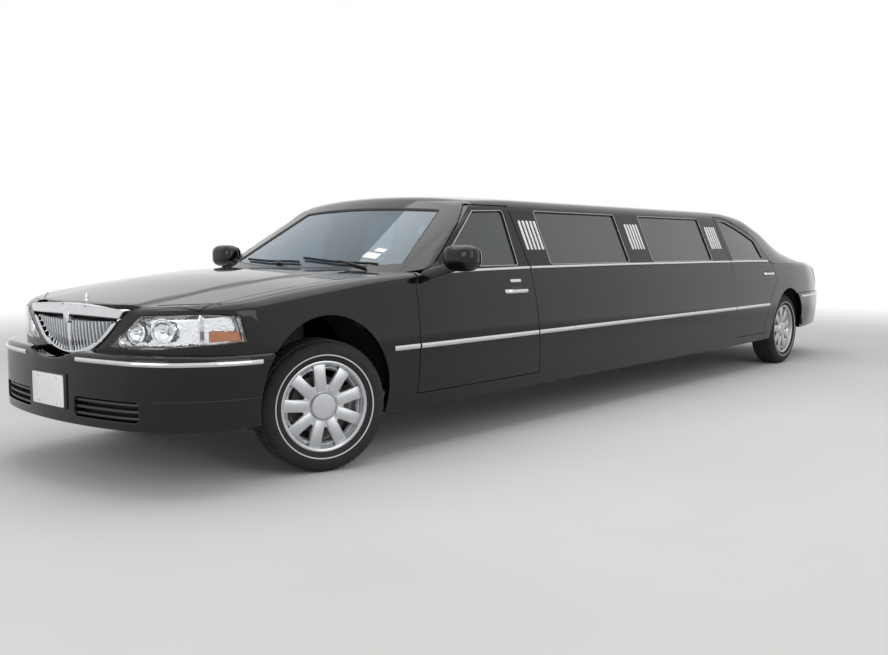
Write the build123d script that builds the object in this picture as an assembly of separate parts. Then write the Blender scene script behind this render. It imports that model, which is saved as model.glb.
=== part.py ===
"""Stretch limousine: a full-size body-on-frame saloon lengthened between its front and rear doors.

The frame is +X forward, +Y to the left, +Z up, in millimetres. The origin is on the ground, under the middle of
the overall length. The front wheels are turned to the right, as the car was parked. Places called "ahead" are
measured forward from the front axle, and places called "behind" backward from the rear axle, so that the
wheelbase can change by itself.
"""

from build123d import *
import os
from math import cos, hypot, radians, sin

os.makedirs("parts", exist_ok=True)

# Overall size, wheels and tyres
WHEELBASE = 6038.0
FRONT_OVERHANG = 1065.0
REAR_OVERHANG = 1416.0
LENGTH = FRONT_OVERHANG + WHEELBASE + REAR_OVERHANG
FRONT_TRACK = 1610.0
REAR_TRACK = 1650.0
TYRE_RADIUS = 342.0
RIM_RADIUS = 222.0
RIM_WIDTH = 190.0
STEER_AT_REST = 20.0  # degrees to the right
KINGPIN_INSET = 66.0  # from the front wheel's middle plane to the kingpin

FRONT_AXLE_X = LENGTH / 2 - FRONT_OVERHANG
REAR_AXLE_X = FRONT_AXLE_X - WHEELBASE

# Gaps
SHUT_GAP = 7.0  # round a door, bonnet or boot lid
SEAT_GAP = 0.3  # between fixed pieces that meet

# Body
BODY_HALF = 985.0
BELT_HALF = 938.0
BELT_Z = 1020.0
ROOF_Z = 1499.0
SILL_Z = 265.0
DOOR_SILL_Z = 345.0
WALL = 34.0  # outer panels and lids
ROOF_WALL = 42.0  # roof, pillars and door frames
CABIN_HALF = 812.0  # inside face of the stretched side walls
DOOR_INNER_HALF = 820.0  # inside face of the doors
GLASS = 6.0
GLASS_INSET = 8.0  # of the glass behind the outer skin
ROOF_SPLIT_Z = 1408.0  # where the stretched side walls meet the roof

FAR = 3000.0  # longer than any piece is wide


def ahead(distance):
    """Station this far in front of the front axle."""
    return FRONT_AXLE_X + distance


def behind(distance):
    """Station this far behind the rear axle."""
    return REAR_AXLE_X - distance


# Cross-sections below the belt. Columns: station, bottom z, bottom y, widest y, widest z, shoulder y,
# shoulder z, crown z, shoulder radius.
MIDDLE_SECTION = (SILL_Z, 940, BODY_HALF, 600, BELT_HALF, BELT_Z, BELT_Z + 6, 6)
FRONT_SECTIONS = (
    (ahead(FRONT_OVERHANG + 95), 262, 905, 942, 520, 912, 790, 816, 60),
    (ahead(FRONT_OVERHANG - 365), 262, 918, 954, 550, 918, 872, 903, 70),
    (ahead(100), 264, 930, 962, 590, 920, 952, 993, 70),
    (ahead(-420), 265, 936, 972, 596, 928, 1000, 1023, 50),
    (ahead(-900), 265, 940, 983, 600, 937, 1016, 1027, 10),
    (ahead(-1800),) + MIDDLE_SECTION,
)
REAR_SECTIONS = (
    (behind(-1400),) + MIDDLE_SECTION,
    (behind(-500), 275, 936, 982, 604, 932, BELT_Z, 1027, 20),
    (behind(0), 290, 926, 974, 610, 918, 1014, 1028, 50),
    (behind(560), 300, 890, 945, 620, 884, 1000, 1022, 70),
    (behind(REAR_OVERHANG - 356), 300, 800, 852, 620, 790, 968, 1000, 70),
    (behind(REAR_OVERHANG + 84), 300, 680, 722, 620, 668, 920, 960, 70),
)

# Cross-sections above the belt. Columns: station, base y, rail y, rail z, crown z, rail radius.
CABIN_BASE_Z = 1014.0
CABIN_MIDDLE = (941, 752, 1450, ROOF_Z, 105)
CABIN_SECTIONS_FRONT = (
    (ahead(-200), 925, 800, 1310, 1352, 80),
    (ahead(-760), 934, 768, 1392, 1430, 96),
    (ahead(-1220), 940, 755, 1432, 1475, 104),
    (ahead(-1800),) + CABIN_MIDDLE,
)
CABIN_SECTIONS_REAR = (
    (behind(-1400),) + CABIN_MIDDLE,
    (behind(-1150), 941, 752, 1448, 1496, 105),
    (behind(-760), 940, 752, 1418, 1466, 105),
    (behind(-320), 928, 745, 1318, 1362, 105),
    (behind(130), 895, 735, 1150, 1190, 90),
    (behind(620), 830, 720, 1020, 1040, 10),
)


def section_plane(x):
    """A plane across the car, with its own x to the left and its own y up."""
    return Plane(origin=(x, 0, 0), x_dir=(0, 1, 0), z_dir=(1, 0, 0))


def side_plane(y=0.0):
    """A plane along the car, with its own x forward and its own y up."""
    return Plane(origin=(0, y, 0), x_dir=(1, 0, 0), z_dir=(0, -1, 0))


def lower_section(x, bottom_z, bottom_y, wide_y, wide_z, shoulder_y, shoulder_z, crown_z, radius):
    """One closed section of the lower body: flat bottom, bowed sides, rounded shoulders, crowned top."""
    outline = Curve() + [
        Line((-bottom_y, bottom_z), (bottom_y, bottom_z)),
        ThreePointArc((bottom_y, bottom_z), (wide_y, wide_z), (shoulder_y, shoulder_z)),
        ThreePointArc((shoulder_y, shoulder_z), (0, crown_z), (-shoulder_y, shoulder_z)),
        ThreePointArc((-shoulder_y, shoulder_z), (-wide_y, wide_z), (-bottom_y, bottom_z)),
    ]
    face = make_face(outline)
    shoulders = face.vertices().group_by(Axis.Y)[-1]
    return section_plane(x) * fillet(shoulders, radius)


def lower_inside(x, bottom_z, bottom_y, wide_y, wide_z, shoulder_y, shoulder_z, crown_z, radius, wall):
    """The section inside a wall of the lower body, open below."""
    deep = bottom_z - 2 * wall
    return lower_section(x, deep, bottom_y - wall, wide_y - wall, wide_z, shoulder_y - wall,
                         shoulder_z - wall, crown_z - wall, max(radius - wall / 2, 5))


def cabin_section(x, base_y, rail_y, rail_z, crown_z, radius, inset=0.0):
    """One closed section of the cabin: leaning sides, rounded rails, crowned roof, or that much inside it."""
    base_y, rail_y, rail_z, crown_z = base_y - inset, rail_y - inset, rail_z - inset, crown_z - inset
    base_z = CABIN_BASE_Z - (60 if inset else 0)
    radius = max(radius - inset, 8)
    outline = Curve() + [
        Line((-base_y, base_z), (base_y, base_z)),
        Line((base_y, base_z), (rail_y, rail_z)),
        ThreePointArc((rail_y, rail_z), (0, crown_z), (-rail_y, rail_z)),
        Line((-rail_y, rail_z), (-base_y, base_z)),
    ]
    face = make_face(outline)
    rails = face.vertices().group_by(Axis.Y)[-1]
    return section_plane(x) * fillet(rails, radius)


def through(sections):
    """The solid through a run of sections."""
    return loft(Sketch() + sections, ruled=True)


def block(x_from, x_to, y_from, y_to, z_from, z_to):
    """A box between two corners."""
    size = (abs(x_to - x_from), abs(y_to - y_from), abs(z_to - z_from))
    middle = ((x_from + x_to) / 2, (y_from + y_to) / 2, (z_from + z_to) / 2)
    return Pos(*middle) * Box(*size)


def right(piece):
    """The right-hand twin of a left-hand piece."""
    return mirror(piece, about=Plane.XZ)


def largest(piece):
    """The largest solid of a piece."""
    return max(piece.solids(), key=lambda solid: solid.volume)


def both(piece):
    """A left-hand piece with its right-hand twin, as one node."""
    return Compound(children=list(piece.solids()) + list(right(piece).solids()))


def side_prism(face, y_from, y_to):
    """A prism across the car of a side-view face."""
    return extrude(side_plane(y_from) * face, y_to - y_from, dir=(0, 1, 0))


def plan_prism(face, z_from, z_to):
    """An upright prism of a plan face."""
    return extrude(Pos(0, 0, z_from) * face, z_to - z_from, dir=(0, 0, 1))


def front_prism(face, x_from, x_to):
    """A prism along the car of a front-view face."""
    return extrude(section_plane(x_from) * face, x_to - x_from, dir=(1, 0, 0))


# Plan outline of nose and tail
NOSE_SETBACK = 120.0  # of the grille and lamps behind the bumper's face
FRONT_FACE_RADIUS = 2400.0
FRONT_FACE_TURN = 13.25  # degrees, from the middle of the nose to where the corner begins
FRONT_CORNER_RADIUS = 520.0
FRONT_CORNER_TURN = 68.0
TAIL_SETBACK = 62.0  # of the boot lid behind the rear bumper's face
TAIL_FACE_HALF = 590.0
TAIL_FACE_TURN = 6.0
TAIL_CORNER_RADIUS = 250.0
TAIL_CORNER_TURN = 57.0


def plan_outline(inset_front, inset_side, inset_tail):
    """The car's plan outline between its ends, open past the flanks: crowned nose, crowned tail, round corners."""
    nose = JernArc((LENGTH / 2 - inset_front, 0), (0, 1), FRONT_FACE_RADIUS, FRONT_FACE_TURN)
    corner = JernArc(nose @ 1, nose % 1, FRONT_CORNER_RADIUS - inset_side, FRONT_CORNER_TURN)
    flare = Line(corner @ 1, corner @ 1 + corner % 1 * FAR)
    tail_half = TAIL_FACE_HALF
    tail_radius = tail_half / sin(radians(TAIL_FACE_TURN))
    tail = JernArc((-LENGTH / 2 + inset_tail, 0), (0, 1), tail_radius, -TAIL_FACE_TURN)
    rear_corner = JernArc(tail @ 1, tail % 1, TAIL_CORNER_RADIUS - inset_side, -TAIL_CORNER_TURN)
    rear_flare = Line(rear_corner @ 1, rear_corner @ 1 + rear_corner % 1 * FAR)
    bridge = Line(flare @ 1, rear_flare @ 1)
    half = Curve() + [nose, corner, flare, bridge, rear_flare, rear_corner, tail]
    return make_face(half + mirror(half, about=Plane.XZ))


# Side-view outlines. Front door and its glass are measured ahead, rear door and its glass behind.
FRONT_DOOR = [(-580, DOOR_SILL_Z), (-580, 940), (-602, 1000), (-750, 1042), (-1262, 1412), (-1640, 1412),
              (-1664, 1010), (-1702, 635), (-1745, DOOR_SILL_Z)]
FRONT_WINDOW = [(-806, 1040), (-1266, 1376), (-1572, 1386), (-1548, 1040)]
REAR_DOOR_FRONT = [(-1228, DOOR_SILL_Z), (-1288, 635), (-1328, 1010), (-1352, 1412), (-1180, 1410)]
REAR_DOOR_TOP = [(-1180, 1410), (-860, 1332), (-560, 1222)]
REAR_DOOR_BACK = [(-560, 1222), (-470, 1090), (-318, 838)]
REAR_DOOR_ELBOW = (-528, 596)  # on the arc round the wheel arch
REAR_DOOR_FOOT = (-590, DOOR_SILL_Z)
REAR_WINDOW_FRONT = [(-578, 1040), (-1258, 1040), (-1278, 1386), (-1168, 1382)]
REAR_WINDOW_TOP = [(-1168, 1382), (-870, 1299), (-622, 1206)]
STRETCH_WINDOWS = [(-2950, -1915), (-4355, -3310)]
STRETCH_WINDOW_Z = (1040, 1392)
WINDOW_CORNER = 24.0
DOOR_CORNER = 40.0

FRONT_ARCH = (80, 385, 430)  # ahead, z, radius
REAR_ARCH = (0, 345, 405)  # behind, z, radius
ARCH_DEPTH = 560.0  # the arches are open from here outward
BUMPER_TOP_Z = 655.0
BUMPER_BOTTOM_Z = 312.0
BUMPER_WALL = 60.0
REAR_BUMPER_TOP_Z = 690.0
REAR_BUMPER_BOTTOM_Z = 330.0


def along(points, station):
    """Side-view points with their distances turned into stations."""
    return [(station(x), z) for x, z in points]


def front_door_face():
    """Side-view outline of the front door."""
    face = make_face(Polyline(*along(FRONT_DOOR, ahead), close=True))
    top = face.vertices().group_by(Axis.Y)[-1]
    return fillet(top, DOOR_CORNER)


def front_window_face():
    """Side-view outline of the front door's glass."""
    face = make_face(Polyline(*along(FRONT_WINDOW, ahead), close=True))
    return fillet(face.vertices(), WINDOW_CORNER)


def rear_door_face():
    """Side-view outline of the rear door, its back edge round the wheel arch."""
    front, top, back = (along(p, behind) for p in (REAR_DOOR_FRONT, REAR_DOOR_TOP, REAR_DOOR_BACK))
    elbow, foot = along([REAR_DOOR_ELBOW, REAR_DOOR_FOOT], behind)
    return make_face(Curve() + [
        Polyline(*front),
        ThreePointArc(*top),
        Polyline(*back),
        ThreePointArc(back[-1], elbow, foot),
        Line(foot, front[0]),
    ])


def rear_window_face():
    """Side-view outline of the rear door's glass."""
    front, top = along(REAR_WINDOW_FRONT, behind), along(REAR_WINDOW_TOP, behind)
    face = make_face(Curve() + [Polyline(*front), ThreePointArc(*top), Line(top[-1], front[0])])
    return fillet(face.vertices().group_by(Axis.Y)[0], WINDOW_CORNER)


def stretch_window_faces():
    """Side-view outlines of the two stretched side windows."""
    low, high = STRETCH_WINDOW_Z
    faces = []
    for back, front in STRETCH_WINDOWS:
        middle = ((ahead(back) + ahead(front)) / 2, (low + high) / 2)
        faces.append(Pos(*middle) * RectangleRounded(front - back, high - low, WINDOW_CORNER))
    return faces


def grown(face, amount):
    """A face with its edge moved outward, or inward when negative."""
    return offset(face, amount, kind=Kind.INTERSECTION)


# Bonnet, measured ahead: at the corners, at the middle, half width
BONNET_FRONT = (FRONT_OVERHANG - 335, FRONT_OVERHANG - 160, 790)
BONNET_REAR = (-520, -390, 822)
BONNET_LOWER_Z = 800.0
# Boot lid, measured behind
BOOT_FRONT = (655, 700, 640)
BOOT_CORNER_HALF = 540.0
BOOT_LOWER_Z = 700.0


def bonnet_face():
    """Plan outline of the bonnet."""
    corner_x, middle_x, half = BONNET_FRONT
    rear_x, rear_middle_x, rear_half = BONNET_REAR
    return make_face(Curve() + [
        ThreePointArc((ahead(corner_x), -half), (ahead(middle_x), 0), (ahead(corner_x), half)),
        Line((ahead(corner_x), half), (ahead(rear_x), rear_half)),
        ThreePointArc((ahead(rear_x), rear_half), (ahead(rear_middle_x), 0), (ahead(rear_x), -rear_half)),
        Line((ahead(rear_x), -rear_half), (ahead(corner_x), -half)),
    ])


def boot_face():
    """Plan outline of the boot lid, running out past the tail."""
    corner_x, middle_x, half = BOOT_FRONT
    past_tail = -LENGTH / 2 - 50
    return make_face(Curve() + [
        ThreePointArc((behind(corner_x), half), (behind(middle_x), 0), (behind(corner_x), -half)),
        Polyline((behind(corner_x), -half), (past_tail, -BOOT_CORNER_HALF), (past_tail, BOOT_CORNER_HALF),
                 (behind(corner_x), half)),
    ])


# Front-view outlines: y and z
GRILLE_BOTTOM = [(-215, 657), (0, 617), (215, 657)]
GRILLE_SIDE = [(215, 657), (350, 745), (455, 858)]
GRILLE_TOP_Z = 878.0
GRILLE_RIM = 26.0
GRILLE_TOP_BAR = 40.0
GRILLE_DEPTH = 70.0
GRILLE_BARS = 18
GRILLE_BAR_WIDTH = 13.0
LAMP = [(318, 676), (548, 834), (800, 846), (1000, 836), (1000, 722), (700, 690)]
LAMP_REAR = [(FRONT_OVERHANG - 465, 900), (FRONT_OVERHANG - 530, 600)]  # ahead and z, of its rear edge seen from the side
LAMP_DEPTH = 70.0
TAIL_LAMP_Z = (722, 935)
TAIL_LAMP_FRONT = REAR_OVERHANG - 311  # behind
TAIL_LAMP_HALF = 556.0  # its inner end


def grille_face():
    """Front-view outline of the grille: a crowned top over a bowl."""
    left_top, right_top = GRILLE_SIDE[-1], (-GRILLE_SIDE[-1][0], GRILLE_SIDE[-1][1])
    return make_face(Curve() + [
        ThreePointArc(*GRILLE_BOTTOM),
        ThreePointArc(*GRILLE_SIDE),
        ThreePointArc(left_top, (0, GRILLE_TOP_Z), right_top),
        ThreePointArc(*[(-y, z) for y, z in reversed(GRILLE_SIDE)]),
    ])


def lamp_face():
    """Front-view outline of a headlamp."""
    face = make_face(Polyline(*LAMP, close=True))
    return fillet(face.vertices(), 14)


# Closed shapes that the panels are cut from
def lower_run(sections, wall=0.0):
    """The lower body through its sections, or the space inside its wall."""
    if wall:
        return through([lower_inside(*row, wall) for row in sections])
    return through([lower_section(*row) for row in sections])


def cabin_run(sections, inset=0.0):
    """The cabin through its sections, or that much inside it."""
    return through([cabin_section(*row, inset) for row in sections])


def straight_run(face):
    """A section drawn straight through the stretch."""
    return extrude(face, REAR_SECTIONS[0][0] - FRONT_SECTIONS[-1][0])


# The windscreen lies on a big cylinder whose axis leans with the glass
SCREEN_RAKE = 30.5  # degrees from level
SCREEN_BASE = (-485, 1030)  # ahead and z of its lower edge, on the middle plane
SCREEN_RADIUS = 4300.0
SCREEN_LOW = (165, 0, 768)  # along the glass: lower corners, lower middle, half width
SCREEN_HIGH = (770, 735, 612)

lean = radians(SCREEN_RAKE)
screen_plane = Plane(origin=(ahead(SCREEN_BASE[0]), 0, SCREEN_BASE[1]), x_dir=(0, 1, 0),
                     z_dir=(sin(lean), 0, cos(lean)))


def screen_cylinder(inset):
    """The windscreen's cylinder, or that much inside it, long enough to pass through the cabin."""
    start = screen_plane.from_local_coords((0, -FAR, -SCREEN_RADIUS))
    axis_plane = Plane(origin=start, z_dir=screen_plane.y_dir)
    return extrude(axis_plane * Circle(SCREEN_RADIUS - inset), 2 * FAR)


def screen_face(inset=0.0):
    """The windscreen's outline in its own leaning plane, or that much inside it."""
    low, low_middle, low_half = SCREEN_LOW[0] + inset, SCREEN_LOW[1] + inset, SCREEN_LOW[2] - inset
    high, high_middle, high_half = (value - inset for value in SCREEN_HIGH)
    return make_face(Curve() + [
        ThreePointArc((-low_half, low), (0, low_middle), (low_half, low)),
        Line((low_half, low), (high_half, high)),
        ThreePointArc((high_half, high), (0, high_middle), (-high_half, high)),
        Line((-high_half, high), (-low_half, low)),
    ])


BACKLIGHT = (-190, 600, 570, 655)  # behind, at its upper edge and lower edge, each with its half width


def backlight_face():
    """The rear window's outline in plan."""
    high, high_half, low, low_half = BACKLIGHT
    return make_face(Polyline((behind(high), high_half), (behind(low), low_half), (behind(low), -low_half),
                              (behind(high), -high_half), close=True))


def cabin_shape(inset=0.0):
    """The whole cabin, or that much inside it: windscreen, straight run and rear window."""
    front = cabin_run(CABIN_SECTIONS_FRONT, inset) & screen_cylinder(inset)
    return front + straight_run(cabin_section(*CABIN_SECTIONS_FRONT[-1], inset)) + cabin_run(CABIN_SECTIONS_REAR, inset)


body_plan = plan_prism(plan_outline(NOSE_SETBACK, 0, TAIL_SETBACK), 0, FAR)
inner_plan = plan_prism(plan_outline(NOSE_SETBACK + WALL, WALL, TAIL_SETBACK + WALL), -FAR, FAR)

nose = lower_run(FRONT_SECTIONS) & body_plan
nose_inside = lower_run(FRONT_SECTIONS, WALL) & inner_plan
tail = lower_run(REAR_SECTIONS) & body_plan
tail_inside = lower_run(REAR_SECTIONS, WALL) & inner_plan
middle = straight_run(lower_section(*FRONT_SECTIONS[-1]))
cabin = cabin_shape()
cabin_inside = cabin_shape(ROOF_WALL)
cabin_shell = cabin - cabin_inside
glass_layer = cabin_shape(GLASS_INSET) - cabin_shape(GLASS_INSET + GLASS)

WIDE = 2 * FAR
LEFT = block(-WIDE, WIDE, 0, FAR, -FAR, FAR)
front_door_hole = side_prism(grown(front_door_face(), SHUT_GAP), 0, FAR)
rear_door_hole = side_prism(grown(rear_door_face(), SHUT_GAP), 0, FAR)
outboard = block(-WIDE, WIDE, DOOR_INNER_HALF, FAR, -FAR, FAR)
wall_side = block(-WIDE, WIDE, CABIN_HALF, FAR, -FAR, FAR)
bonnet_hole = plan_prism(grown(bonnet_face(), SHUT_GAP), BONNET_LOWER_Z, FAR)
boot_hole = plan_prism(grown(boot_face(), SHUT_GAP), 0, FAR)


HINGE_Y = (925, 960)  # of the door hinges' fixed plates
HINGE_HEIGHTS = [(430, 510), (770, 850)]
BONNET_HINGE = (690, 750, 978, 1000)  # y, y, z, z
BOOT_HINGE = (470, 530, 978, 1000)


def gap_ring(face):
    """A side-view or plan face that fills the shut gap round a moving piece's outline, up to a seating gap."""
    return grown(face, SHUT_GAP) - grown(face, SEAT_GAP)


def door_hinge_plates(face, x_from, x_to):
    """The fixed plates of a left-hand door's hinges, in the shut gap along its front edge."""
    ring = side_prism(gap_ring(face), *HINGE_Y)
    low, high = (ring & block(x_from, x_to, 0, FAR, *z) for z in HINGE_HEIGHTS)
    return low + high


def arch_cut(x, z, radius):
    """What a left wheel arch takes from the body."""
    return Pos(x, (ARCH_DEPTH + FAR) / 2, z) * Rot(90, 0, 0) * Cylinder(radius, FAR - ARCH_DEPTH)


front_arch = arch_cut(ahead(FRONT_ARCH[0]), *FRONT_ARCH[1:])
rear_arch = arch_cut(behind(REAR_ARCH[0]), *REAR_ARCH[1:])
parts = {}


# Doors, their glass and the mirrors
FRONT_HINGE = (-580, 976)  # ahead and y of the front door's upright hinge axis
REAR_HINGE = (-1310, 985)  # behind and y
# A door's edge away from its hinge, on the outer skin: station, z, y
FRONT_DOOR_EDGE = [(-1745, 300, 954), (-1745, 345, 954), (-1702, 635, 985), (-1664, 1010, 940), (-1640, 1412, 768),
                   (-1640, 1460, 768)]
REAR_DOOR_EDGE_LOW = [(-590, 345, 953), (-528, 596, 984), (-318, 838, 965)]
REAR_DOOR_EDGE = [(-318, 838, 965), (-428, 1030, 925), (-470, 1090, 889), (-560, 1222, 826)]
REAR_DOOR_EDGE_TOP = [(-560, 1222, 826), (-860, 1332, 795), (-1180, 1410, 768)]


def reach(points, station, hinge):
    """Distance from a hinge axis and height of points on a door's edge."""
    return [(hypot(station(x) - station(hinge[0]), y - hinge[1]), z) for x, z, y in points]


def front_door_sweep():
    """All that the front door may fill so that its edge swings clear of the pillar behind it."""
    edge = reach(FRONT_DOOR_EDGE, ahead, FRONT_HINGE)
    profile = make_face(Polyline((0, edge[0][1]), *edge, (0, edge[-1][1]), close=True))
    turned = revolve(side_plane() * profile, Axis.Z)
    return Pos(ahead(FRONT_HINGE[0]), FRONT_HINGE[1], 0) * turned


def rear_door_sweep():
    """All that the rear door may fill so that its edge swings clear of the quarter panel behind it."""
    tables = (REAR_DOOR_EDGE_LOW, REAR_DOOR_EDGE, REAR_DOOR_EDGE_TOP)
    low, edge, top = (reach(points, behind, REAR_HINGE) for points in tables)
    high_z = top[-1][1] + 50
    profile = make_face(Curve() + [
        Polyline((0, 0), (low[0][0], 0), low[0]),
        ThreePointArc(*low),
        Polyline(*edge),
        ThreePointArc(*top),
        Polyline(top[-1], (top[-1][0], high_z), (0, high_z), (0, 0)),
    ])
    turned = revolve(side_plane() * profile, Axis.Z)
    return Pos(behind(REAR_HINGE[0]), REAR_HINGE[1], 0) * turned


def door(lower, outline, window, sweep):
    """A left-hand door: as thick as the wall below the belt, with a window frame above it."""
    prism = side_prism(outline, 300, FAR)
    return ((lower & prism & outboard) + (cabin_shell & prism) - side_prism(window, 300, FAR)) & sweep


def door_glass(window):
    """A left-hand door's glass, seated in its frame."""
    return glass_layer & side_prism(grown(window, -SEAT_GAP), 300, FAR)


MIRROR_SIZE = (125, 225, 150)
MIRROR_AT = (-800, 1082, 1092)
MIRROR_ROUND = 42.0
MIRROR_FOOT = [(-640, 905), (-720, 895), (-800, 1010), (-830, 1110), (-760, 1110), (-640, 1000)]
MIRROR_FOOT_HALF = (900, 1010)


def mirror_housing():
    """A left-hand mirror: a rounded housing on a foot that sits on the door's front corner."""
    shell = Box(*MIRROR_SIZE)
    shell = fillet(shell.edges().filter_by(Axis.X), MIRROR_ROUND)
    shell = chamfer(shell.faces().sort_by(Axis.X)[-1].edges(), MIRROR_ROUND / 2)
    shell = Pos(ahead(MIRROR_AT[0]), *MIRROR_AT[1:]) * shell
    foot = side_prism(make_face(Polyline(*along(MIRROR_FOOT, ahead), close=True)), *MIRROR_FOOT_HALF)
    return shell + ((foot & side_prism(front_door_face(), 0, FAR)) - nose - cabin)


front_door = door(nose, front_door_face(), front_window_face(), front_door_sweep())
rear_door = door(tail, rear_door_face(), rear_window_face(), rear_door_sweep())
for side, turned in (("left", lambda piece: piece), ("right", right)):
    parts["front_door_" + side] = turned(front_door)
    parts["rear_door_" + side] = turned(rear_door)
    parts["front_door_glass_" + side] = turned(door_glass(front_window_face()))
    parts["rear_door_glass_" + side] = turned(door_glass(rear_window_face()))
    parts["mirror_" + side] = turned(mirror_housing())

# Side walls of the stretch, with the sills below the doors
FRONT_PILLAR = (-1800, -1600)  # ahead
REAR_PILLAR = (-1400, -1240)  # behind
SILL_FRONT = -573.0  # ahead
SILL_REAR = -575.0  # behind

front_foot = block(ahead(FRONT_PILLAR[0]), ahead(SILL_FRONT), CABIN_HALF, FAR, 0, DOOR_SILL_Z - SHUT_GAP)
front_foot += block(*[ahead(x) for x in FRONT_PILLAR], CABIN_HALF, FAR, 0, FAR)
rear_foot = block(behind(REAR_PILLAR[0]), behind(SILL_REAR), CABIN_HALF, FAR, 0, DOOR_SILL_Z - SHUT_GAP)
rear_foot += block(*[behind(x) for x in REAR_PILLAR], CABIN_HALF, FAR, 0, FAR)
upper_zone = block(ahead(FRONT_PILLAR[1]), behind(REAR_PILLAR[1]), 0, FAR, 0, ROOF_SPLIT_Z)
side_wall = (nose & front_foot) + (middle & wall_side) + (tail & rear_foot) + (cabin_shell & upper_zone)
side_wall -= front_door_hole
side_wall -= rear_door_hole
for window in stretch_window_faces():
    side_wall -= side_prism(window, 300, FAR)
side_wall += door_hinge_plates(rear_door_face(), behind(-1340), behind(-1200))
parts["side_panels"] = both(side_wall)

# Roof with the windscreen and rear window pillars
screen_hole = extrude(screen_plane * screen_face(), 300, both=True)
roof = cabin_shell - screen_hole - plan_prism(backlight_face(), CABIN_BASE_Z, FAR)
for hole in (front_door_hole, rear_door_hole):
    roof = roof - hole - right(hole)
roof -= block(ahead(FRONT_PILLAR[1]), behind(REAR_PILLAR[1]), -FAR, FAR, 0, ROOF_SPLIT_Z + SEAT_GAP)
roof = roof - nose - tail
parts["roof_panel"] = largest(roof)

# Front wings, bonnet and the scuttle with its bulkhead
SCUTTLE_REAR = -760.0  # ahead, under the windscreen
WING_REAR = -588.0  # ahead, of its tip beside the windscreen pillar
WING_TIP_Z = 930.0
BULKHEAD = (-572, -540)  # ahead
BULKHEAD_HALF = 900.0
TUNNEL_HALF = 110.0
TUNNEL_Z = 470.0
TUNNEL_WALL = 20.0
FLOOR_Z = 345.0
FLOOR_THICK = 30.0

nose_shell = nose - nose_inside
lamp_side = make_face(Polyline((ahead(LAMP_REAR[0][0]), LAMP_REAR[0][1]), (ahead(LAMP_REAR[1][0]), LAMP_REAR[1][1]),
                               (LENGTH / 2, LAMP_REAR[1][1]), (LENGTH / 2, LAMP_REAR[0][1]), close=True))
lamp_inside = plan_prism(plan_outline(NOSE_SETBACK + LAMP_DEPTH, LAMP_DEPTH, TAIL_SETBACK), 0, FAR)
lamp_room = front_prism(lamp_face(), ahead(300), LENGTH / 2) & side_prism(lamp_side, 0, FAR)
lamp_hole = front_prism(grown(lamp_face(), SEAT_GAP), ahead(300), LENGTH / 2) \
    & side_prism(grown(lamp_side, SEAT_GAP), 0, FAR)
grille_hole = front_prism(grown(grille_face(), SEAT_GAP), ahead(600), LENGTH / 2)

wing = nose_shell & (block(ahead(SILL_FRONT), WIDE, 0, FAR, 0, FAR)
                     + block(ahead(WING_REAR), ahead(SILL_FRONT), BONNET_REAR[2] + SHUT_GAP, FAR, WING_TIP_Z, FAR))
wing -= front_door_hole
wing -= bonnet_hole
wing -= block(ahead(SCUTTLE_REAR), ahead(BONNET_REAR[1]), 0, BONNET_REAR[2] + SHUT_GAP, WING_TIP_Z, FAR)
wing -= front_arch
wing -= block(ahead(FRONT_ARCH[0]), WIDE, 0, FAR, 0, BUMPER_TOP_Z + SEAT_GAP)
wing -= grille_hole
wing -= lamp_hole
wing += door_hinge_plates(front_door_face(), ahead(-600), ahead(-560))
parts["front_wings"] = both(largest(wing))
bonnet = nose_shell & plan_prism(bonnet_face(), BONNET_LOWER_Z, FAR)
bonnet -= front_prism(grown(grille_face(), SHUT_GAP), ahead(600), LENGTH / 2)
lamp_clearance = front_prism(grown(lamp_face(), SHUT_GAP), ahead(300), LENGTH / 2) \
    & side_prism(grown(lamp_side, SHUT_GAP), 0, FAR)
parts["bonnet"] = largest(bonnet - lamp_clearance - right(lamp_clearance))
parts["headlamps"] = both((nose & lamp_room) - lamp_inside)

scuttle = nose_shell & block(ahead(SCUTTLE_REAR), ahead(BONNET_REAR[1]) + 30, -BONNET_REAR[2] - SHUT_GAP + SEAT_GAP,
                             BONNET_REAR[2] + SHUT_GAP - SEAT_GAP, WING_TIP_Z, FAR)
scuttle = scuttle - bonnet_hole - front_door_hole - right(front_door_hole)
scuttle -= screen_hole & (screen_cylinder(GLASS_INSET - SEAT_GAP) - screen_cylinder(GLASS_INSET + GLASS + SEAT_GAP))
bulkhead = nose_inside & block(*[ahead(x) for x in BULKHEAD], -BULKHEAD_HALF, BULKHEAD_HALF, FLOOR_Z, FAR)
bulkhead -= block(*[ahead(x) for x in BULKHEAD], -TUNNEL_HALF + TUNNEL_WALL, TUNNEL_HALF - TUNNEL_WALL,
                  0, TUNNEL_Z - TUNNEL_WALL)
hinge_y, hinge_far_y, hinge_z, hinge_high_z = BONNET_HINGE
hinge_ring = plan_prism(gap_ring(bonnet_face()), hinge_z, hinge_high_z)
for side in (-1, 1):
    scuttle += hinge_ring & block(ahead(-540), ahead(-300), side * hinge_y, side * hinge_far_y, 0, FAR)
parts["scuttle"] = largest(scuttle + bulkhead)

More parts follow.
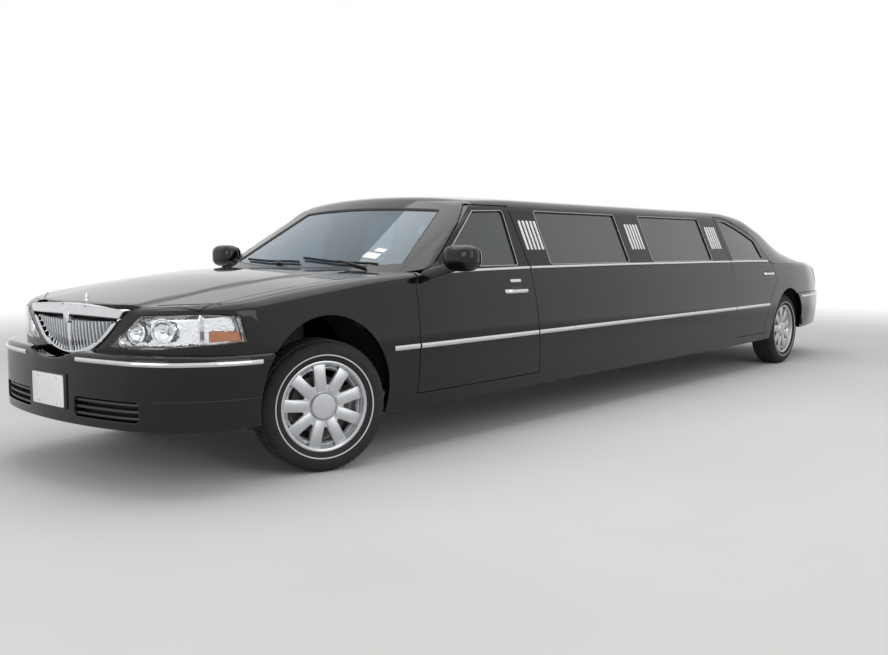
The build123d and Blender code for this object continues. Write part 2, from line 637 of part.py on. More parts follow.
# Quarter panels, boot lid and tail lamps
QUARTER_SHELF_HALF = 790.0
SHELF_FRONT = -185.0  # behind, of the parcel shelf
tail_shell = tail - tail_inside
tail_lamp_inside = plan_prism(plan_outline(NOSE_SETBACK, LAMP_DEPTH, TAIL_SETBACK + LAMP_DEPTH), 0, FAR)
tail_lamp_room = block(behind(TAIL_LAMP_FRONT), -WIDE, TAIL_LAMP_HALF, FAR, *TAIL_LAMP_Z)
tail_lamp_hole = block(behind(TAIL_LAMP_FRONT) + SEAT_GAP, -WIDE, BOOT_CORNER_HALF, FAR,
                       TAIL_LAMP_Z[0] - SEAT_GAP, TAIL_LAMP_Z[1] + SEAT_GAP)
quarter = tail_shell & LEFT & block(behind(SILL_REAR) - SEAT_GAP, -WIDE, 0, FAR, 0, FAR)
quarter += tail_shell & LEFT & block(behind(-700), behind(SILL_REAR), 0, FAR, DOOR_SILL_Z, FAR)
quarter -= rear_door_hole
quarter -= boot_hole
quarter -= rear_arch
quarter -= block(behind(SHELF_FRONT), behind(-800), 0, QUARTER_SHELF_HALF, WING_TIP_Z, FAR)
quarter -= block(behind(REAR_ARCH[0]), -WIDE, 0, FAR, 0, REAR_BUMPER_TOP_Z + SEAT_GAP)
quarter -= tail_lamp_hole
hinge_y, hinge_far_y, hinge_z, hinge_high_z = BOOT_HINGE
hinge_ring = plan_prism(gap_ring(boot_face()), hinge_z, hinge_high_z)
quarter += hinge_ring & block(behind(740), behind(600), hinge_y, hinge_far_y, 0, FAR)
parts["quarter_panels"] = largest(quarter + right(quarter))
boot_lid = tail_shell & plan_prism(boot_face(), BOOT_LOWER_Z, FAR)
tail_lamp_clearance = block(behind(TAIL_LAMP_FRONT) + SHUT_GAP, -WIDE, TAIL_LAMP_HALF - SHUT_GAP, FAR,
                            TAIL_LAMP_Z[0] - SHUT_GAP, TAIL_LAMP_Z[1] + SHUT_GAP)
parts["boot_lid"] = largest(boot_lid - tail_lamp_clearance - right(tail_lamp_clearance))
parts["tail_lamps"] = both((tail & tail_lamp_room) - tail_lamp_inside)

# Fixed glass: windscreen, rear window and the four stretched side windows
screen = glass_layer & extrude(screen_plane * screen_face(SEAT_GAP), 300, both=True)
backlight = glass_layer & plan_prism(grown(backlight_face(), -SEAT_GAP), CABIN_BASE_Z, FAR)
panes = []
for window in stretch_window_faces():
    pane = glass_layer & side_prism(grown(window, -SEAT_GAP), 300, FAR)
    panes += [pane, right(pane)]
parts["fixed_glass"] = Compound(children=[solid for pane in [screen, backlight] + panes for solid in pane.solids()])

# Bright upright bars on the pillars beside the stretched windows
BAR_PANELS = [-1795, -3150, -4520]  # ahead, the middle of each group
BARS = 5
BAR_PITCH = 42.0
BAR_WIDTH = 20.0
BAR_Z = (1134, 1340)
BAR_PROUD = 6.0

base_y, rail_y, rail_z = CABIN_MIDDLE[:3]
bar_layer = extrude(section_plane(ahead(BAR_PANELS[-1] - 200)) * make_face(Polyline(
    (base_y, CABIN_BASE_Z), (base_y + BAR_PROUD, CABIN_BASE_Z), (rail_y + BAR_PROUD, rail_z), (rail_y, rail_z),
    close=True)), BAR_PANELS[0] - BAR_PANELS[-1] + 400, dir=(1, 0, 0))
bars = []
for panel in BAR_PANELS:
    for bar in range(BARS):
        middle_x = ahead(panel + (bar - (BARS - 1) / 2) * BAR_PITCH)
        bar_face = Pos(middle_x, sum(BAR_Z) / 2) * Rectangle(BAR_WIDTH, BAR_Z[1] - BAR_Z[0])
        bars.append(bar_layer & side_prism(bar_face, 300, FAR))
parts["pillar_bars"] = Compound(children=[solid for bar in bars for solid in both(bar).solids()])

# Grille: a bright bowl-shaped rim with a broad top bar and upright bars
GRILLE_PROUD = 14.0
GRILLE_BAR_DEPTH = 34.0
GRILLE_DIVIDER = 30.0


def nose_layer(proud, depth):
    """An upright layer that follows the nose in plan, from in front of the lamps' faces to behind them."""
    return plan_prism(plan_outline(NOSE_SETBACK - proud, 0, TAIL_SETBACK), 0, FAR) \
        - plan_prism(plan_outline(NOSE_SETBACK + depth, 0, TAIL_SETBACK), -FAR, FAR)


grille_room = front_prism(grille_face(), ahead(600), LENGTH / 2)
grille_inner = front_prism(grown(grille_face(), -GRILLE_RIM), ahead(600), LENGTH / 2)
grille_inner -= block(ahead(600), LENGTH / 2, -FAR, FAR, GRILLE_TOP_Z - GRILLE_TOP_BAR - GRILLE_RIM, FAR)
grille = (grille_room - grille_inner) & nose_layer(GRILLE_PROUD, GRILLE_DEPTH)
bar_room = grille_room & nose_layer(0, GRILLE_BAR_DEPTH)
pitch = 2 * (GRILLE_SIDE[-1][0] - GRILLE_RIM) / (GRILLE_BARS + 1)
for bar in range(GRILLE_BARS):
    y = (bar - (GRILLE_BARS - 1) / 2) * pitch
    grille += bar_room & block(ahead(600), LENGTH / 2, y - GRILLE_BAR_WIDTH / 2, y + GRILLE_BAR_WIDTH / 2, 0, FAR)
grille += bar_room & block(ahead(600), LENGTH / 2, -GRILLE_DIVIDER / 2, GRILLE_DIVIDER / 2, 0, FAR)
parts["grille"] = grille

# Bumpers
BUMPER_SETBACK = 10.0  # behind the plate bracket's face
BUMPER_SHELF = 215.0  # depth of its top, back to the lamps and grille
BUMPER_LIP = 38.0  # thickness of its top
INTAKE = (430, 400, 420, 96)  # middle y and z, width, height
INTAKE_SLATS = 3
INTAKE_SLAT = 12.0
PLATE = (325, 175, 462)  # width, height and middle z of the front plate's bracket
PLATE_HOLE_PITCH = 178.0
PLATE_HOLE_RADIUS = 3.5
PLATE_BRACKET = 18.0
PLATE_HOLE_DROP = 25.0  # below the bracket's upper edge


def bumper_plan(inset_front, inset_side, inset_tail, z_from, z_to):
    """An upright prism of the bumpers' plan outline."""
    return plan_prism(plan_outline(inset_front, inset_side, inset_tail), z_from, z_to)


bumper = bumper_plan(BUMPER_SETBACK, 0, 0, BUMPER_BOTTOM_Z, BUMPER_TOP_Z)
bumper -= bumper_plan(BUMPER_SETBACK + BUMPER_WALL, BUMPER_WALL, 0, 0, BUMPER_TOP_Z - BUMPER_LIP)
bumper -= bumper_plan(BUMPER_SETBACK + BUMPER_SHELF, BUMPER_WALL, 0, 0, FAR)
bumper &= block(ahead(FRONT_ARCH[0]), WIDE, -FAR, FAR, 0, FAR)
bumper = bumper - front_arch - right(front_arch)
bumper -= grille_hole
intake_y, intake_z, intake_width, intake_height = INTAKE
for y in (-intake_y, intake_y):
    intake = Pos(y, intake_z) * RectangleRounded(intake_width, intake_height, 20)
    bumper -= front_prism(intake, ahead(500), LENGTH / 2)
    for slat in range(INTAKE_SLATS):
        z = intake_z + (slat - (INTAKE_SLATS - 1) / 2) * intake_height / INTAKE_SLATS
        shelf = block(ahead(500), LENGTH / 2, y - intake_width / 2 - 4, y + intake_width / 2 + 4,
                      z - INTAKE_SLAT / 2, z + INTAKE_SLAT / 2)
        bumper += shelf & (bumper_plan(BUMPER_SETBACK + 14, 0, 0, 0, FAR)
                           - bumper_plan(BUMPER_SETBACK + 50, 0, 0, -1, FAR))
plate_width, plate_height, plate_z = PLATE
bumper += block(LENGTH / 2 - PLATE_BRACKET, LENGTH / 2, -plate_width / 2, plate_width / 2,
                plate_z - plate_height / 2, plate_z + plate_height / 2)
for y in (-PLATE_HOLE_PITCH / 2, PLATE_HOLE_PITCH / 2):
    hole_z = plate_z + plate_height / 2 - PLATE_HOLE_DROP
    bumper -= Pos(LENGTH / 2, y, hole_z) * Rot(0, 90, 0) * Cylinder(PLATE_HOLE_RADIUS, 4 * BUMPER_WALL)
parts["front_bumper"] = bumper

REAR_BUMPER_PROUD = 10.0
rear_bumper = lower_run(REAR_SECTIONS, -REAR_BUMPER_PROUD) \
    & bumper_plan(BUMPER_SETBACK, -REAR_BUMPER_PROUD, 0, REAR_BUMPER_BOTTOM_Z, REAR_BUMPER_TOP_Z)
rear_bumper -= lower_run(REAR_SECTIONS, BUMPER_WALL) \
    & bumper_plan(0, BUMPER_WALL, BUMPER_WALL, 0, REAR_BUMPER_TOP_Z - BUMPER_LIP)
rear_bumper -= lower_run(REAR_SECTIONS, 2 * BUMPER_WALL) & bumper_plan(0, 0, TAIL_SETBACK + 2 * WALL, 0, FAR)
rear_bumper &= block(behind(REAR_ARCH[0]), -WIDE, -FAR, FAR, 0, FAR)
parts["rear_bumper"] = rear_bumper - rear_arch - right(rear_arch)

# Floor, with its tunnel, and the ladder frame. Distances are ahead for the front rows and behind for the rear.
FLOOR_HALF = 812.0
FLOOR_WHEEL_HALF = 640.0
FLOOR_BOOT_HALF = 680.0
FLOOR_REAR = [(-880, 345), (-640, 545), (480, 545), (620, 400), (REAR_OVERHANG - 356, 400)]
RAIL_Y = (350, 430)
RAIL_HEIGHT = 80.0
RAIL_FRONT = [(FRONT_OVERHANG - 125, 300), (-380, 300), (-520, 265)]
RAIL_REAR = [(-760, 265), (-420, 465), (420, 465), (600, 320), (REAR_OVERHANG - 136, 320)]
CROSS_MEMBERS = [-700, -1700, -2700, -3700, -4700]  # ahead
CROSS_MEMBER = (90, 265, 300)  # width, lower z, upper z
JACK_PAD = (110, 60, 12)  # length, width, depth below the rail
JACK_PAD_FRONT = -800.0  # ahead
JACK_PAD_REAR = -1000.0  # behind
SUPPORT = (600, 645, 610)  # the radiator's upright frame: ahead, ahead, half width
SUPPORT_TOP_Z = 800.0


def strip(points, height):
    """A side-view strip of even height over a bottom line."""
    top = [(x, z + height) for x, z in reversed(points)]
    return make_face(Polyline(*points, *top, close=True))


floor_line = [(ahead(BULKHEAD[0]) - SEAT_GAP, FLOOR_Z)] + along(FLOOR_REAR, behind)
floor = side_prism(strip(floor_line, FLOOR_THICK), -FLOOR_HALF, FLOOR_HALF)
for side in (-1, 1):
    floor -= block(behind(SILL_REAR), -WIDE, side * FLOOR_WHEEL_HALF, side * FAR, 0, FAR) \
        - block(behind(FLOOR_REAR[2][0]), -WIDE, -FLOOR_BOOT_HALF, FLOOR_BOOT_HALF, 0, FAR)
tunnel_x = (ahead(BULKHEAD[0]) - SEAT_GAP, behind(FLOOR_REAR[0][0]) - 100)
floor += block(*tunnel_x, -TUNNEL_HALF, TUNNEL_HALF, FLOOR_Z, TUNNEL_Z)
floor -= block(tunnel_x[0], tunnel_x[1] - TUNNEL_WALL, -TUNNEL_HALF + TUNNEL_WALL, TUNNEL_HALF - TUNNEL_WALL,
               0, TUNNEL_Z - TUNNEL_WALL)
parts["floor_pan"] = floor

rail_line = along(RAIL_FRONT, ahead) + along(RAIL_REAR, behind)
frame = side_prism(strip(rail_line, RAIL_HEIGHT), *RAIL_Y)
pad_length, pad_width, pad_depth = JACK_PAD
for x in (ahead(JACK_PAD_FRONT), behind(JACK_PAD_REAR)):
    pad_y = sum(RAIL_Y) / 2
    frame += block(x - pad_length / 2, x + pad_length / 2, pad_y - pad_width / 2, pad_y + pad_width / 2,
                   RAIL_REAR[0][1] - pad_depth, RAIL_REAR[0][1] + 1)
frame += right(frame)
cross_width, cross_low, cross_high = CROSS_MEMBER
for x in CROSS_MEMBERS:
    frame += block(ahead(x) - cross_width / 2, ahead(x) + cross_width / 2, -RAIL_Y[0] - 10, RAIL_Y[0] + 10,
                   cross_low, cross_high)
for x, z in (RAIL_REAR[2], RAIL_REAR[3]):
    frame += block(behind(x) - cross_width / 2, behind(x) + cross_width / 2, -RAIL_Y[0] - 10, RAIL_Y[0] + 10,
                   z + 20, z + RAIL_HEIGHT - 20)
frame += block(ahead(SUPPORT[0]), ahead(SUPPORT[1]), -SUPPORT[2], SUPPORT[2], RAIL_FRONT[0][1] + RAIL_HEIGHT / 2,
               SUPPORT_TOP_Z)
parts["chassis_frame"] = frame

# Engine with gearbox, shafts and exhaust
ENGINE = (-340, 440, 275, 700)  # ahead, ahead, half width, top z
GEARBOX = (-900, 80, 310, 440)  # ahead, half width, lower z, upper z
CROSSMEMBER_Z = (155, 300)
CROSSMEMBER_HALF_LENGTH = 95.0

engine = block(ahead(ENGINE[0]), ahead(ENGINE[1]), -ENGINE[2], ENGINE[2], CROSSMEMBER_Z[1] + SEAT_GAP, ENGINE[3])
engine += block(ahead(GEARBOX[0]), ahead(ENGINE[0]) + 10, -GEARBOX[1], GEARBOX[1], *GEARBOX[2:])
parts["engine_block"] = engine

AXLE_TUBE = 40.0
HUB_RADIUS = 62.0
DIFFERENTIAL = (128, 95)  # radius, half width
SPRING = (390, 54)  # y, radius
PINION = (-280, 52)  # behind, radius
SHAFT_RADIUS = 38.0
EXHAUST_Y = -210.0
EXHAUST_RADIUS = 28.0
MUFFLER = (700, 1080, 150, 56)  # behind, behind, width, half height


def across(y_from, y_to, x, z, radius):
    """A cylinder across the car."""
    return Pos(x, (y_from + y_to) / 2, z) * Rot(90, 0, 0) * Cylinder(radius, abs(y_to - y_from))


def lengthways(x_from, x_to, y, z, radius):
    """A cylinder along the car."""
    return Pos((x_from + x_to) / 2, y, z) * Rot(0, 90, 0) * Cylinder(radius, abs(x_to - x_from))


axle_half = REAR_TRACK / 2 - SEAT_GAP
axle = across(-axle_half, axle_half, REAR_AXLE_X, TYRE_RADIUS, AXLE_TUBE)
for y in (-1, 1):
    axle += across(y * (axle_half - 50), y * axle_half, REAR_AXLE_X, TYRE_RADIUS, HUB_RADIUS)
    spring_top = RAIL_REAR[2][1] - SEAT_GAP
    axle += Pos(REAR_AXLE_X, y * SPRING[0], (spring_top + TYRE_RADIUS) / 2) * Cylinder(SPRING[1], spring_top - TYRE_RADIUS)
axle += across(-DIFFERENTIAL[1], DIFFERENTIAL[1], REAR_AXLE_X, TYRE_RADIUS, DIFFERENTIAL[0])
axle += lengthways(REAR_AXLE_X, behind(PINION[0]), 0, TYRE_RADIUS, PINION[1])
parts["rear_axle"] = axle
parts["propeller_shaft"] = lengthways(behind(PINION[0]) + SEAT_GAP, ahead(GEARBOX[0]) - SEAT_GAP, 0,
                                      TYRE_RADIUS + 30, SHAFT_RADIUS)
pipe_z = CROSS_MEMBER[1] - SEAT_GAP - EXHAUST_RADIUS
muffler_front, muffler_rear, muffler_width, muffler_half = MUFFLER
exhaust = lengthways(ahead(-300), behind(muffler_front) - 10, EXHAUST_Y, pipe_z, EXHAUST_RADIUS)
exhaust += block(behind(muffler_front), behind(muffler_rear), EXHAUST_Y - muffler_width / 2,
                 EXHAUST_Y + muffler_width / 2, pipe_z - muffler_half / 2, pipe_z + muffler_half * 1.4)
parts["exhaust"] = exhaust

# Front suspension and the knuckles that steer
ARM_ROOT_HALF = 100.0
ARM_TIP_HALF = 34.0
ARM_TIP_Y = 725.0
LOWER_ARM_Z = (155, 189.7)
UPPER_ARM_Z = (500.3, 530)
BALL_RADIUS = 32.0
TOWER_HALF_LENGTH = 95.0
KNUCKLE = (30, 708, 768)  # half length, y from, y to
KNUCKLE_Z = (190, 500)
DISC = (148, 22)
KINGPIN_Y = FRONT_TRACK / 2 - KINGPIN_INSET
STEER_ARM = (-135, 26)


def arm(low, high):
    """A wishbone drawn as one tapered plate with a round end under the kingpin."""
    plate = make_face(Polyline((FRONT_AXLE_X - ARM_ROOT_HALF, RAIL_Y[1]), (FRONT_AXLE_X - ARM_TIP_HALF, ARM_TIP_Y),
                               (FRONT_AXLE_X + ARM_TIP_HALF, ARM_TIP_Y), (FRONT_AXLE_X + ARM_ROOT_HALF, RAIL_Y[1]),
                               close=True))
    return plan_prism(plate, low, high) + Pos(FRONT_AXLE_X, KINGPIN_Y, (low + high) / 2) * Cylinder(BALL_RADIUS, high - low)


lower_arm = arm(*LOWER_ARM_Z)
suspension = block(FRONT_AXLE_X - CROSSMEMBER_HALF_LENGTH, FRONT_AXLE_X + CROSSMEMBER_HALF_LENGTH,
                   -RAIL_Y[1] - 5, RAIL_Y[1] + 5, CROSSMEMBER_Z[0], CROSSMEMBER_Z[1] - SEAT_GAP)
suspension += lower_arm + right(lower_arm)
tower = block(FRONT_AXLE_X - TOWER_HALF_LENGTH, FRONT_AXLE_X + TOWER_HALF_LENGTH, RAIL_Y[0], RAIL_Y[1],
              RAIL_FRONT[0][1] + RAIL_HEIGHT + SEAT_GAP, UPPER_ARM_Z[1]) + arm(*UPPER_ARM_Z)
parts["front_suspension"] = Compound(children=list(suspension.solids()) + list(both(tower).solids()))

knuckle = block(FRONT_AXLE_X - KNUCKLE[0], FRONT_AXLE_X + KNUCKLE[0], KNUCKLE[1], KNUCKLE[2], *KNUCKLE_Z)
knuckle += across(KNUCKLE[1], FRONT_TRACK / 2 - SEAT_GAP, FRONT_AXLE_X, TYRE_RADIUS, HUB_RADIUS)
knuckle += block(FRONT_AXLE_X + STEER_ARM[0], FRONT_AXLE_X, KNUCKLE[1], KNUCKLE[1] + STEER_ARM[1] * 1.5,
                 TYRE_RADIUS - STEER_ARM[1], TYRE_RADIUS + STEER_ARM[1])


def steered(piece, side):
    """A front piece, built straight ahead on the left, put on its side and turned as parked."""
    placed = piece if side > 0 else right(piece)
    kingpin = Axis((FRONT_AXLE_X, side * KINGPIN_Y, 0), (0, 0, 1))
    return placed.rotate(kingpin, -STEER_AT_REST)


# Wheels: radius and distance outward from the wheel's middle plane
TYRE_PROFILE = [(RIM_RADIUS + SEAT_GAP, -82.5), (235.5, -95.7), (258, -107), (292, -111), (333, -90),
                (TYRE_RADIUS, -66)]
RIM_FLANGE = 12.0
RIM_WALL = 12.0
DISC_FACE = (52, 74)  # inner and outer face of the spoked disc
HUB_PAD = 74.0
CAP = (68, 86)
SPOKES = 9
SPOKE_HOLE = (112, 196)  # radii of the openings between spokes
SPOKE_HOLE_ANGLES = (3.5, 11.5)  # half angle at the inner and at the outer radius


def tyre():
    """A tyre on the left, at the middle of the car's own axes."""
    outer = [(radius, -y) for radius, y in reversed(TYRE_PROFILE)]
    outline = Polyline(*TYRE_PROFILE, *outer, close=True)
    return revolve(make_face(outline), Axis.Y)


def rim():
    """A spoked rim on the left with its hub and brake disc, at the middle of the car's own axes."""
    half = RIM_WIDTH / 2
    barrel = make_face(Polyline((RIM_RADIUS - RIM_WALL, -half), (RIM_RADIUS + RIM_FLANGE, -half),
                                (RIM_RADIUS, -half + RIM_FLANGE), (RIM_RADIUS, half - RIM_FLANGE),
                                (RIM_RADIUS + RIM_FLANGE, half), (RIM_RADIUS - RIM_WALL, half), close=True))
    inner_face, outer_face = DISC_FACE
    disc = make_face(Polyline((0, inner_face), (RIM_RADIUS - 4, inner_face), (RIM_RADIUS - 4, outer_face),
                              (CAP[0], outer_face), (CAP[0], CAP[1]), (0, CAP[1]), close=True))
    hub = make_face(Polyline((0, 0), (HUB_PAD, 0), (HUB_PAD, inner_face + 5), (0, inner_face + 5), close=True))
    brake = make_face(Polyline((HUB_RADIUS + 8, -DISC[1]), (DISC[0], -DISC[1]), (DISC[0], 0), (HUB_PAD, 0),
                               (HUB_PAD, 1), (HUB_RADIUS + 8, 1), close=True))
    wheel = revolve(barrel, Axis.Y) + revolve(disc, Axis.Y) + revolve(hub, Axis.Y) + revolve(brake, Axis.Y)
    (r_in, r_out), (a_in, a_out) = SPOKE_HOLE, (radians(a) for a in SPOKE_HOLE_ANGLES)
    opening = make_face(Polyline((r_in * cos(a_in), -r_in * sin(a_in)), (r_out * cos(a_out), -r_out * sin(a_out)),
                                 (r_out * cos(a_out), r_out * sin(a_out)), (r_in * cos(a_in), r_in * sin(a_in)),
                                 close=True))
    window = extrude(Plane(origin=(0, inner_face - 10, 0), x_dir=(1, 0, 0), z_dir=(0, -1, 0)) * opening,
                     outer_face - inner_face + 40, dir=(0, 1, 0))
    for spoke in range(SPOKES):
        wheel -= window.rotate(Axis.Y, (spoke + 0.5) * 360 / SPOKES)
    return wheel


tyre_piece, rim_piece = tyre(), rim()
for side, sign in (("left", 1), ("right", -1)):
    for kind, piece in (("tyre", tyre_piece), ("rim", rim_piece)):
        front = Pos(FRONT_AXLE_X, FRONT_TRACK / 2, TYRE_RADIUS) * piece
        rear = Pos(REAR_AXLE_X, REAR_TRACK / 2, TYRE_RADIUS) * piece
        parts["front_" + kind + "_" + side] = steered(front, sign)
        parts["rear_" + kind + "_" + side] = rear if sign > 0 else right(rear)
    parts["knuckle_" + side] = steered(knuckle, sign)

# Inside the cabin: dashboard with its steering wheel, seats and the partition behind the driver
FLOOR_TOP = FLOOR_Z + FLOOR_THICK
DASH = [(-572.5, 660), (-572.5, 925), (-750, 925), (-768, 985), (-950, 955), (-1000, 880), (-960, 700)]  # ahead and z
DASH_HALF = 800.0
STEERING_WHEEL = (-1260, 385, 880, 188, 15)  # ahead, y, z, radius, rim radius
STEERING_LEAN = 66.0
PARTITION = (-2200, -2160, 790)  # ahead, ahead, half width
PARTITION_TOP = (700, 1400)  # half width and z
PARTITION_WINDOW = (1000, 240, 1200)  # width, height, middle z
FRONT_SEAT_Y = (150, 680)
FRONT_SEAT = [(-1400, FLOOR_TOP + SEAT_GAP), (-1400, 590), (-1430, 640), (-1850, 605), (-1985, 1080), (-1995, 1225),
              (-2075, 1225), (-2100, 1080), (-2010, 560), (-2010, FLOOR_TOP + SEAT_GAP)]
REAR_SEAT_HALF = 630.0
REAR_SEAT = [(-960, 375.3), (-960, 640), (-930, 680), (-480, 650), (-330, 1060), (-210, 1060), (-300, 620),
             (-430, 575.3), (-640, 575.3), (-880, 375.3)]  # behind and z
SIDE_SEAT_X = (-2400, -4650)  # ahead
SIDE_SEAT = [(380, 375.3), (380, 650), (410, 680), (650, 660), (720, 1000), (800, 1000), (800, 375.3)]  # y and z

dash = side_prism(make_face(Polyline(*along(DASH, ahead), close=True)), -DASH_HALF, DASH_HALF)
wheel_x, wheel_y, wheel_z, wheel_radius, wheel_tube = STEERING_WHEEL
rim_section = Pos(wheel_radius, 0) * RegularPolygon(wheel_tube, 6)
steering = revolve(Plane.XZ * rim_section, Axis.Z) + Cylinder(50, 24)
for turn in (0, 120, 240):
    steering += Rot(0, 0, turn + 90) * Pos(wheel_radius / 2, 0, 0) * Box(wheel_radius, 26, 14)
steering += Pos(0, 0, -150) * Cylinder(26, 300)
steering = Pos(ahead(wheel_x), wheel_y, wheel_z) * Rot(0, -STEERING_LEAN, 0) * steering
parts["dashboard"] = dash + steering

partition_half = PARTITION[2]
partition_face = make_face(Polyline((-partition_half, FLOOR_TOP + SEAT_GAP), (partition_half, FLOOR_TOP + SEAT_GAP),
                                    (partition_half, BELT_Z), PARTITION_TOP,
                                    (-PARTITION_TOP[0], PARTITION_TOP[1]), (-partition_half, BELT_Z), close=True))
partition = front_prism(partition_face, ahead(PARTITION[0]), ahead(PARTITION[1]))
tunnel_room = block(ahead(BULKHEAD[0]), behind(-500), -TUNNEL_HALF - SEAT_GAP, TUNNEL_HALF + SEAT_GAP,
                    0, TUNNEL_Z + SEAT_GAP)
partition -= tunnel_room
partition -= front_prism(Pos(0, PARTITION_WINDOW[2]) * RectangleRounded(*PARTITION_WINDOW[:2], 40),
                         ahead(PARTITION[0]), ahead(PARTITION[1]))
parts["partition"] = partition

seat_face = make_face(Polyline(*along(FRONT_SEAT, ahead), close=True))
parts["front_seats"] = both(side_prism(seat_face, *FRONT_SEAT_Y))
rear_seat = side_prism(make_face(Polyline(*along(REAR_SEAT, behind), close=True)), -REAR_SEAT_HALF, REAR_SEAT_HALF)
side_seat = front_prism(make_face(Polyline(*SIDE_SEAT, close=True)), ahead(SIDE_SEAT_X[1]), ahead(SIDE_SEAT_X[0]))
parts["cabin_seats"] = Compound(children=[*(rear_seat - tunnel_room).solids(), *right(side_seat).solids()])

for name, piece in parts.items():
    export_step(piece, "parts/" + name + ".step")
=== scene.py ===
"""Looks of a stretch limousine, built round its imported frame.

The frame's axes hold throughout: +X forward, +Y to the car's left, +Z up, in metres, with the origin on the
ground under the middle of the car. Places called "ahead" are measured forward from the front axle and places
called "behind" backward from the rear axle.
"""

import logging
from dataclasses import dataclass, field, replace
from enum import Enum
from math import atan2, cos, pi, radians, sin, sqrt, tan
from typing import Callable, Sequence

import bmesh
import bpy
import numpy as np
from bpy.types import Material, Node, NodeSocket, NodeTree, Object
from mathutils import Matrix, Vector
from mathutils.geometry import delaunay_2d_cdt


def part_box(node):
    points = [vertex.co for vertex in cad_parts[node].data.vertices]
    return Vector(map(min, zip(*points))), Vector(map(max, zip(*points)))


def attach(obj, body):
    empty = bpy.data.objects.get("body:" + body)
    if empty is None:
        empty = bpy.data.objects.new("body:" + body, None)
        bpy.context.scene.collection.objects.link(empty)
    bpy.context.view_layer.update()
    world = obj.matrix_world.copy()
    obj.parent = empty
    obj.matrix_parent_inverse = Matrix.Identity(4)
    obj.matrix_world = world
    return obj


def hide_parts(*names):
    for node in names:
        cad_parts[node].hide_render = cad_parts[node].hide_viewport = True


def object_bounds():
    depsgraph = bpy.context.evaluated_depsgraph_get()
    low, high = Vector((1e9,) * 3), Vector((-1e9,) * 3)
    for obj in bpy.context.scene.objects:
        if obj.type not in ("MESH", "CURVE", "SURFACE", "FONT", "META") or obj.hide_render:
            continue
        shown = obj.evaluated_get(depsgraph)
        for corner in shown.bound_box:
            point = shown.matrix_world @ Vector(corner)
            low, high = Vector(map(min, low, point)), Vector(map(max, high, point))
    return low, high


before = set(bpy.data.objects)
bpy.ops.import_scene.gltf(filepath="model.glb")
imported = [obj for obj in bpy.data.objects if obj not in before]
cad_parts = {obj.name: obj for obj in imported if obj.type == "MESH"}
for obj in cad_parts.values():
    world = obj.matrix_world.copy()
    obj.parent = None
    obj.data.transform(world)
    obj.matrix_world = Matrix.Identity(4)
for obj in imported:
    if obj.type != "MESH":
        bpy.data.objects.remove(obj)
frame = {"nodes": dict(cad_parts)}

log = logging.getLogger("limousine")
CAD_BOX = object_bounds()

Points = np.ndarray
Place = tuple[float, float]
Spot = tuple[float, float, float]
Outline = list[Place]
Line = Sequence[Place]
Axes = Sequence[Sequence[float]]


def middle_x(node: str) -> float:
    """Station of the middle of a frame node."""
    low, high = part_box(node)
    return (low[0] + high[0]) / 2


FRONT_AXLE_X = (middle_x("front_tyre_left") + middle_x("front_tyre_right")) / 2
REAR_AXLE_X = middle_x("rear_tyre_left")
NOSE_X = CAD_BOX[1][0]
TAIL_X = CAD_BOX[0][0]
TYRE_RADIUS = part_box("rear_tyre_left")[1][2] / 2
FRONT_OVERHANG = NOSE_X - FRONT_AXLE_X
REAR_OVERHANG = REAR_AXLE_X - TAIL_X
FAR = 1.5  # a plan reach past everything on the car
PROUD = 0.003  # how far the skins lie outside the frame's surfaces
MIDDLE_GAP = 1e-4  # how near the middle line a point counts as on it


def ahead(distance: float) -> float:
    """Station this far in front of the front axle."""
    return FRONT_AXLE_X + distance


def behind(distance: float) -> float:
    """Station this far behind the rear axle."""
    return REAR_AXLE_X - distance


class Side(Enum):
    """A side of the car, with the sign of its y."""

    LEFT = 1
    RIGHT = -1

    @property
    def label(self) -> str:
        """The side's name as the frame's nodes have it."""
        return self.name.lower()


def linked(name: str, data: bpy.types.ID) -> Object:
    """A new object in the scene."""
    obj = bpy.data.objects.new(name, data)
    bpy.context.scene.collection.objects.link(obj)
    return obj


def smooth_curve(xs: Points, ys: Points, x: Points) -> Points:
    """Monotone cubic through points, which never overshoots.

    Args:
        xs: rising stations.
        ys: the value at each station.
        x: where the value is wanted.

    Returns:
        The value at each x.
    """
    h = np.diff(xs)
    rise = np.diff(ys) / h
    slopes = np.empty(len(xs))
    slopes[0], slopes[-1] = rise[0], rise[-1]
    w1, w2 = 2 * h[1:] + h[:-1], h[1:] + 2 * h[:-1]
    same = rise[:-1] * rise[1:] > 0
    safe = np.where(same, rise[:-1], 1.0), np.where(same, rise[1:], 1.0)
    slopes[1:-1] = np.where(same, (w1 + w2) / (w1 / safe[0] + w2 / safe[1]), 0.0)
    x = np.clip(x, xs[0], xs[-1])
    i = np.clip(np.searchsorted(xs, x) - 1, 0, len(xs) - 2)
    t = (x - xs[i]) / h[i]
    lift = (2 * t**3 - 3 * t**2 + 1) * ys[i] + (t**3 - 2 * t**2 + t) * h[i] * slopes[i]
    return lift + (3 * t**2 - 2 * t**3) * ys[i + 1] + (t**3 - t**2) * h[i] * slopes[i + 1]


def soft_min(a: Points, b: Points, width: float) -> Points:
    """The smaller of two values, with a round of that width where they cross."""
    share = np.clip(0.5 + 0.5 * (b - a) / width, 0, 1)
    return b * (1 - share) + a * share - width * share * (1 - share)


def smooth_step(low: float, high: float, value: Points) -> Points:
    """From 0 below low to 1 above high, with soft ends."""
    t = np.clip((value - low) / (high - low), 0, 1)
    return t * t * (3 - 2 * t)


@dataclass(frozen=True)
class SizeTable:
    """Rows of sizes at stations along the car, joined by smooth curves. The first column is the station."""

    rows: tuple[tuple[float, ...], ...]

    def at(self, column: int, x: Points) -> Points:
        """The sizes of one column at stations x."""
        table = np.array(sorted(self.rows))
        return smooth_curve(table[:, 0], table[:, column], np.asarray(x, float))


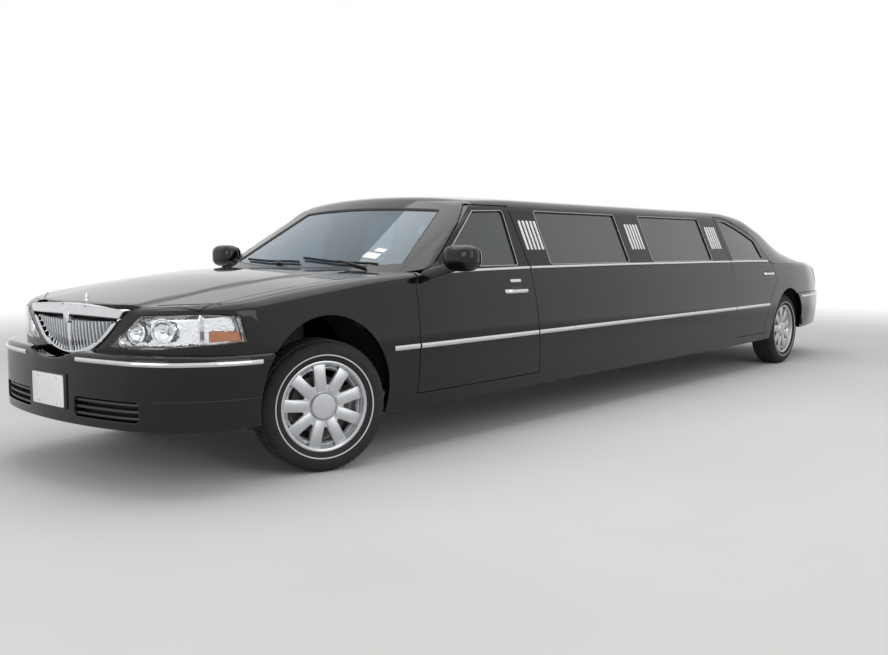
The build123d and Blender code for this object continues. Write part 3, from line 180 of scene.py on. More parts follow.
# Columns: station, bottom z, bottom y, widest y, widest z, shoulder y, shoulder z, crown z, shoulder radius
MIDDLE_ROW = (0.265, 0.940, 0.985, 0.600, 0.938, 1.020, 1.026, 0.006)
LOWER_TABLE = SizeTable((
    (ahead(FRONT_OVERHANG + 0.095), 0.262, 0.905, 0.942, 0.520, 0.912, 0.790, 0.816, 0.060),
    (ahead(FRONT_OVERHANG - 0.365), 0.262, 0.918, 0.954, 0.550, 0.918, 0.872, 0.903, 0.070),
    (ahead(0.100), 0.264, 0.930, 0.962, 0.590, 0.920, 0.952, 0.993, 0.070),
    (ahead(-0.420), 0.265, 0.936, 0.972, 0.596, 0.928, 1.000, 1.023, 0.050),
    (ahead(-0.900), 0.265, 0.940, 0.983, 0.600, 0.937, 1.016, 1.027, 0.010),
    (ahead(-1.800),) + MIDDLE_ROW,
    (behind(-1.400),) + MIDDLE_ROW,
    (behind(-0.500), 0.275, 0.936, 0.982, 0.604, 0.932, 1.020, 1.027, 0.020),
    (behind(0.0), 0.290, 0.926, 0.974, 0.610, 0.918, 1.014, 1.028, 0.050),
    (behind(0.560), 0.300, 0.890, 0.945, 0.620, 0.884, 1.000, 1.022, 0.070),
    (behind(REAR_OVERHANG - 0.356), 0.300, 0.800, 0.852, 0.620, 0.790, 0.968, 1.000, 0.070),
    (behind(REAR_OVERHANG + 0.084), 0.300, 0.680, 0.722, 0.620, 0.668, 0.920, 0.960, 0.070),
))
# Columns: station, base y, rail y, rail z, crown z, rail radius
CABIN_BASE_Z = 1.014
CABIN_MIDDLE = (0.941, 0.752, 1.450, 1.499, 0.105)
CABIN_TABLE = SizeTable((
    (ahead(-0.200), 0.925, 0.800, 1.310, 1.352, 0.080),
    (ahead(-0.760), 0.934, 0.768, 1.392, 1.430, 0.096),
    (ahead(-1.220), 0.940, 0.755, 1.432, 1.475, 0.104),
    (ahead(-1.800),) + CABIN_MIDDLE,
    (behind(-1.400),) + CABIN_MIDDLE,
    (behind(-1.150), 0.941, 0.752, 1.448, 1.496, 0.105),
    (behind(-0.760), 0.940, 0.752, 1.418, 1.466, 0.105),
    (behind(-0.320), 0.928, 0.745, 1.318, 1.362, 0.105),
    (behind(0.130), 0.895, 0.735, 1.150, 1.190, 0.090),
    (behind(0.620), 0.830, 0.720, 1.020, 1.040, 0.010),
))


class Shell:
    """A form with side walls and a top over them, as functions of the station. Its corner is rounded."""

    def wall_y(self, x: Points, z: Points) -> Points:
        """Half width at a station and a height."""
        raise NotImplementedError

    def top_z(self, x: Points, y: Points) -> Points:
        """Height of the top at a plan place."""
        raise NotImplementedError

    def rounding(self, x: Points) -> Points:
        """How far from the corner between wall and top its round begins."""
        raise NotImplementedError


BONNET_RISE = 0.009
CREASE_Y, CREASE_SPREAD, CREASE_SOFTNESS = 0.46, 0.09, 0.030


class LowerBody(Shell):
    """The body below the belt: bowed sides and a crowned top."""

    def wall_y(self, x: Points, z: Points) -> Points:
        """Half width at a station and a height, on the arc through bottom, widest place and shoulder."""
        t = LOWER_TABLE
        y1, z1, y2, z2, y3, z3 = t.at(2, x), t.at(1, x), t.at(3, x), t.at(4, x), t.at(5, x), t.at(6, x)
        det = 2 * (y1 * (z2 - z3) + y2 * (z3 - z1) + y3 * (z1 - z2))
        s1, s2, s3 = y1**2 + z1**2, y2**2 + z2**2, y3**2 + z3**2
        yc = (s1 * (z2 - z3) + s2 * (z3 - z1) + s3 * (z1 - z2)) / det
        zc = (s1 * (y3 - y2) + s2 * (y1 - y3) + s3 * (y2 - y1)) / det
        radius2 = (y2 - yc) ** 2 + (z2 - zc) ** 2
        return yc + np.sqrt(np.maximum(radius2 - (z - zc) ** 2, 1e-6))

    def top_z(self, x: Points, y: Points) -> Points:
        """Height of the crowned top, with the bonnet's raised middle."""
        t = LOWER_TABLE
        half, rise = t.at(5, x), t.at(7, x) - t.at(6, x)
        radius = (half**2 + rise**2) / (2 * rise)
        crown = t.at(7, x) - radius + np.sqrt(radius**2 - np.asarray(y) ** 2)
        crease = CREASE_Y + CREASE_SPREAD * (ahead(0.85) - x)
        fade = smooth_step(ahead(-0.52), ahead(-0.10), np.asarray(x, float)) * 0.7 + 0.3
        front = smooth_step(ahead(-0.60), ahead(-0.45), np.asarray(x, float))
        raised = smooth_step(CREASE_SOFTNESS, -CREASE_SOFTNESS, np.abs(y) - crease)
        return crown + BONNET_RISE * fade * front * raised

    def rounding(self, x: Points) -> Points:
        """The shoulder's round."""
        return np.maximum(0.8 * LOWER_TABLE.at(8, x), 0.004)


class Cabin(Shell):
    """The body above the belt: leaning sides and a crowned roof."""

    def wall_y(self, x: Points, z: Points) -> Points:
        """Half width at a station and a height, on the line from belt to rail."""
        t = CABIN_TABLE
        share = (z - CABIN_BASE_Z) / (t.at(3, x) - CABIN_BASE_Z)
        lean = share * (t.at(2, x) - t.at(1, x))
        return t.at(1, x) + np.where(z < CABIN_BASE_Z, np.minimum(lean, CABIN_BASE_Z - z), lean)

    def top_z(self, x: Points, y: Points) -> Points:
        """Height of the crowned roof."""
        t = CABIN_TABLE
        half, rise = t.at(2, x), t.at(4, x) - t.at(3, x)
        radius = (half**2 + rise**2) / (2 * rise)
        return t.at(4, x) - radius + np.sqrt(radius**2 - np.minimum(np.abs(y), half + 0.15) ** 2)

    def rounding(self, x: Points) -> Points:
        """The rail's round."""
        return 0.58 * CABIN_TABLE.at(5, x)


@dataclass(frozen=True)
class BumperShell(LowerBody):
    """A bumper: the body's side, pushed out a little, under a flat top."""

    height: float = 0.655
    push: float = 0.004

    def wall_y(self, x: Points, z: Points) -> Points:
        """Half width at a station and a height."""
        return super().wall_y(x, z) + self.push

    def top_z(self, x: Points, y: Points) -> Points:
        """The flat top's height."""
        return self.height + 0.0 * np.asarray(x) * np.asarray(y)

    def rounding(self, x: Points) -> Points:
        """The top edge's round."""
        return 0.016 + 0.0 * np.asarray(x)


ROUND_HANDLE = 0.57  # how far a corner's curve leans on its tangents


def rounded(v: Points, reach: Points) -> tuple[Points, Points]:
    """Places along a profile that runs up a wall, round a corner and in over a top.

    Args:
        v: distance along the profile from the corner, below 0 on the wall and above 0 on the top.
        reach: how far from the corner its round begins.

    Returns:
        How far inward of the wall each place is, and how far above the top.
    """
    t = np.clip((v + reach) / (2 * reach), 0, 1)
    inward = reach * (3 * (1 - t) * t**2 * (1 - ROUND_HANDLE) + t**3)
    above = -reach * ((1 - t) ** 3 + 3 * (1 - t) ** 2 * t * (1 - ROUND_HANDLE))
    return np.where(v > reach, v, inward), np.where(v < -reach, v, above)


@dataclass(frozen=True)
class PlanRing:
    """The car's plan outline on the left, from the middle of the nose to the middle of the tail.

    A place on it is a distance w along it. Each place has a ray that runs outward through it. Behind the rear
    window's foot all rays fan out from one point under the boot lid.
    """

    nose_x: float = NOSE_X - 0.120
    tail_x: float = TAIL_X + 0.062
    face_radius: float = 2.4
    face_turn: float = radians(13.25)
    corner_radius: float = 0.52
    corner_turn: float = radians(68)
    tail_half: float = 0.59
    tail_turn: float = radians(6)
    tail_corner: float = 0.25
    tail_corner_turn: float = radians(57)
    fan_x: float = behind(0.76)
    fan_scale: float = 0.72

    @property
    def nose_centre(self) -> Place:
        """Middle of the nose's arc."""
        return self.nose_x - self.face_radius, 0.0

    @property
    def corner_centre(self) -> Place:
        """Middle of the front corner's arc."""
        reach = self.face_radius - self.corner_radius
        return self.nose_centre[0] + reach * cos(self.face_turn), reach * sin(self.face_turn)

    @property
    def tail_radius(self) -> float:
        """Radius of the tail's arc."""
        return self.tail_half / sin(self.tail_turn)

    @property
    def tail_centre(self) -> Place:
        """Middle of the tail's arc."""
        return self.tail_x + self.tail_radius, 0.0

    @property
    def tail_corner_centre(self) -> Place:
        """Middle of the rear corner's arc."""
        reach = self.tail_radius - self.tail_corner
        return self.tail_centre[0] - reach * cos(self.tail_turn), reach * sin(self.tail_turn)

    @property
    def marks(self) -> tuple[float, float, float, float]:
        """Distances along the ring at which its nose, corner, flank and rear fan end."""
        nose = self.face_radius * self.face_turn
        corner = nose + self.corner_radius * (pi / 2 - self.face_turn)
        flank = corner + self.corner_centre[0] - self.fan_x
        return nose, corner, flank, flank + self.fan_scale * pi / 2

    def flares(self) -> tuple[Spot, Spot]:
        """The front and rear flares: x and y of the start, and the tangent of the lean from square on."""
        lean = self.face_turn + self.corner_turn
        front = (self.corner_centre[0] + self.corner_radius * cos(lean),
                 self.corner_centre[1] + self.corner_radius * sin(lean), tan(lean))
        lean = self.tail_turn + self.tail_corner_turn
        rear = (self.tail_corner_centre[0] - self.tail_corner * cos(lean),
                self.tail_corner_centre[1] + self.tail_corner * sin(lean), tan(lean))
        return front, rear

    def rays(self, w: Points) -> tuple[Points, Points, Points, Points]:
        """The rays at w: x and y of the start, direction in radians, and reach to the outline."""
        w = np.asarray(w, float)
        nose, corner, flank, _ = self.marks
        parts = [w < nose, w < corner, w <= flank]
        flank_x = self.corner_centre[0] - (w - corner)
        turn = self.face_turn + (w - nose) / self.corner_radius
        past = np.clip(turn - self.face_turn - self.corner_turn, 0, 0.5)
        fan_turn = pi / 2 + (w - flank) / self.fan_scale
        columns = (
            (self.nose_centre[0], self.corner_centre[0], flank_x, self.fan_x),
            (0.0, self.corner_centre[1], 0.0, 0.0),
            (w / self.face_radius, turn, pi / 2, fan_turn),
            (self.face_radius, self.corner_radius / np.cos(past), self.flank_reach(flank_x),
             self.fan_reach(fan_turn)),
        )
        pick = [np.select(parts, [v + 0.0 * w for v in values[:3]], values[3] + 0.0 * w)
                for values in columns]
        return pick[0], pick[1], pick[2], pick[3]

    def flank_reach(self, x: Points) -> Points:
        """Half width of the plan outline where it flares past the flanks."""
        (front_x, front_y, front_slope), (rear_x, rear_y, rear_slope) = self.flares()
        widths = front_y + (front_x - x) / front_slope, rear_y + (x - rear_x) / rear_slope
        return np.minimum(np.minimum(*widths), FAR)

    def fan_reach(self, turn: Points) -> Points:
        """Distance from the fan's middle to the plan outline in each direction."""
        turn = np.clip(turn, pi / 2, pi)
        unit = np.stack([np.cos(turn), np.sin(turn)])
        start = np.array([self.fan_x, 0.0])

        def to_circle(centre: Place, radius: float) -> Points:
            """Distance to the far side of a circle."""
            gap = start - np.array(centre)
            along = unit[0] * gap[0] + unit[1] * gap[1]
            return -along + np.sqrt(np.maximum(along**2 - gap @ gap + radius**2, 0))

        _, (flare_x, flare_y, slope) = self.flares()
        to_flare = (flare_y + (self.fan_x - flare_x) / slope) / np.maximum(unit[1] - unit[0] / slope, 0.05)
        tail_end = self.tail_centre[0] - self.tail_radius * cos(self.tail_turn), self.tail_half
        tail_from = pi - atan2(tail_end[1], self.fan_x - tail_end[0])
        flare_to = pi - atan2(flare_y, self.fan_x - flare_x)
        corner = to_circle(self.tail_corner_centre, self.tail_corner)
        tail = to_circle(self.tail_centre, self.tail_radius)
        return np.where(turn > tail_from, tail, np.where(turn > flare_to, corner, np.minimum(to_flare, FAR)))

    def w_at_x(self, x: Points) -> Points:
        """Distance along the ring at a flank's station."""
        return self.marks[1] + self.corner_centre[0] - x


@dataclass(frozen=True)
class Skin:
    """A smooth surface over part of the car, with two coordinates for its places.

    Attributes:
        place: turns arrays of the two coordinates into points.
        facing: 1 or -1, so that the normal points out of the car.
    """

    place: Callable[[Points, Points], Points]
    facing: int = 1

    def points_and_normals(self, a: Points, b: Points) -> tuple[Points, Points]:
        """Points and outward unit normals at coordinates a and b."""
        step = 0.0008
        da = self.place(a + step, b) - self.place(a - step, b)
        db = self.place(a, b + step) - self.place(a, b - step)
        normal = np.cross(da, db) * self.facing
        return self.place(a, b), normal / np.maximum(np.linalg.norm(normal, axis=1), 1e-12)[:, None]

    def locate(self, axes: tuple[int, int], targets: Points, start: Points) -> Points:
        """Coordinates of places that two of x, y and z name, found by Newton's steps.

        Args:
            axes: which two of x, y and z are given.
            targets: their values, one row for each place.
            start: a first guess of the coordinates.

        Returns:
            The coordinates, one row for each place.
        """
        spot, step, pair = np.array(start, float), 1e-4, list(axes)
        for _ in range(40):
            here = self.place(spot[:, 0], spot[:, 1])[:, pair]
            da = (self.place(spot[:, 0] + step, spot[:, 1])[:, pair] - here) / step
            db = (self.place(spot[:, 0], spot[:, 1] + step)[:, pair] - here) / step
            miss = targets - here
            det = da[:, 0] * db[:, 1] - da[:, 1] * db[:, 0]
            det = np.where(np.abs(det) < 1e-4, 1e-4, det)
            move = np.stack([miss[:, 0] * db[:, 1] - miss[:, 1] * db[:, 0],
                             da[:, 0] * miss[:, 1] - da[:, 1] * miss[:, 0]], 1) / det[:, None]
            spot += np.clip(move, -0.06, 0.06)
        return spot

    def find_b(self, a: Points, axis: int, target: Points, low: float, high: float) -> Points:
        """The second coordinate at which a point's x, y or z takes a value, between two bounds."""
        a, target = np.asarray(a, float), np.asarray(target, float)
        lows, highs = np.full(len(a), low), np.full(len(a), high)
        rising = self.place(a, highs)[:, axis] > self.place(a, lows)[:, axis]
        for _ in range(26):
            mid = (lows + highs) / 2
            below = (self.place(a, mid)[:, axis] < target) == rising
            lows, highs = np.where(below, mid, lows), np.where(below, highs, mid)
        return (lows + highs) / 2


CORNER_MEET = 0.016  # the round where the side walls meet the front and rear corners
STEPS_TO_SETTLE = 4  # how often a place on a skin is worked out again


def ring_skin(shell: Shell, ring: PlanRing, proud: float = PROUD) -> Skin:
    """The shell's left half inside a plan ring, over w along the ring and v along the profile."""

    def place(w: Points, v: Points) -> Points:
        """Points at w and v."""
        x0, y0, turn, plan_reach = ring.rays(w)
        unit_x, unit_y = np.cos(turn), np.sin(turn)
        reach = plan_reach.copy()
        x = x0 + unit_x * reach
        inward, above = rounded(v, shell.rounding(x))
        z = shell.top_z(x, y0 + unit_y * reach) + np.minimum(above, 0)
        for _ in range(STEPS_TO_SETTLE):
            side = np.where(unit_y > 0.2, (shell.wall_y(x, z) - y0) / np.maximum(unit_y, 0.2), FAR * 4)
            wall = soft_min(plan_reach, side, CORNER_MEET)
            reach = wall - inward
            x, y = x0 + unit_x * reach, y0 + unit_y * reach
            z = shell.top_z(x, y) + above
        outward = np.stack([unit_x, unit_y, 0 * z], 1) * proud
        lean = np.clip((v / np.maximum(shell.rounding(x), 1e-4) + 1) / 2, 0, 1)[:, None] * pi / 2
        lift = np.stack([0 * z, 0 * z, 0 * z + proud], 1)
        return np.stack([x, y, z], 1) + outward * np.cos(lean) + lift * np.sin(lean)

    return Skin(place)


SCREEN_LEAN = radians(30.5)
SCREEN_BASE = (ahead(-0.485), 1.030)
SCREEN_RADIUS = 4.3


def screen_z(x: Points, y: Points) -> Points:
    """Height of the windscreen's curved sheet over a plan place."""
    bow = SCREEN_RADIUS - np.sqrt(SCREEN_RADIUS**2 - np.minimum(np.abs(y), 1.2) ** 2)
    return SCREEN_BASE[1] + (SCREEN_BASE[0] - x) * tan(SCREEN_LEAN) - bow / cos(SCREEN_LEAN)


def screen_skin(proud: float) -> Skin:
    """The windscreen over its half width s and the distance a up along the glass."""

    def place(s: Points, a: Points) -> Points:
        """Points at s and a."""
        up = proud - SCREEN_RADIUS + np.sqrt(SCREEN_RADIUS**2 - s**2)
        x = SCREEN_BASE[0] - a * cos(SCREEN_LEAN) + up * sin(SCREEN_LEAN)
        return np.stack([x, s, SCREEN_BASE[1] + a * sin(SCREEN_LEAN) + up * cos(SCREEN_LEAN)], 1)

    return Skin(place)


def lid_skin(shell: Shell, ring: PlanRing, proud: float = PROUD) -> Skin:
    """The boot lid over y and s, which runs up the tail, round its edge and forward over the top."""

    def place(y: Points, s: Points) -> Points:
        """Points at y and s."""
        middle = ring.tail_centre[0] - np.sqrt(ring.tail_radius**2 - y**2)
        corner_x, corner_y = ring.tail_corner_centre
        corner = corner_x - np.sqrt(np.maximum(ring.tail_corner**2 - (np.abs(y) - corner_y) ** 2, 0))
        tail = np.where(np.abs(y) > ring.tail_half, corner, middle)
        inward, above = rounded(s, shell.rounding(tail))
        x = tail + inward
        lean = np.clip((s / shell.rounding(tail) + 1) / 2, 0, 1) * pi / 2
        return np.stack([x - proud * np.cos(lean), y, shell.top_z(x, y) + above + proud * np.sin(lean)], 1)

    return Skin(place, -1)


REAR_DROP = 0.035  # how far the roof's skin dips under the rear window's foot
SCREEN_MEET = 0.024  # the round where the roof's skin meets the windscreen's sheet


def roof_skin(shell: Shell, proud: float = PROUD) -> Skin:
    """The cabin over x and c, the distance from the middle line over the roof and down the sides."""

    def place(x: Points, c: Points) -> Points:
        """Points at x and c."""
        t = CABIN_TABLE
        half, reach = t.at(2, x), shell.rounding(x)
        v = half - np.abs(c)
        inward, above = rounded(v, reach)
        y = half - inward
        z = shell.top_z(x, y) + above
        for _ in range(STEPS_TO_SETTLE):
            y = shell.wall_y(x, z) - inward
            z = shell.top_z(x, y) + above
        lean = np.clip((v / reach + 1) / 2, 0, 1) * pi / 2
        blend = smooth_step(reach * 0.5, reach, v)
        z = z * (1 - blend) + shell.top_z(x, np.abs(c)) * blend
        y = y * (1 - blend) + np.abs(c) * blend
        z = soft_min(z, screen_z(x, y), SCREEN_MEET) - REAR_DROP * smooth_step(behind(0.45), behind(0.69), x)
        return np.stack([x, np.sign(c) * (y + proud * np.cos(lean)), z + proud * np.sin(lean)], 1)

    return Skin(place)


def plan_skin(shell: Shell, ring: PlanRing, proud: float = PROUD) -> Skin:
    """The shell's top over x and y, dropping away at the ring's nose."""

    def place(x: Points, y: Points) -> Points:
        """Points at x and y."""
        cx, cy = ring.corner_centre
        turn = np.arctan2(np.abs(y) - cy, x - cx)
        nose_gap = ring.face_radius - np.hypot(x - ring.nose_centre[0], y)
        corner_gap = ring.corner_radius - np.hypot(x - cx, np.abs(y) - cy)
        gap = np.where(turn < ring.face_turn, nose_gap, corner_gap)
        gap = np.where(x > cx, np.maximum(gap, 0.0), 1.0)
        reach = shell.rounding(x)
        table_v = np.linspace(-1, 1, 81)
        table_in, table_above = rounded(table_v, np.ones(81))
        drop = np.interp(gap / reach, table_in, table_above, right=0.0) * reach
        return np.stack([x, y, shell.top_z(x, y) + np.where(gap < reach, drop, 0.0) + proud], 1)

    return Skin(place)


def densified(loop: Line, spacing: float) -> Points:
    """A closed outline with points no further apart than a spacing."""
    points = np.array(loop, float)
    result = []
    for start, end in zip(points, np.roll(points, -1, 0)):
        steps = max(1, int(np.ceil(np.linalg.norm(end - start) / spacing)))
        result += [start + (end - start) * i / steps for i in range(steps)]
    return np.array(result)


def arc_through(start: tuple, middle: tuple, end: tuple, pieces: int = 12) -> Outline:
    """Points on the arc through three points, without the last."""
    (x1, y1), (x2, y2), (x3, y3) = start, middle, end
    det = 2 * (x1 * (y2 - y3) + x2 * (y3 - y1) + x3 * (y1 - y2))
    s1, s2, s3 = x1**2 + y1**2, x2**2 + y2**2, x3**2 + y3**2
    xc = (s1 * (y2 - y3) + s2 * (y3 - y1) + s3 * (y1 - y2)) / det
    yc = (s1 * (x3 - x2) + s2 * (x1 - x3) + s3 * (x2 - x1)) / det
    radius = sqrt((x1 - xc) ** 2 + (y1 - yc) ** 2)
    a1, a2, a3 = (atan2(y - yc, x - xc) for x, y in (start, middle, end))
    turn = (a3 - a1) % (2 * pi)
    if (a2 - a1) % (2 * pi) > turn:
        turn -= 2 * pi
    return [(xc + radius * cos(a1 + turn * i / pieces), yc + radius * sin(a1 + turn * i / pieces))
            for i in range(pieces)]


def corner_rounded(loop: Line, radius: float, pieces: int = 5) -> Outline:
    """A closed outline with each corner replaced by an arc of at most that radius."""
    points = np.array(loop, float)
    result: Outline = []
    for before, here, after in zip(np.roll(points, 1, 0), points, np.roll(points, -1, 0)):
        to_before, to_after = before - here, after - here
        lengths = np.linalg.norm(to_before), np.linalg.norm(to_after)
        to_before, to_after = to_before / lengths[0], to_after / lengths[1]
        half = np.arccos(np.clip(to_before @ to_after, -1, 1)) / 2
        trim = min(radius / max(tan(half), 1e-3), 0.45 * min(lengths))
        for i in range(pieces + 1):
            t = i / pieces
            spot = here + to_before * trim * (1 - t) ** 2 + to_after * trim * t**2
            result.append((float(spot[0]), float(spot[1])))
    return result


def inside(points: Points, loops: Sequence[Points]) -> Points:
    """Which points lie inside an outline with holes, by counting crossings."""
    result = np.zeros(len(points), bool)
    for loop in loops:
        for (x1, y1), (x2, y2) in zip(loop, np.roll(loop, -1, 0)):
            if y1 == y2:
                continue
            crosses = (points[:, 1] < max(y1, y2)) & (points[:, 1] >= min(y1, y2))
            at_x = x1 + (points[:, 1] - y1) * (x2 - x1) / (y2 - y1)
            result ^= crosses & (points[:, 0] < at_x)
    return result


def edge_distance(points: Points, loops: Sequence[Points], scale: Points) -> Points:
    """Distance of points from the nearest outline edge, in cells of that size."""
    best = np.full(len(points), np.inf)
    for loop in loops:
        starts, ends = loop / scale, np.roll(loop, -1, 0) / scale
        for start, end in zip(starts, ends):
            run = end - start
            share = np.clip((points / scale - start) @ run / max(run @ run, 1e-12), 0, 1)
            best = np.minimum(best, np.linalg.norm(points / scale - start - share[:, None] * run, axis=1))
    return best


@dataclass
class MeshParts:
    """Vertices and faces with a normal at each face corner, gathered before a mesh is made."""

    verts: list[Points] = field(default_factory=list)
    faces: list[tuple[int, ...]] = field(default_factory=list)
    normals: list[Points] = field(default_factory=list)
    count: int = 0

    def add_verts(self, points: Points) -> int:
        """Adds points and returns the index of the first."""
        self.verts.append(np.asarray(points, float))
        self.count += len(points)
        return self.count - len(points)

    def add_face(self, face: Sequence[int], normals: Sequence[Points]) -> None:
        """Adds a face with the normal at each of its corners."""
        self.faces.append(tuple(int(i) for i in face))
        self.normals += [np.asarray(n, float) for n in normals]

    def mirrored(self, weld: float = MIDDLE_GAP) -> "MeshParts":
        """This half and its twin across the car, welded along the middle line."""
        points = np.concatenate(self.verts)
        flip = np.array([1, -1, 1])
        middle = np.abs(points[:, 1]) < weld
        points[middle, 1] = 0.0
        twin = np.where(middle, np.arange(len(points)), np.arange(len(points)) + len(points))
        both = MeshParts([points, points * flip], list(self.faces), list(self.normals), 2 * len(points))
        start = 0
        for face in self.faces:
            corners = self.normals[start:start + len(face)]
            start += len(face)
            both.add_face([twin[i] for i in reversed(face)], [n * flip for n in reversed(corners)])
        return both

    def moved(self, origin: Sequence[float], axes: Axes) -> "MeshParts":
        """A copy whose own x, y and z run along the given axes from an origin."""
        matrix = np.array(axes, float)
        verts = [v @ matrix + np.array(origin) for v in self.verts]
        normals = [n @ matrix for n in self.normals]
        if np.linalg.det(matrix) > 0:
            return MeshParts(verts, list(self.faces), normals, self.count)
        made, start = MeshParts(verts, count=self.count), 0
        for face in self.faces:
            made.add_face(face[::-1], normals[start:start + len(face)][::-1])
            start += len(face)
        return made

    def to_object(self, name: str, material: Material, side: Side = Side.LEFT) -> Object:
        """Makes the mesh's object.

        Args:
            name: the piece's name.
            material: its finish.
            side: RIGHT turns a left-hand piece into its twin.

        Returns:
            The object, linked to the scene.
        """
        made = self if side is Side.LEFT else self.moved((0, 0, 0), TWIN_AXES)
        points, faces, normals = np.concatenate(made.verts), made.faces, made.normals
        used = np.unique(np.concatenate([np.array(f) for f in faces]))
        remap = np.full(len(points), -1)
        remap[used] = np.arange(len(used))
        mesh = bpy.data.meshes.new(name)
        mesh.from_pydata([tuple(p) for p in points[used]], [],
                         [tuple(int(remap[i]) for i in f) for f in faces])
        mesh.polygons.foreach_set("use_smooth", [True] * len(mesh.polygons))
        mesh.normals_split_custom_set([tuple(n) for n in normals])
        mesh.materials.append(material)
        return linked(name, mesh)


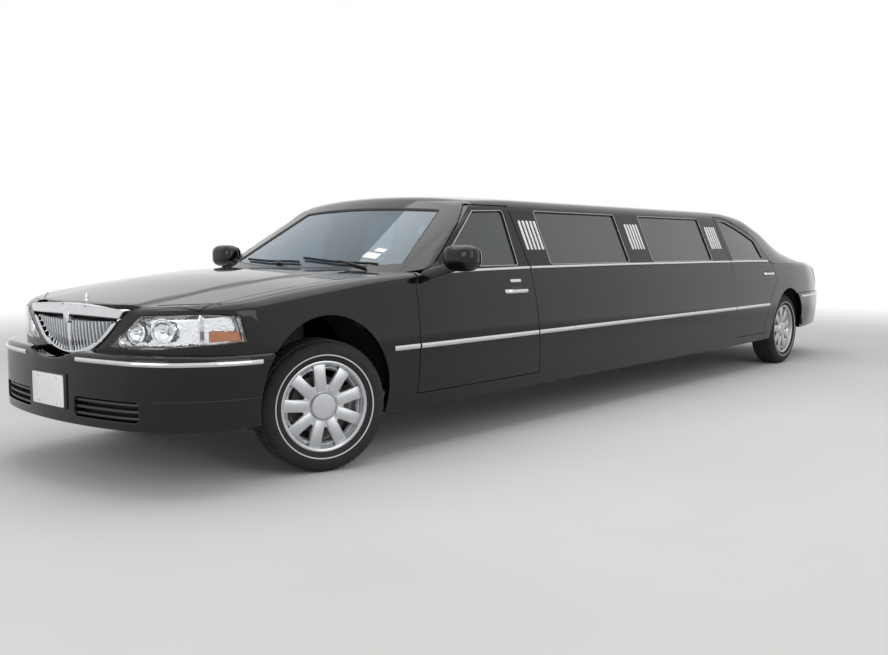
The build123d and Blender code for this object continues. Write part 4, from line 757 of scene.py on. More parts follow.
@dataclass(frozen=True)
class Panel:
    """A sheet of the car's skin: an outline on a skin, thick, with rolled edges.

    Attributes:
        skin: the surface that it lies on.
        loops: its outline and then its holes, in the skin's coordinates.
        cell: spacing of its inner points, in the skin's two coordinates.
        depth: its thickness.
        roll: radius of its edges.
        grow: how far its edges stand out past the outline.
        on_middle: whether an edge at y = 0 is left open, to be welded to the other half.
    """

    skin: Skin
    loops: Sequence[Line]
    cell: Place = (0.05, 0.04)
    depth: float = 0.012
    roll: float = 0.003
    grow: float = 0.0015
    on_middle: bool = False

    def inner_points(self, loops: Sequence[Points]) -> Points:
        """Points of an even grid inside the outline, clear of its edges."""
        low, high = loops[0].min(0), loops[0].max(0)
        a = np.arange(low[0], high[0], self.cell[0]) + self.cell[0] / 2
        b = np.arange(low[1], high[1], self.cell[1]) + self.cell[1] / 2
        grid = np.stack(np.meshgrid(a, b), -1).reshape(-1, 2)
        grid = grid[inside(grid, loops)]
        return grid[edge_distance(grid, loops, np.array(self.cell)) > 0.3] if len(grid) else grid

    def parts(self) -> MeshParts:
        """The sheet as vertices and faces."""
        loops = [densified(loop, min(self.cell) * 0.7) for loop in self.loops]
        loops = [loop if (self.area(loop) > 0) == (i == 0) else loop[::-1] for i, loop in enumerate(loops)]
        flat = np.concatenate(loops + [self.inner_points(loops)])
        edges, start = [], 0
        for loop in loops:
            edges += [(start + i, start + (i + 1) % len(loop)) for i in range(len(loop))]
            start += len(loop)
        cut = delaunay_2d_cdt([Vector(p) for p in flat], edges, [], 0, 1e-7, True)
        flat = np.array([(p.x, p.y) for p in cut[0]])
        triangles = np.array(cut[2])
        keep = inside(flat[triangles].mean(1), loops)
        return self.thickened(flat, triangles[keep], loops)

    @staticmethod
    def area(loop: Points) -> float:
        """Signed area of an outline."""
        after = np.roll(loop, -1, 0)
        return float(np.sum(loop[:, 0] * after[:, 1] - after[:, 0] * loop[:, 1]) / 2)

    def thickened(self, flat: Points, triangles: Points, loops: Sequence[Points]) -> MeshParts:
        """Outer face, rolled edges and inner face of a triangulated outline."""
        points, normals = self.skin.points_and_normals(flat[:, 0], flat[:, 1])
        if self.skin.facing < 0:
            triangles = triangles[:, ::-1]
        counts: dict[tuple[int, int], int] = {}
        for tri in triangles:
            for i in range(3):
                edge = (int(tri[i]), int(tri[(i + 1) % 3]))
                counts[edge] = counts.get(edge, 0) + 1
        rim = [edge for edge in counts if (edge[1], edge[0]) not in counts]
        after = {a: b for a, b in rim}
        before = {b: a for a, b in rim}
        outward = self.edge_directions(points, normals, after, before)
        parts = MeshParts()
        inset = points.copy()
        for i, (direction, stretch) in outward.items():
            inset[i] = points[i] + direction * (self.grow - self.roll) * stretch
        outer = parts.add_verts(inset)
        for tri in triangles:
            parts.add_face(outer + tri, normals[tri])
        inner_points = points - normals * self.depth
        for i, (direction, stretch) in outward.items():
            inner_points[i] = inner_points[i] + direction * self.grow * stretch
        inner = parts.add_verts(inner_points)
        for tri in triangles:
            parts.add_face(inner + tri[::-1], -normals[tri[::-1]])
        self.add_edges(parts, points, normals, rim, outward, inner)
        return parts

    def edge_directions(self, points: Points, normals: Points, after: dict[int, int],
                        before: dict[int, int]) -> dict[int, tuple[Points, float]]:
        """For each point of the rim, the way out of the sheet there and the mitre at a corner."""
        result = {}
        for i, following in after.items():
            ahead_run, back_run = points[following] - points[i], points[i] - points[before[i]]
            if self.on_middle and abs(points[i][1]) < MIDDLE_GAP:
                if abs(points[following][1]) < MIDDLE_GAP:
                    ahead_run = back_run
                if abs(points[before[i]][1]) < MIDDLE_GAP:
                    back_run = ahead_run
                if abs(points[following][1]) < MIDDLE_GAP and abs(points[before[i]][1]) < MIDDLE_GAP:
                    result[i] = (np.zeros(3), 0.0)
                    continue
            out_a, out_b = np.cross(ahead_run, normals[i]), np.cross(back_run, normals[i])
            out_a, out_b = out_a / max(np.linalg.norm(out_a), 1e-9), out_b / max(np.linalg.norm(out_b), 1e-9)
            out = out_a + out_b
            if self.on_middle and abs(points[i][1]) < MIDDLE_GAP:
                out[1] = 0.0
            out = out / max(np.linalg.norm(out), 1e-9)
            result[i] = (out, 1 / max(float(out @ out_a), 0.6))
        return result

    def add_edges(self, parts: MeshParts, points: Points, normals: Points, rim: Sequence[tuple[int, int]],
                  outward: dict[int, tuple[Points, float]], inner: int) -> None:
        """Adds the round and the wall down to the inner face along the rim."""
        angles = (0.0, 0.5, 1.0)
        order = sorted(outward)
        index = {i: k for k, i in enumerate(order)}
        rings, ring_normals = [0], []
        spread = np.array([outward[i][0] for i in order])
        stretch = np.array([outward[i][1] for i in order])[:, None]
        base, up = points[order], normals[order]
        for share in angles:
            turn = share * pi / 2
            ring_normals.append(up * cos(turn) + spread * sin(turn))
            if share:
                side = spread * (self.grow - self.roll + self.roll * sin(turn)) * stretch
                rings.append(parts.add_verts(base + side - up * self.roll * (1 - cos(turn))))
        for a, b in rim:
            if stretch[index[a]] == 0 or stretch[index[b]] == 0:
                continue
            if self.on_middle and abs(points[a][1]) < MIDDLE_GAP and abs(points[b][1]) < MIDDLE_GAP:
                continue
            ka, kb = index[a], index[b]
            ids = [(a, b)] + [(ring + ka, ring + kb) for ring in rings[1:]]
            for k in range(len(ids) - 1):
                (a1, b1), (a2, b2) = ids[k], ids[k + 1]
                low, high = ring_normals[k], ring_normals[k + 1]
                parts.add_face((a1, a2, b2, b1), (low[ka], high[ka], high[kb], low[kb]))
            a1, b1 = ids[-1]
            wall = ring_normals[-1]
            parts.add_face((a1, inner + a, inner + b, b1), (wall[ka], wall[ka], wall[kb], wall[kb]))


@dataclass
class Solids:
    """Closed shells gathered into one mesh, shaded smooth but for its sharp edges."""

    verts: list[Points] = field(default_factory=list)
    faces: list[tuple[int, ...]] = field(default_factory=list)
    count: int = 0

    def add_grid(self, rows: Points, around: bool = True, closed: bool = False) -> None:
        """Adds a shell.

        Args:
            rows: its points, as rows of places round it or along it.
            around: whether each row closes on itself.
            closed: whether the last row joins the first. Otherwise both ends get a cap.
        """
        rows = np.asarray(rows, float)
        n, m = rows.shape[:2]
        start = self.count
        self.verts.append(rows.reshape(-1, 3))
        self.count += n * m
        for i in range(n if closed else n - 1):
            for j in range(m if around else m - 1):
                a, b = start + i * m, start + ((i + 1) % n) * m
                self.faces.append((a + j, a + (j + 1) % m, b + (j + 1) % m, b + j))
        if not closed and around:
            self.faces.append(tuple(start + j for j in reversed(range(m))))
            self.faces.append(tuple(start + (n - 1) * m + j for j in range(m)))

    def add_plate(self, outline: Line, low: float, high: float, bevel: float) -> None:
        """Adds a flat plate with a bevelled upper edge, its outline in x and y and its height in z."""
        loop = np.array(outline, float)
        runs = np.roll(loop, -1, 0) - loop
        runs /= np.linalg.norm(runs, axis=1)[:, None]
        inward = np.stack([-runs[:, 1], runs[:, 0]], 1) * np.sign(Panel.area(loop))
        corner = inward + np.roll(inward, 1, 0)
        corner /= np.maximum((corner * inward).sum(1), 0.3)[:, None]
        rows = [(loop, low), (loop, high - bevel), (loop + corner * bevel * 0.3, high - bevel * 0.3),
                (loop + corner * bevel, high)]
        self.add_grid(np.array([np.column_stack([flat, np.full(len(flat), z)]) for flat, z in rows]))

    def moved(self, origin: Sequence[float], axes: Axes) -> "Solids":
        """A copy whose own x, y and z run along the given axes from an origin."""
        matrix = np.array(axes, float)
        return Solids([v @ matrix + np.array(origin) for v in self.verts], list(self.faces), self.count)

    def added(self, other: "Solids") -> "Solids":
        """This and another set of shells together."""
        faces = self.faces + [tuple(i + self.count for i in face) for face in other.faces]
        return Solids(self.verts + other.verts, faces, self.count + other.count)

    def both_sides(self) -> "Solids":
        """These shells and their twins across the car."""
        return self.added(self.moved((0, 0, 0), TWIN_AXES))

    def to_object(self, name: str, material: Material, side: Side = Side.LEFT,
                  sharp: float = 34.0) -> Object:
        """Makes the mesh's object, turned into its twin for the right."""
        shells = self if side is Side.LEFT else self.moved((0, 0, 0), TWIN_AXES)
        mesh = bpy.data.meshes.new(name)
        mesh.from_pydata([tuple(p) for p in np.concatenate(shells.verts)], [], shells.faces)
        edit = bmesh.new()
        edit.from_mesh(mesh)
        bmesh.ops.remove_doubles(edit, verts=edit.verts, dist=1e-6)
        bmesh.ops.recalc_face_normals(edit, faces=edit.faces)
        edit.to_mesh(mesh)
        edit.free()
        mesh.polygons.foreach_set("use_smooth", [True] * len(mesh.polygons))
        mesh.set_sharp_from_angle(angle=radians(sharp))
        mesh.materials.append(material)
        return linked(name, mesh)


TWIN_AXES = ((1, 0, 0), (0, -1, 0), (0, 0, 1))
FACING_FORWARD = ((0, 1, 0), (0, 0, 1), (1, 0, 0))
FACING_SIDEWAYS = ((1, 0, 0), (0, 0, 1), (0, 1, 0))


def shell_of(rows: Points, around: bool = True, closed: bool = False) -> Solids:
    """One shell from rows of places."""
    made = Solids()
    made.add_grid(rows, around, closed)
    return made


def plate_of(outline: Line, low: float, high: float, bevel: float) -> Solids:
    """One flat plate with a bevelled upper edge."""
    made = Solids()
    made.add_plate(outline, low, high, bevel)
    return made


def rectangle(low: Place, high: Place, radius: float, pieces: int = 5) -> Outline:
    """A rectangle between two corners, with its corners rounded."""
    return corner_rounded([low, (high[0], low[1]), high, (low[0], high[1])], radius, pieces)


def oval(half_wide: float, half_high: float, count: int, power: float = 1.0,
         middle: Place = (0.0, 0.0)) -> Outline:
    """A circle, an ellipse or, with a power below 1, an oval with fuller corners."""
    turns = [i * 2 * pi / count for i in range(count)]
    return [(middle[0] + half_wide * np.sign(cos(a)) * abs(cos(a)) ** power,
             middle[1] + half_high * np.sign(sin(a)) * abs(sin(a)) ** power) for a in turns]


DOMED = ((-1.0, -0.4), (-0.93, 0.45), (-0.6, 0.85), (0.0, 1.0), (0.6, 0.85), (0.93, 0.45), (1.0, -0.4))


def strip_on(skin: Skin, path: Line, half_width: float, height: float,
             closed: bool = False) -> Solids:
    """A domed moulding that lies along a path on a skin.

    Args:
        skin: the surface that it lies on.
        path: its middle line, in the skin's coordinates.
        half_width: half its width.
        height: its height over the skin.
        closed: whether its ends meet.

    Returns:
        The moulding.
    """
    line = np.array(path, float)
    points, normals = skin.points_and_normals(line[:, 0], line[:, 1])
    runs = np.roll(points, -1, 0) - np.roll(points, 1, 0) if closed else np.gradient(points, axis=0)
    runs /= np.maximum(np.linalg.norm(runs, axis=1), 1e-9)[:, None]
    across = np.cross(normals, runs)
    rows = np.stack([points + across * side * half_width + normals * up * height for side, up in DOMED], 1)
    return shell_of(rows, True, closed)


def revolved(profile: Line, steps: int = 72) -> Points:
    """Rows of a turned shape round the y axis, from radii and places along it."""
    turn = np.arange(steps) * 2 * pi / steps
    return np.stack([np.column_stack([r * np.cos(turn), np.full(steps, y), r * np.sin(turn)])
                     for r, y in profile])


def smooth_line(points: Sequence[tuple[float, ...]], pieces: int = 4) -> Points:
    """A smooth line through points, with that many pieces between two of them."""
    line = np.array(points, float)
    ends = np.vstack([2 * line[0] - line[1], line, 2 * line[-1] - line[-2]])
    result = []
    for i in range(1, len(ends) - 2):
        for t in np.arange(pieces) / pieces:
            a, b, c, d = ends[i - 1:i + 3]
            result.append(0.5 * (2 * b + (c - a) * t + (2 * a - 5 * b + 4 * c - d) * t**2
                                 + (3 * b - a - 3 * c + d) * t**3))
    return np.array(result + [line[-1]])


class Layout(Enum):
    """How a repeated piece is laid out."""

    RING = "ring"
    ROW = "row"


@dataclass(frozen=True)
class Repeat:
    """A Geometry Nodes tree that sets copies of a piece in a ring round z, or in a row."""

    layout: Layout

    def tree(self) -> NodeTree:
        """The node tree, made once, with inputs Piece, Count, Reach and Finish."""
        name = f"{self.layout.value}_of_pieces"
        if name in bpy.data.node_groups:
            return bpy.data.node_groups[name]
        tree = bpy.data.node_groups.new(name, "GeometryNodeTree")
        face = tree.interface
        face.new_socket("Geometry", in_out="OUTPUT", socket_type="NodeSocketGeometry")
        for label, kind in (("Piece", "NodeSocketObject"), ("Count", "NodeSocketInt"),
                            ("Reach", "NodeSocketFloat"), ("Finish", "NodeSocketMaterial")):
            face.new_socket(label, in_out="INPUT", socket_type=kind)
        new, link = tree.nodes.new, tree.links.new
        given, out = new("NodeGroupInput"), new("NodeGroupOutput")
        info, place = new("GeometryNodeObjectInfo"), new("GeometryNodeInstanceOnPoints")
        real, finish = new("GeometryNodeRealizeInstances"), new("GeometryNodeSetMaterial")
        link(given.outputs["Piece"], info.inputs["Object"])
        link(info.outputs["Geometry"], place.inputs["Instance"])
        if self.layout is Layout.RING:
            spots, index = new("GeometryNodeMeshCircle"), new("GeometryNodeInputIndex")
            turn = new("ShaderNodeMath")
            link(given.outputs["Count"], spots.inputs["Vertices"])
            link(given.outputs["Reach"], spots.inputs["Radius"])
            share, vector = new("ShaderNodeMath"), new("ShaderNodeCombineXYZ")
            share.operation, turn.operation = "DIVIDE", "MULTIPLY"
            link(index.outputs[0], share.inputs[0])
            link(given.outputs["Count"], share.inputs[1])
            link(share.outputs[0], turn.inputs[0])
            turn.inputs[1].default_value = 2 * pi
            link(turn.outputs[0], vector.inputs["Z"])
            link(vector.outputs[0], place.inputs["Rotation"])
            link(spots.outputs["Mesh"], place.inputs["Points"])
        else:
            spots, vector = new("GeometryNodeMeshLine"), new("ShaderNodeCombineXYZ")
            link(given.outputs["Count"], spots.inputs["Count"])
            link(given.outputs["Reach"], vector.inputs["X"])
            link(vector.outputs[0], spots.inputs["Offset"])
            link(spots.outputs["Mesh"], place.inputs["Points"])
        link(place.outputs["Instances"], real.inputs["Geometry"])
        link(real.outputs["Geometry"], finish.inputs["Geometry"])
        link(given.outputs["Finish"], finish.inputs["Material"])
        link(finish.outputs["Geometry"], out.inputs["Geometry"])
        return tree

    def made(self, piece: Solids, count: int, reach: float, finish: Material) -> Solids:
        """Copies of a piece.

        Args:
            piece: what is repeated.
            count: how many there are.
            reach: the ring's radius, or the pitch of the row along x.
            finish: the material.

        Returns:
            The copies as plain shells.
        """
        source = piece.to_object("repeat_source", finish)
        holder = linked("repeat_holder", bpy.data.meshes.new("repeat_holder"))
        modifier = holder.modifiers.new("repeat", "NODES")
        modifier.node_group = self.tree()
        values = {"Piece": source, "Count": count, "Reach": reach, "Finish": finish}
        for socket in modifier.node_group.interface.items_tree:
            if socket.item_type == "SOCKET" and socket.in_out == "INPUT":
                modifier[socket.identifier] = values[socket.name]
        bpy.context.view_layer.update()
        seen = holder.evaluated_get(bpy.context.evaluated_depsgraph_get())
        mesh = bpy.data.meshes.new_from_object(seen)
        points = np.array([v.co[:] for v in mesh.vertices])
        faces = [tuple(p.vertices) for p in mesh.polygons]
        holder.modifiers.clear()
        for extra in (holder, source):
            bpy.data.objects.remove(extra)
        bpy.data.meshes.remove(mesh)
        return Solids([points], faces, len(points))


class Grain(Enum):
    """The kind of fine relief on a finish."""

    NOISE = "noise"
    CELLS = "cells"
    STREAKS = "streaks"
    WEAVE = "weave"


@dataclass(frozen=True)
class Finish:
    """A surface finish, made of nodes on Object coordinates.

    Attributes:
        name: the material's name.
        color: its main colour.
        roughness: its middle roughness, and how far that varies.
        mottle: how far its colour varies, and the size of the patches in metres.
        grain: the kind of relief.
        grain_size: the size of the relief in metres.
        grain_height: the height of the relief in metres.

    The other values are the shader's own.
    """

    name: str
    color: Spot
    roughness: Place = (0.5, 0.05)
    metallic: float = 0.0
    coat: float = 0.0
    transmission: float = 0.0
    ior: float = 1.5
    sheen: float = 0.0
    mottle: Place = (0.08, 0.15)
    grain: Grain = Grain.NOISE
    grain_size: float = 0.002
    grain_height: float = 0.00005

    def material(self) -> Material:
        """The finish's material, made once."""
        made = bpy.data.materials.get(self.name)
        if made:
            return made
        material = bpy.data.materials.new(self.name)
        material.use_nodes = True
        material.diffuse_color = (*self.color, 1)
        tree = material.node_tree
        shader = tree.nodes["Principled BSDF"]
        for socket, value in (("Metallic", self.metallic), ("Coat Weight", self.coat),
                              ("Coat Roughness", 0.02), ("Transmission Weight", self.transmission),
                              ("IOR", self.ior), ("Sheen Weight", self.sheen)):
            shader.inputs[socket].default_value = value
        place = tree.nodes.new("ShaderNodeTexCoord")
        self.add_color(tree, shader, place.outputs["Object"])
        self.add_relief(tree, shader, place.outputs["Object"])
        return material

    def add_color(self, tree: NodeTree, shader: Node, place: NodeSocket) -> None:
        """Adds the patches of colour and roughness."""
        patches = self.node(tree, "ShaderNodeTexNoise", place, Scale=1 / self.mottle[1], Detail=4.0)
        mix = self.node(tree, "ShaderNodeValToRGB")
        tree.links.new(patches.outputs["Fac"], mix.inputs["Fac"])
        dark = tuple(c * (1 - self.mottle[0]) for c in self.color)
        light = tuple(min(1.0, c * (1 + self.mottle[0])) for c in self.color)
        mix.color_ramp.elements[0].position, mix.color_ramp.elements[1].position = 0.3, 0.7
        mix.color_ramp.elements[0].color = (*dark, 1)
        mix.color_ramp.elements[1].color = (*light, 1)
        tree.links.new(self.tinted(tree, mix.outputs["Color"], place), shader.inputs["Base Color"])
        spread = self.node(tree, "ShaderNodeMapRange")
        spread.inputs["To Min"].default_value = max(0.0, self.roughness[0] - self.roughness[1])
        spread.inputs["To Max"].default_value = min(1.0, self.roughness[0] + self.roughness[1])
        smears = self.node(tree, "ShaderNodeTexNoise", place, Scale=3 / self.mottle[1], Detail=6.0)
        tree.links.new(smears.outputs["Fac"], spread.inputs["Value"])
        tree.links.new(spread.outputs["Result"], shader.inputs["Roughness"])

    def tinted(self, tree: NodeTree, color: NodeSocket, place: NodeSocket) -> NodeSocket:
        """The colour with anything that a kind of finish draws on it."""
        return color

    def add_relief(self, tree: NodeTree, shader: Node, place: NodeSocket) -> None:
        """Adds the fine relief."""
        if self.grain is Grain.CELLS:
            relief = self.node(tree, "ShaderNodeTexVoronoi", place, Scale=1 / self.grain_size)
            height = relief.outputs["Distance"]
        elif self.grain is Grain.STREAKS:
            stretch = self.node(tree, "ShaderNodeMapping")
            stretch.inputs["Scale"].default_value = (1, 1, 0.03)
            tree.links.new(place, stretch.inputs["Vector"])
            relief = self.node(tree, "ShaderNodeTexNoise", stretch.outputs["Vector"],
                               Scale=1 / self.grain_size)
            height = relief.outputs["Fac"]
        elif self.grain is Grain.WEAVE:
            waves = []
            for direction in ("X", "Y"):
                wave = self.node(tree, "ShaderNodeTexWave", place, Scale=0.16 / self.grain_size,
                                 Distortion=0.4)
                wave.bands_direction = direction
                waves.append(wave.outputs["Fac"])
            join = self.node(tree, "ShaderNodeMath")
            join.operation = "MAXIMUM"
            for i, wave in enumerate(waves):
                tree.links.new(wave, join.inputs[i])
            height = join.outputs["Value"]
        else:
            relief = self.node(tree, "ShaderNodeTexNoise", place, Scale=1 / self.grain_size, Detail=3.0)
            height = relief.outputs["Fac"]
        bump = self.node(tree, "ShaderNodeBump")
        bump.inputs["Strength"].default_value = 1.0
        bump.inputs["Distance"].default_value = self.grain_height
        tree.links.new(height, bump.inputs["Height"])
        tree.links.new(bump.outputs["Normal"], shader.inputs["Normal"])

    @staticmethod
    def node(tree: NodeTree, kind: str, place: NodeSocket | None = None, **values: float) -> Node:
        """A new node with its number inputs set and its Vector linked."""
        made = tree.nodes.new(kind)
        for name, value in values.items():
            made.inputs[name].default_value = value
        if place:
            tree.links.new(place, made.inputs["Vector"])
        return made


@dataclass(frozen=True)
class StripedRubber(Finish):
    """Tyre rubber with a thin pale ring, drawn by the second coordinate of the tyre's own UV map."""

    stripe: Place = (0.70, 0.715)

    def tinted(self, tree: NodeTree, color: NodeSocket, place: NodeSocket) -> NodeSocket:
        """The rubber's colour with the pale ring on it."""
        across = self.node(tree, "ShaderNodeSeparateXYZ")
        tree.links.new(self.node(tree, "ShaderNodeUVMap").outputs["UV"], across.inputs[0])
        ring = self.node(tree, "ShaderNodeValToRGB")
        ring.color_ramp.interpolation = "LINEAR"
        low, high = self.stripe
        ring.color_ramp.elements[0].position, ring.color_ramp.elements[1].position = 0.0, 1.0
        ring.color_ramp.elements[1].color = (0, 0, 0, 1)
        for position, level in ((low - 0.002, 0), (low, 1), (high, 1), (high + 0.002, 0)):
            ring.color_ramp.elements.new(position).color = (level, level, level, 1)
        tree.links.new(across.outputs["Y"], ring.inputs["Fac"])
        mix = self.node(tree, "ShaderNodeMix")
        mix.data_type = "RGBA"
        tree.links.new(ring.outputs["Color"], mix.inputs["Factor"])
        tree.links.new(color, mix.inputs["A"])
        mix.inputs["B"].default_value = (0.62, 0.62, 0.60, 1)
        return mix.outputs["Result"]


PAINT = Finish("black_paint", (0.0035, 0.004, 0.005), (0.07, 0.03), coat=0.25, ior=1.32, mottle=(0.2, 0.4),
               grain_size=0.004, grain_height=0.000008)
PILLAR_PAINT = Finish("pillar_black", (0.0035, 0.0035, 0.004), (0.12, 0.04), coat=0.1, ior=1.32,
                      mottle=(0.2, 0.2), grain_size=0.003, grain_height=0.00002)
CHROME = Finish("bright_chrome", (0.62, 0.63, 0.65), (0.07, 0.03), metallic=1.0, mottle=(0.04, 0.05),
                grain_size=0.006, grain_height=0.00001)
SATIN_BRIGHT = Finish("pale_bar_finish", (0.72, 0.73, 0.74), (0.30, 0.05), metallic=0.35, mottle=(0.05, 0.03),
                      grain=Grain.STREAKS, grain_size=0.001, grain_height=0.00002)
SIDE_GLASS = Finish("tinted_side_glass", (0.09, 0.11, 0.125), (0.02, 0.01), transmission=0.80, coat=0.3,
                    mottle=(0.05, 0.3), grain_size=0.08, grain_height=0.000004)
# Windscreen glass whose blue base colour is its tint together with a painted blue reflection.
SCREEN_GLASS_PAINTED_REFLECTION = Finish("windscreen_glass", (0.38, 0.56, 0.70), (0.015, 0.01), transmission=0.95,
                      mottle=(0.03, 0.3), grain_size=0.05, grain_height=0.00001)
CLEAR_LENS = Finish("clear_lens", (0.96, 0.97, 0.98), (0.02, 0.01), transmission=1.0, mottle=(0.02, 0.1),
                    grain_size=0.02, grain_height=0.00001)
REFLECTOR = Finish("lamp_reflector", (0.88, 0.89, 0.91), (0.10, 0.04), metallic=1.0, mottle=(0.06, 0.02),
                   grain=Grain.CELLS, grain_size=0.012, grain_height=0.0008)
AMBER = Finish("amber_lens", (0.85, 0.25, 0.02), (0.10, 0.03), transmission=0.3, mottle=(0.1, 0.02),
               grain=Grain.WEAVE, grain_size=0.004, grain_height=0.0003)
RED_LENS = Finish("ribbed_red_lens", (0.42, 0.008, 0.010), (0.06, 0.02), transmission=0.35, coat=0.6,
                  mottle=(0.1, 0.03), grain=Grain.WEAVE, grain_size=0.005, grain_height=0.0002)
RUBBER = StripedRubber("side_wall_rubber", (0.014, 0.014, 0.015), (0.74, 0.08), ior=1.4, mottle=(0.25, 0.05),
                       grain_size=0.0015, grain_height=0.0001)
SEAL = Finish("black_seal", (0.015, 0.015, 0.016), (0.6, 0.08), mottle=(0.2, 0.05), grain_size=0.001)
WHEEL_SILVER = Finish("satin_wheel_silver", (0.50, 0.51, 0.53), (0.30, 0.06), metallic=0.75, coat=0.2,
                      mottle=(0.06, 0.06), grain_size=0.0012, grain_height=0.00003)
TRIM_BLACK = Finish("grained_black_trim", (0.02, 0.02, 0.022), (0.45, 0.06), mottle=(0.15, 0.1),
                    grain=Grain.CELLS, grain_size=0.0015, grain_height=0.00008)
CAST = Finish("cast_metal", (0.20, 0.20, 0.21), (0.62, 0.12), metallic=0.6, mottle=(0.35, 0.06),
              grain_size=0.003, grain_height=0.0003)
FRAME_BLACK = Finish("satin_frame_black", (0.02, 0.02, 0.02), (0.5, 0.12), mottle=(0.4, 0.12),
                     grain_size=0.004, grain_height=0.0002)
EXHAUST = Finish("dull_exhaust_steel", (0.34, 0.32, 0.30), (0.42, 0.12), metallic=0.9, mottle=(0.3, 0.08),
                 grain=Grain.STREAKS, grain_size=0.002)
CARPET = Finish("dark_floor_carpet", (0.035, 0.035, 0.04), (0.92, 0.05), sheen=0.3, mottle=(0.3, 0.05),
                grain=Grain.WEAVE, grain_size=0.004, grain_height=0.0006)
LEATHER = Finish("dark_leather", (0.045, 0.042, 0.040), (0.48, 0.08), sheen=0.1, mottle=(0.2, 0.06),
                 grain=Grain.CELLS, grain_size=0.003, grain_height=0.0002)
PLATE_WHITE = Finish("blank_plate_white", (0.80, 0.80, 0.79), (0.35, 0.08), mottle=(0.05, 0.04),
                     grain_size=0.004)
LINER = Finish("arch_liner_black", (0.012, 0.012, 0.012), (0.85, 0.08), mottle=(0.3, 0.1), grain_size=0.004,
               grain_height=0.0003)
DARK_GAP = Finish("grille_back_black", (0.008, 0.008, 0.008), (0.75, 0.08), mottle=(0.3, 0.05),
                  grain_size=0.003)
LAMP_PALE = Finish("lamp_surround_silver", (0.80, 0.81, 0.82), (0.22, 0.05), metallic=0.75,
                   mottle=(0.05, 0.03), grain_size=0.002, grain_height=0.00003)
# Real seal edges round the side windows, coloured a pale grey that is a painted highlight along the openings'
# edges.
WINDOW_EDGE_PAINTED_HIGHLIGHT = Finish("satin_window_edge", (0.30, 0.30, 0.305), (0.28, 0.05), metallic=0.8, mottle=(0.1, 0.05),
                    grain_size=0.002, grain_height=0.00002)
TREAD_RUBBER = Finish("tread_rubber", (0.024, 0.024, 0.025), (0.85, 0.06), mottle=(0.25, 0.05),
                      grain_size=0.001, grain_height=0.0001)


def keep_node(node: str, finish: Finish) -> None:
    """Gives a frame node that stays in sight its finish."""
    mesh = frame["nodes"][node].data
    if not mesh.materials:
        mesh.materials.append(finish.material())
    for i in range(len(mesh.materials)):
        mesh.materials[i] = finish.material()


def keep_piece(obj: Object, body: str, slot: str, *nodes: str) -> Object:
    """Attaches a finished piece to its body and hides the frame nodes that it stands for.

    Args:
        obj: the piece.
        body: the frame body that it moves with.
        slot: the record's material slot; not used.
        nodes: the frame nodes that it stands for.

    Returns:
        The piece.
    """
    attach(obj, body)
    if nodes:
        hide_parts(*nodes)
    log.info("%s: %d faces on %s", obj.name, len(obj.data.polygons), body)
    return obj


def keep_shape(shape: MeshParts | Solids, name: str, finish: Finish, slot: str, *nodes: str,
               body: str = "body", side: Side = Side.LEFT) -> None:
    """Makes and attaches one piece, or its twin for the right."""
    keep_piece(shape.to_object(name, finish.material(), side), body, slot, *nodes)


def keep_pair(shape: MeshParts | Solids, name: str, finish: Finish, slot: str, *nodes: str,
              body: str = "body") -> None:
    """Makes and attaches a left piece and its twin. {} in a name stands for the side."""
    for side in Side:
        keep_shape(shape, name.format(side.label), finish, slot, *(node.format(side.label) for node in nodes),
                   body=body.format(side.label), side=side)


def pane_of(skin: Skin, outline: Line, cell: Place = (0.06, 0.06)) -> MeshParts:
    """A pane of glass with sharp edges."""
    return Panel(skin, [outline], cell, 0.006, 0.0005, 0.0).parts()


RING = PlanRing()
FRONT_BUMPER_RING = PlanRing(nose_x=NOSE_X - 0.010)
REAR_BUMPER_RING = PlanRing(tail_x=TAIL_X)
LOWER = ring_skin(LowerBody(), RING)
CABIN = roof_skin(Cabin())
PANE = roof_skin(Cabin(), -0.008)
FRONT_BUMPER_SKIN = ring_skin(BumperShell(0.655), FRONT_BUMPER_RING)
REAR_BUMPER_SKIN = ring_skin(BumperShell(0.690, 0.010), REAR_BUMPER_RING)
BONNET_SKIN = plan_skin(LowerBody(), RING)
LID_SKIN = lid_skin(LowerBody(), RING)
FRONT_SPAN = (0.0, RING.w_at_x(ahead(-1.0)))
REAR_SPAN = (RING.w_at_x(behind(-0.9)), RING.marks[3])
DOOR_SPAN = (RING.w_at_x(ahead(-0.4)), RING.w_at_x(ahead(-1.9)))
SIDE_VIEW, END_VIEW, PLAN_VIEW = (0, 2), (1, 2), (0, 1)
# Where the search for a line on a skin begins and how far it goes
GUESSES_ROUND = 400
TOP_LEVELS, WALL_LEVELS = (0.04, 0.12, 0.35, 0.60, 0.85), (-0.45, -0.30, -0.15, -0.06, -0.02)
SIDE_REACH, TOP_REACH = (0.60, 1.35), (-1.3, 1.3)
SHOULDER_INSET = 0.012
# How many pieces a panel's long curved edge has, and how many points reach its middle
EDGE_PIECES = 32
HALF_EDGE = EDGE_PIECES // 2 + 1


def open_dense(points: Line, spacing: float) -> Points:
    """An open line with points no further apart than a spacing."""
    return np.array([points[0]] + [
        (x1 + (x2 - x1) * i / n, y1 + (y2 - y1) * i / n)
        for (x1, y1), (x2, y2) in zip(points, points[1:])
        for n in [max(1, int(np.ceil(sqrt((x2 - x1) ** 2 + (y2 - y1) ** 2) / spacing)))]
        for i in range(1, n + 1)])


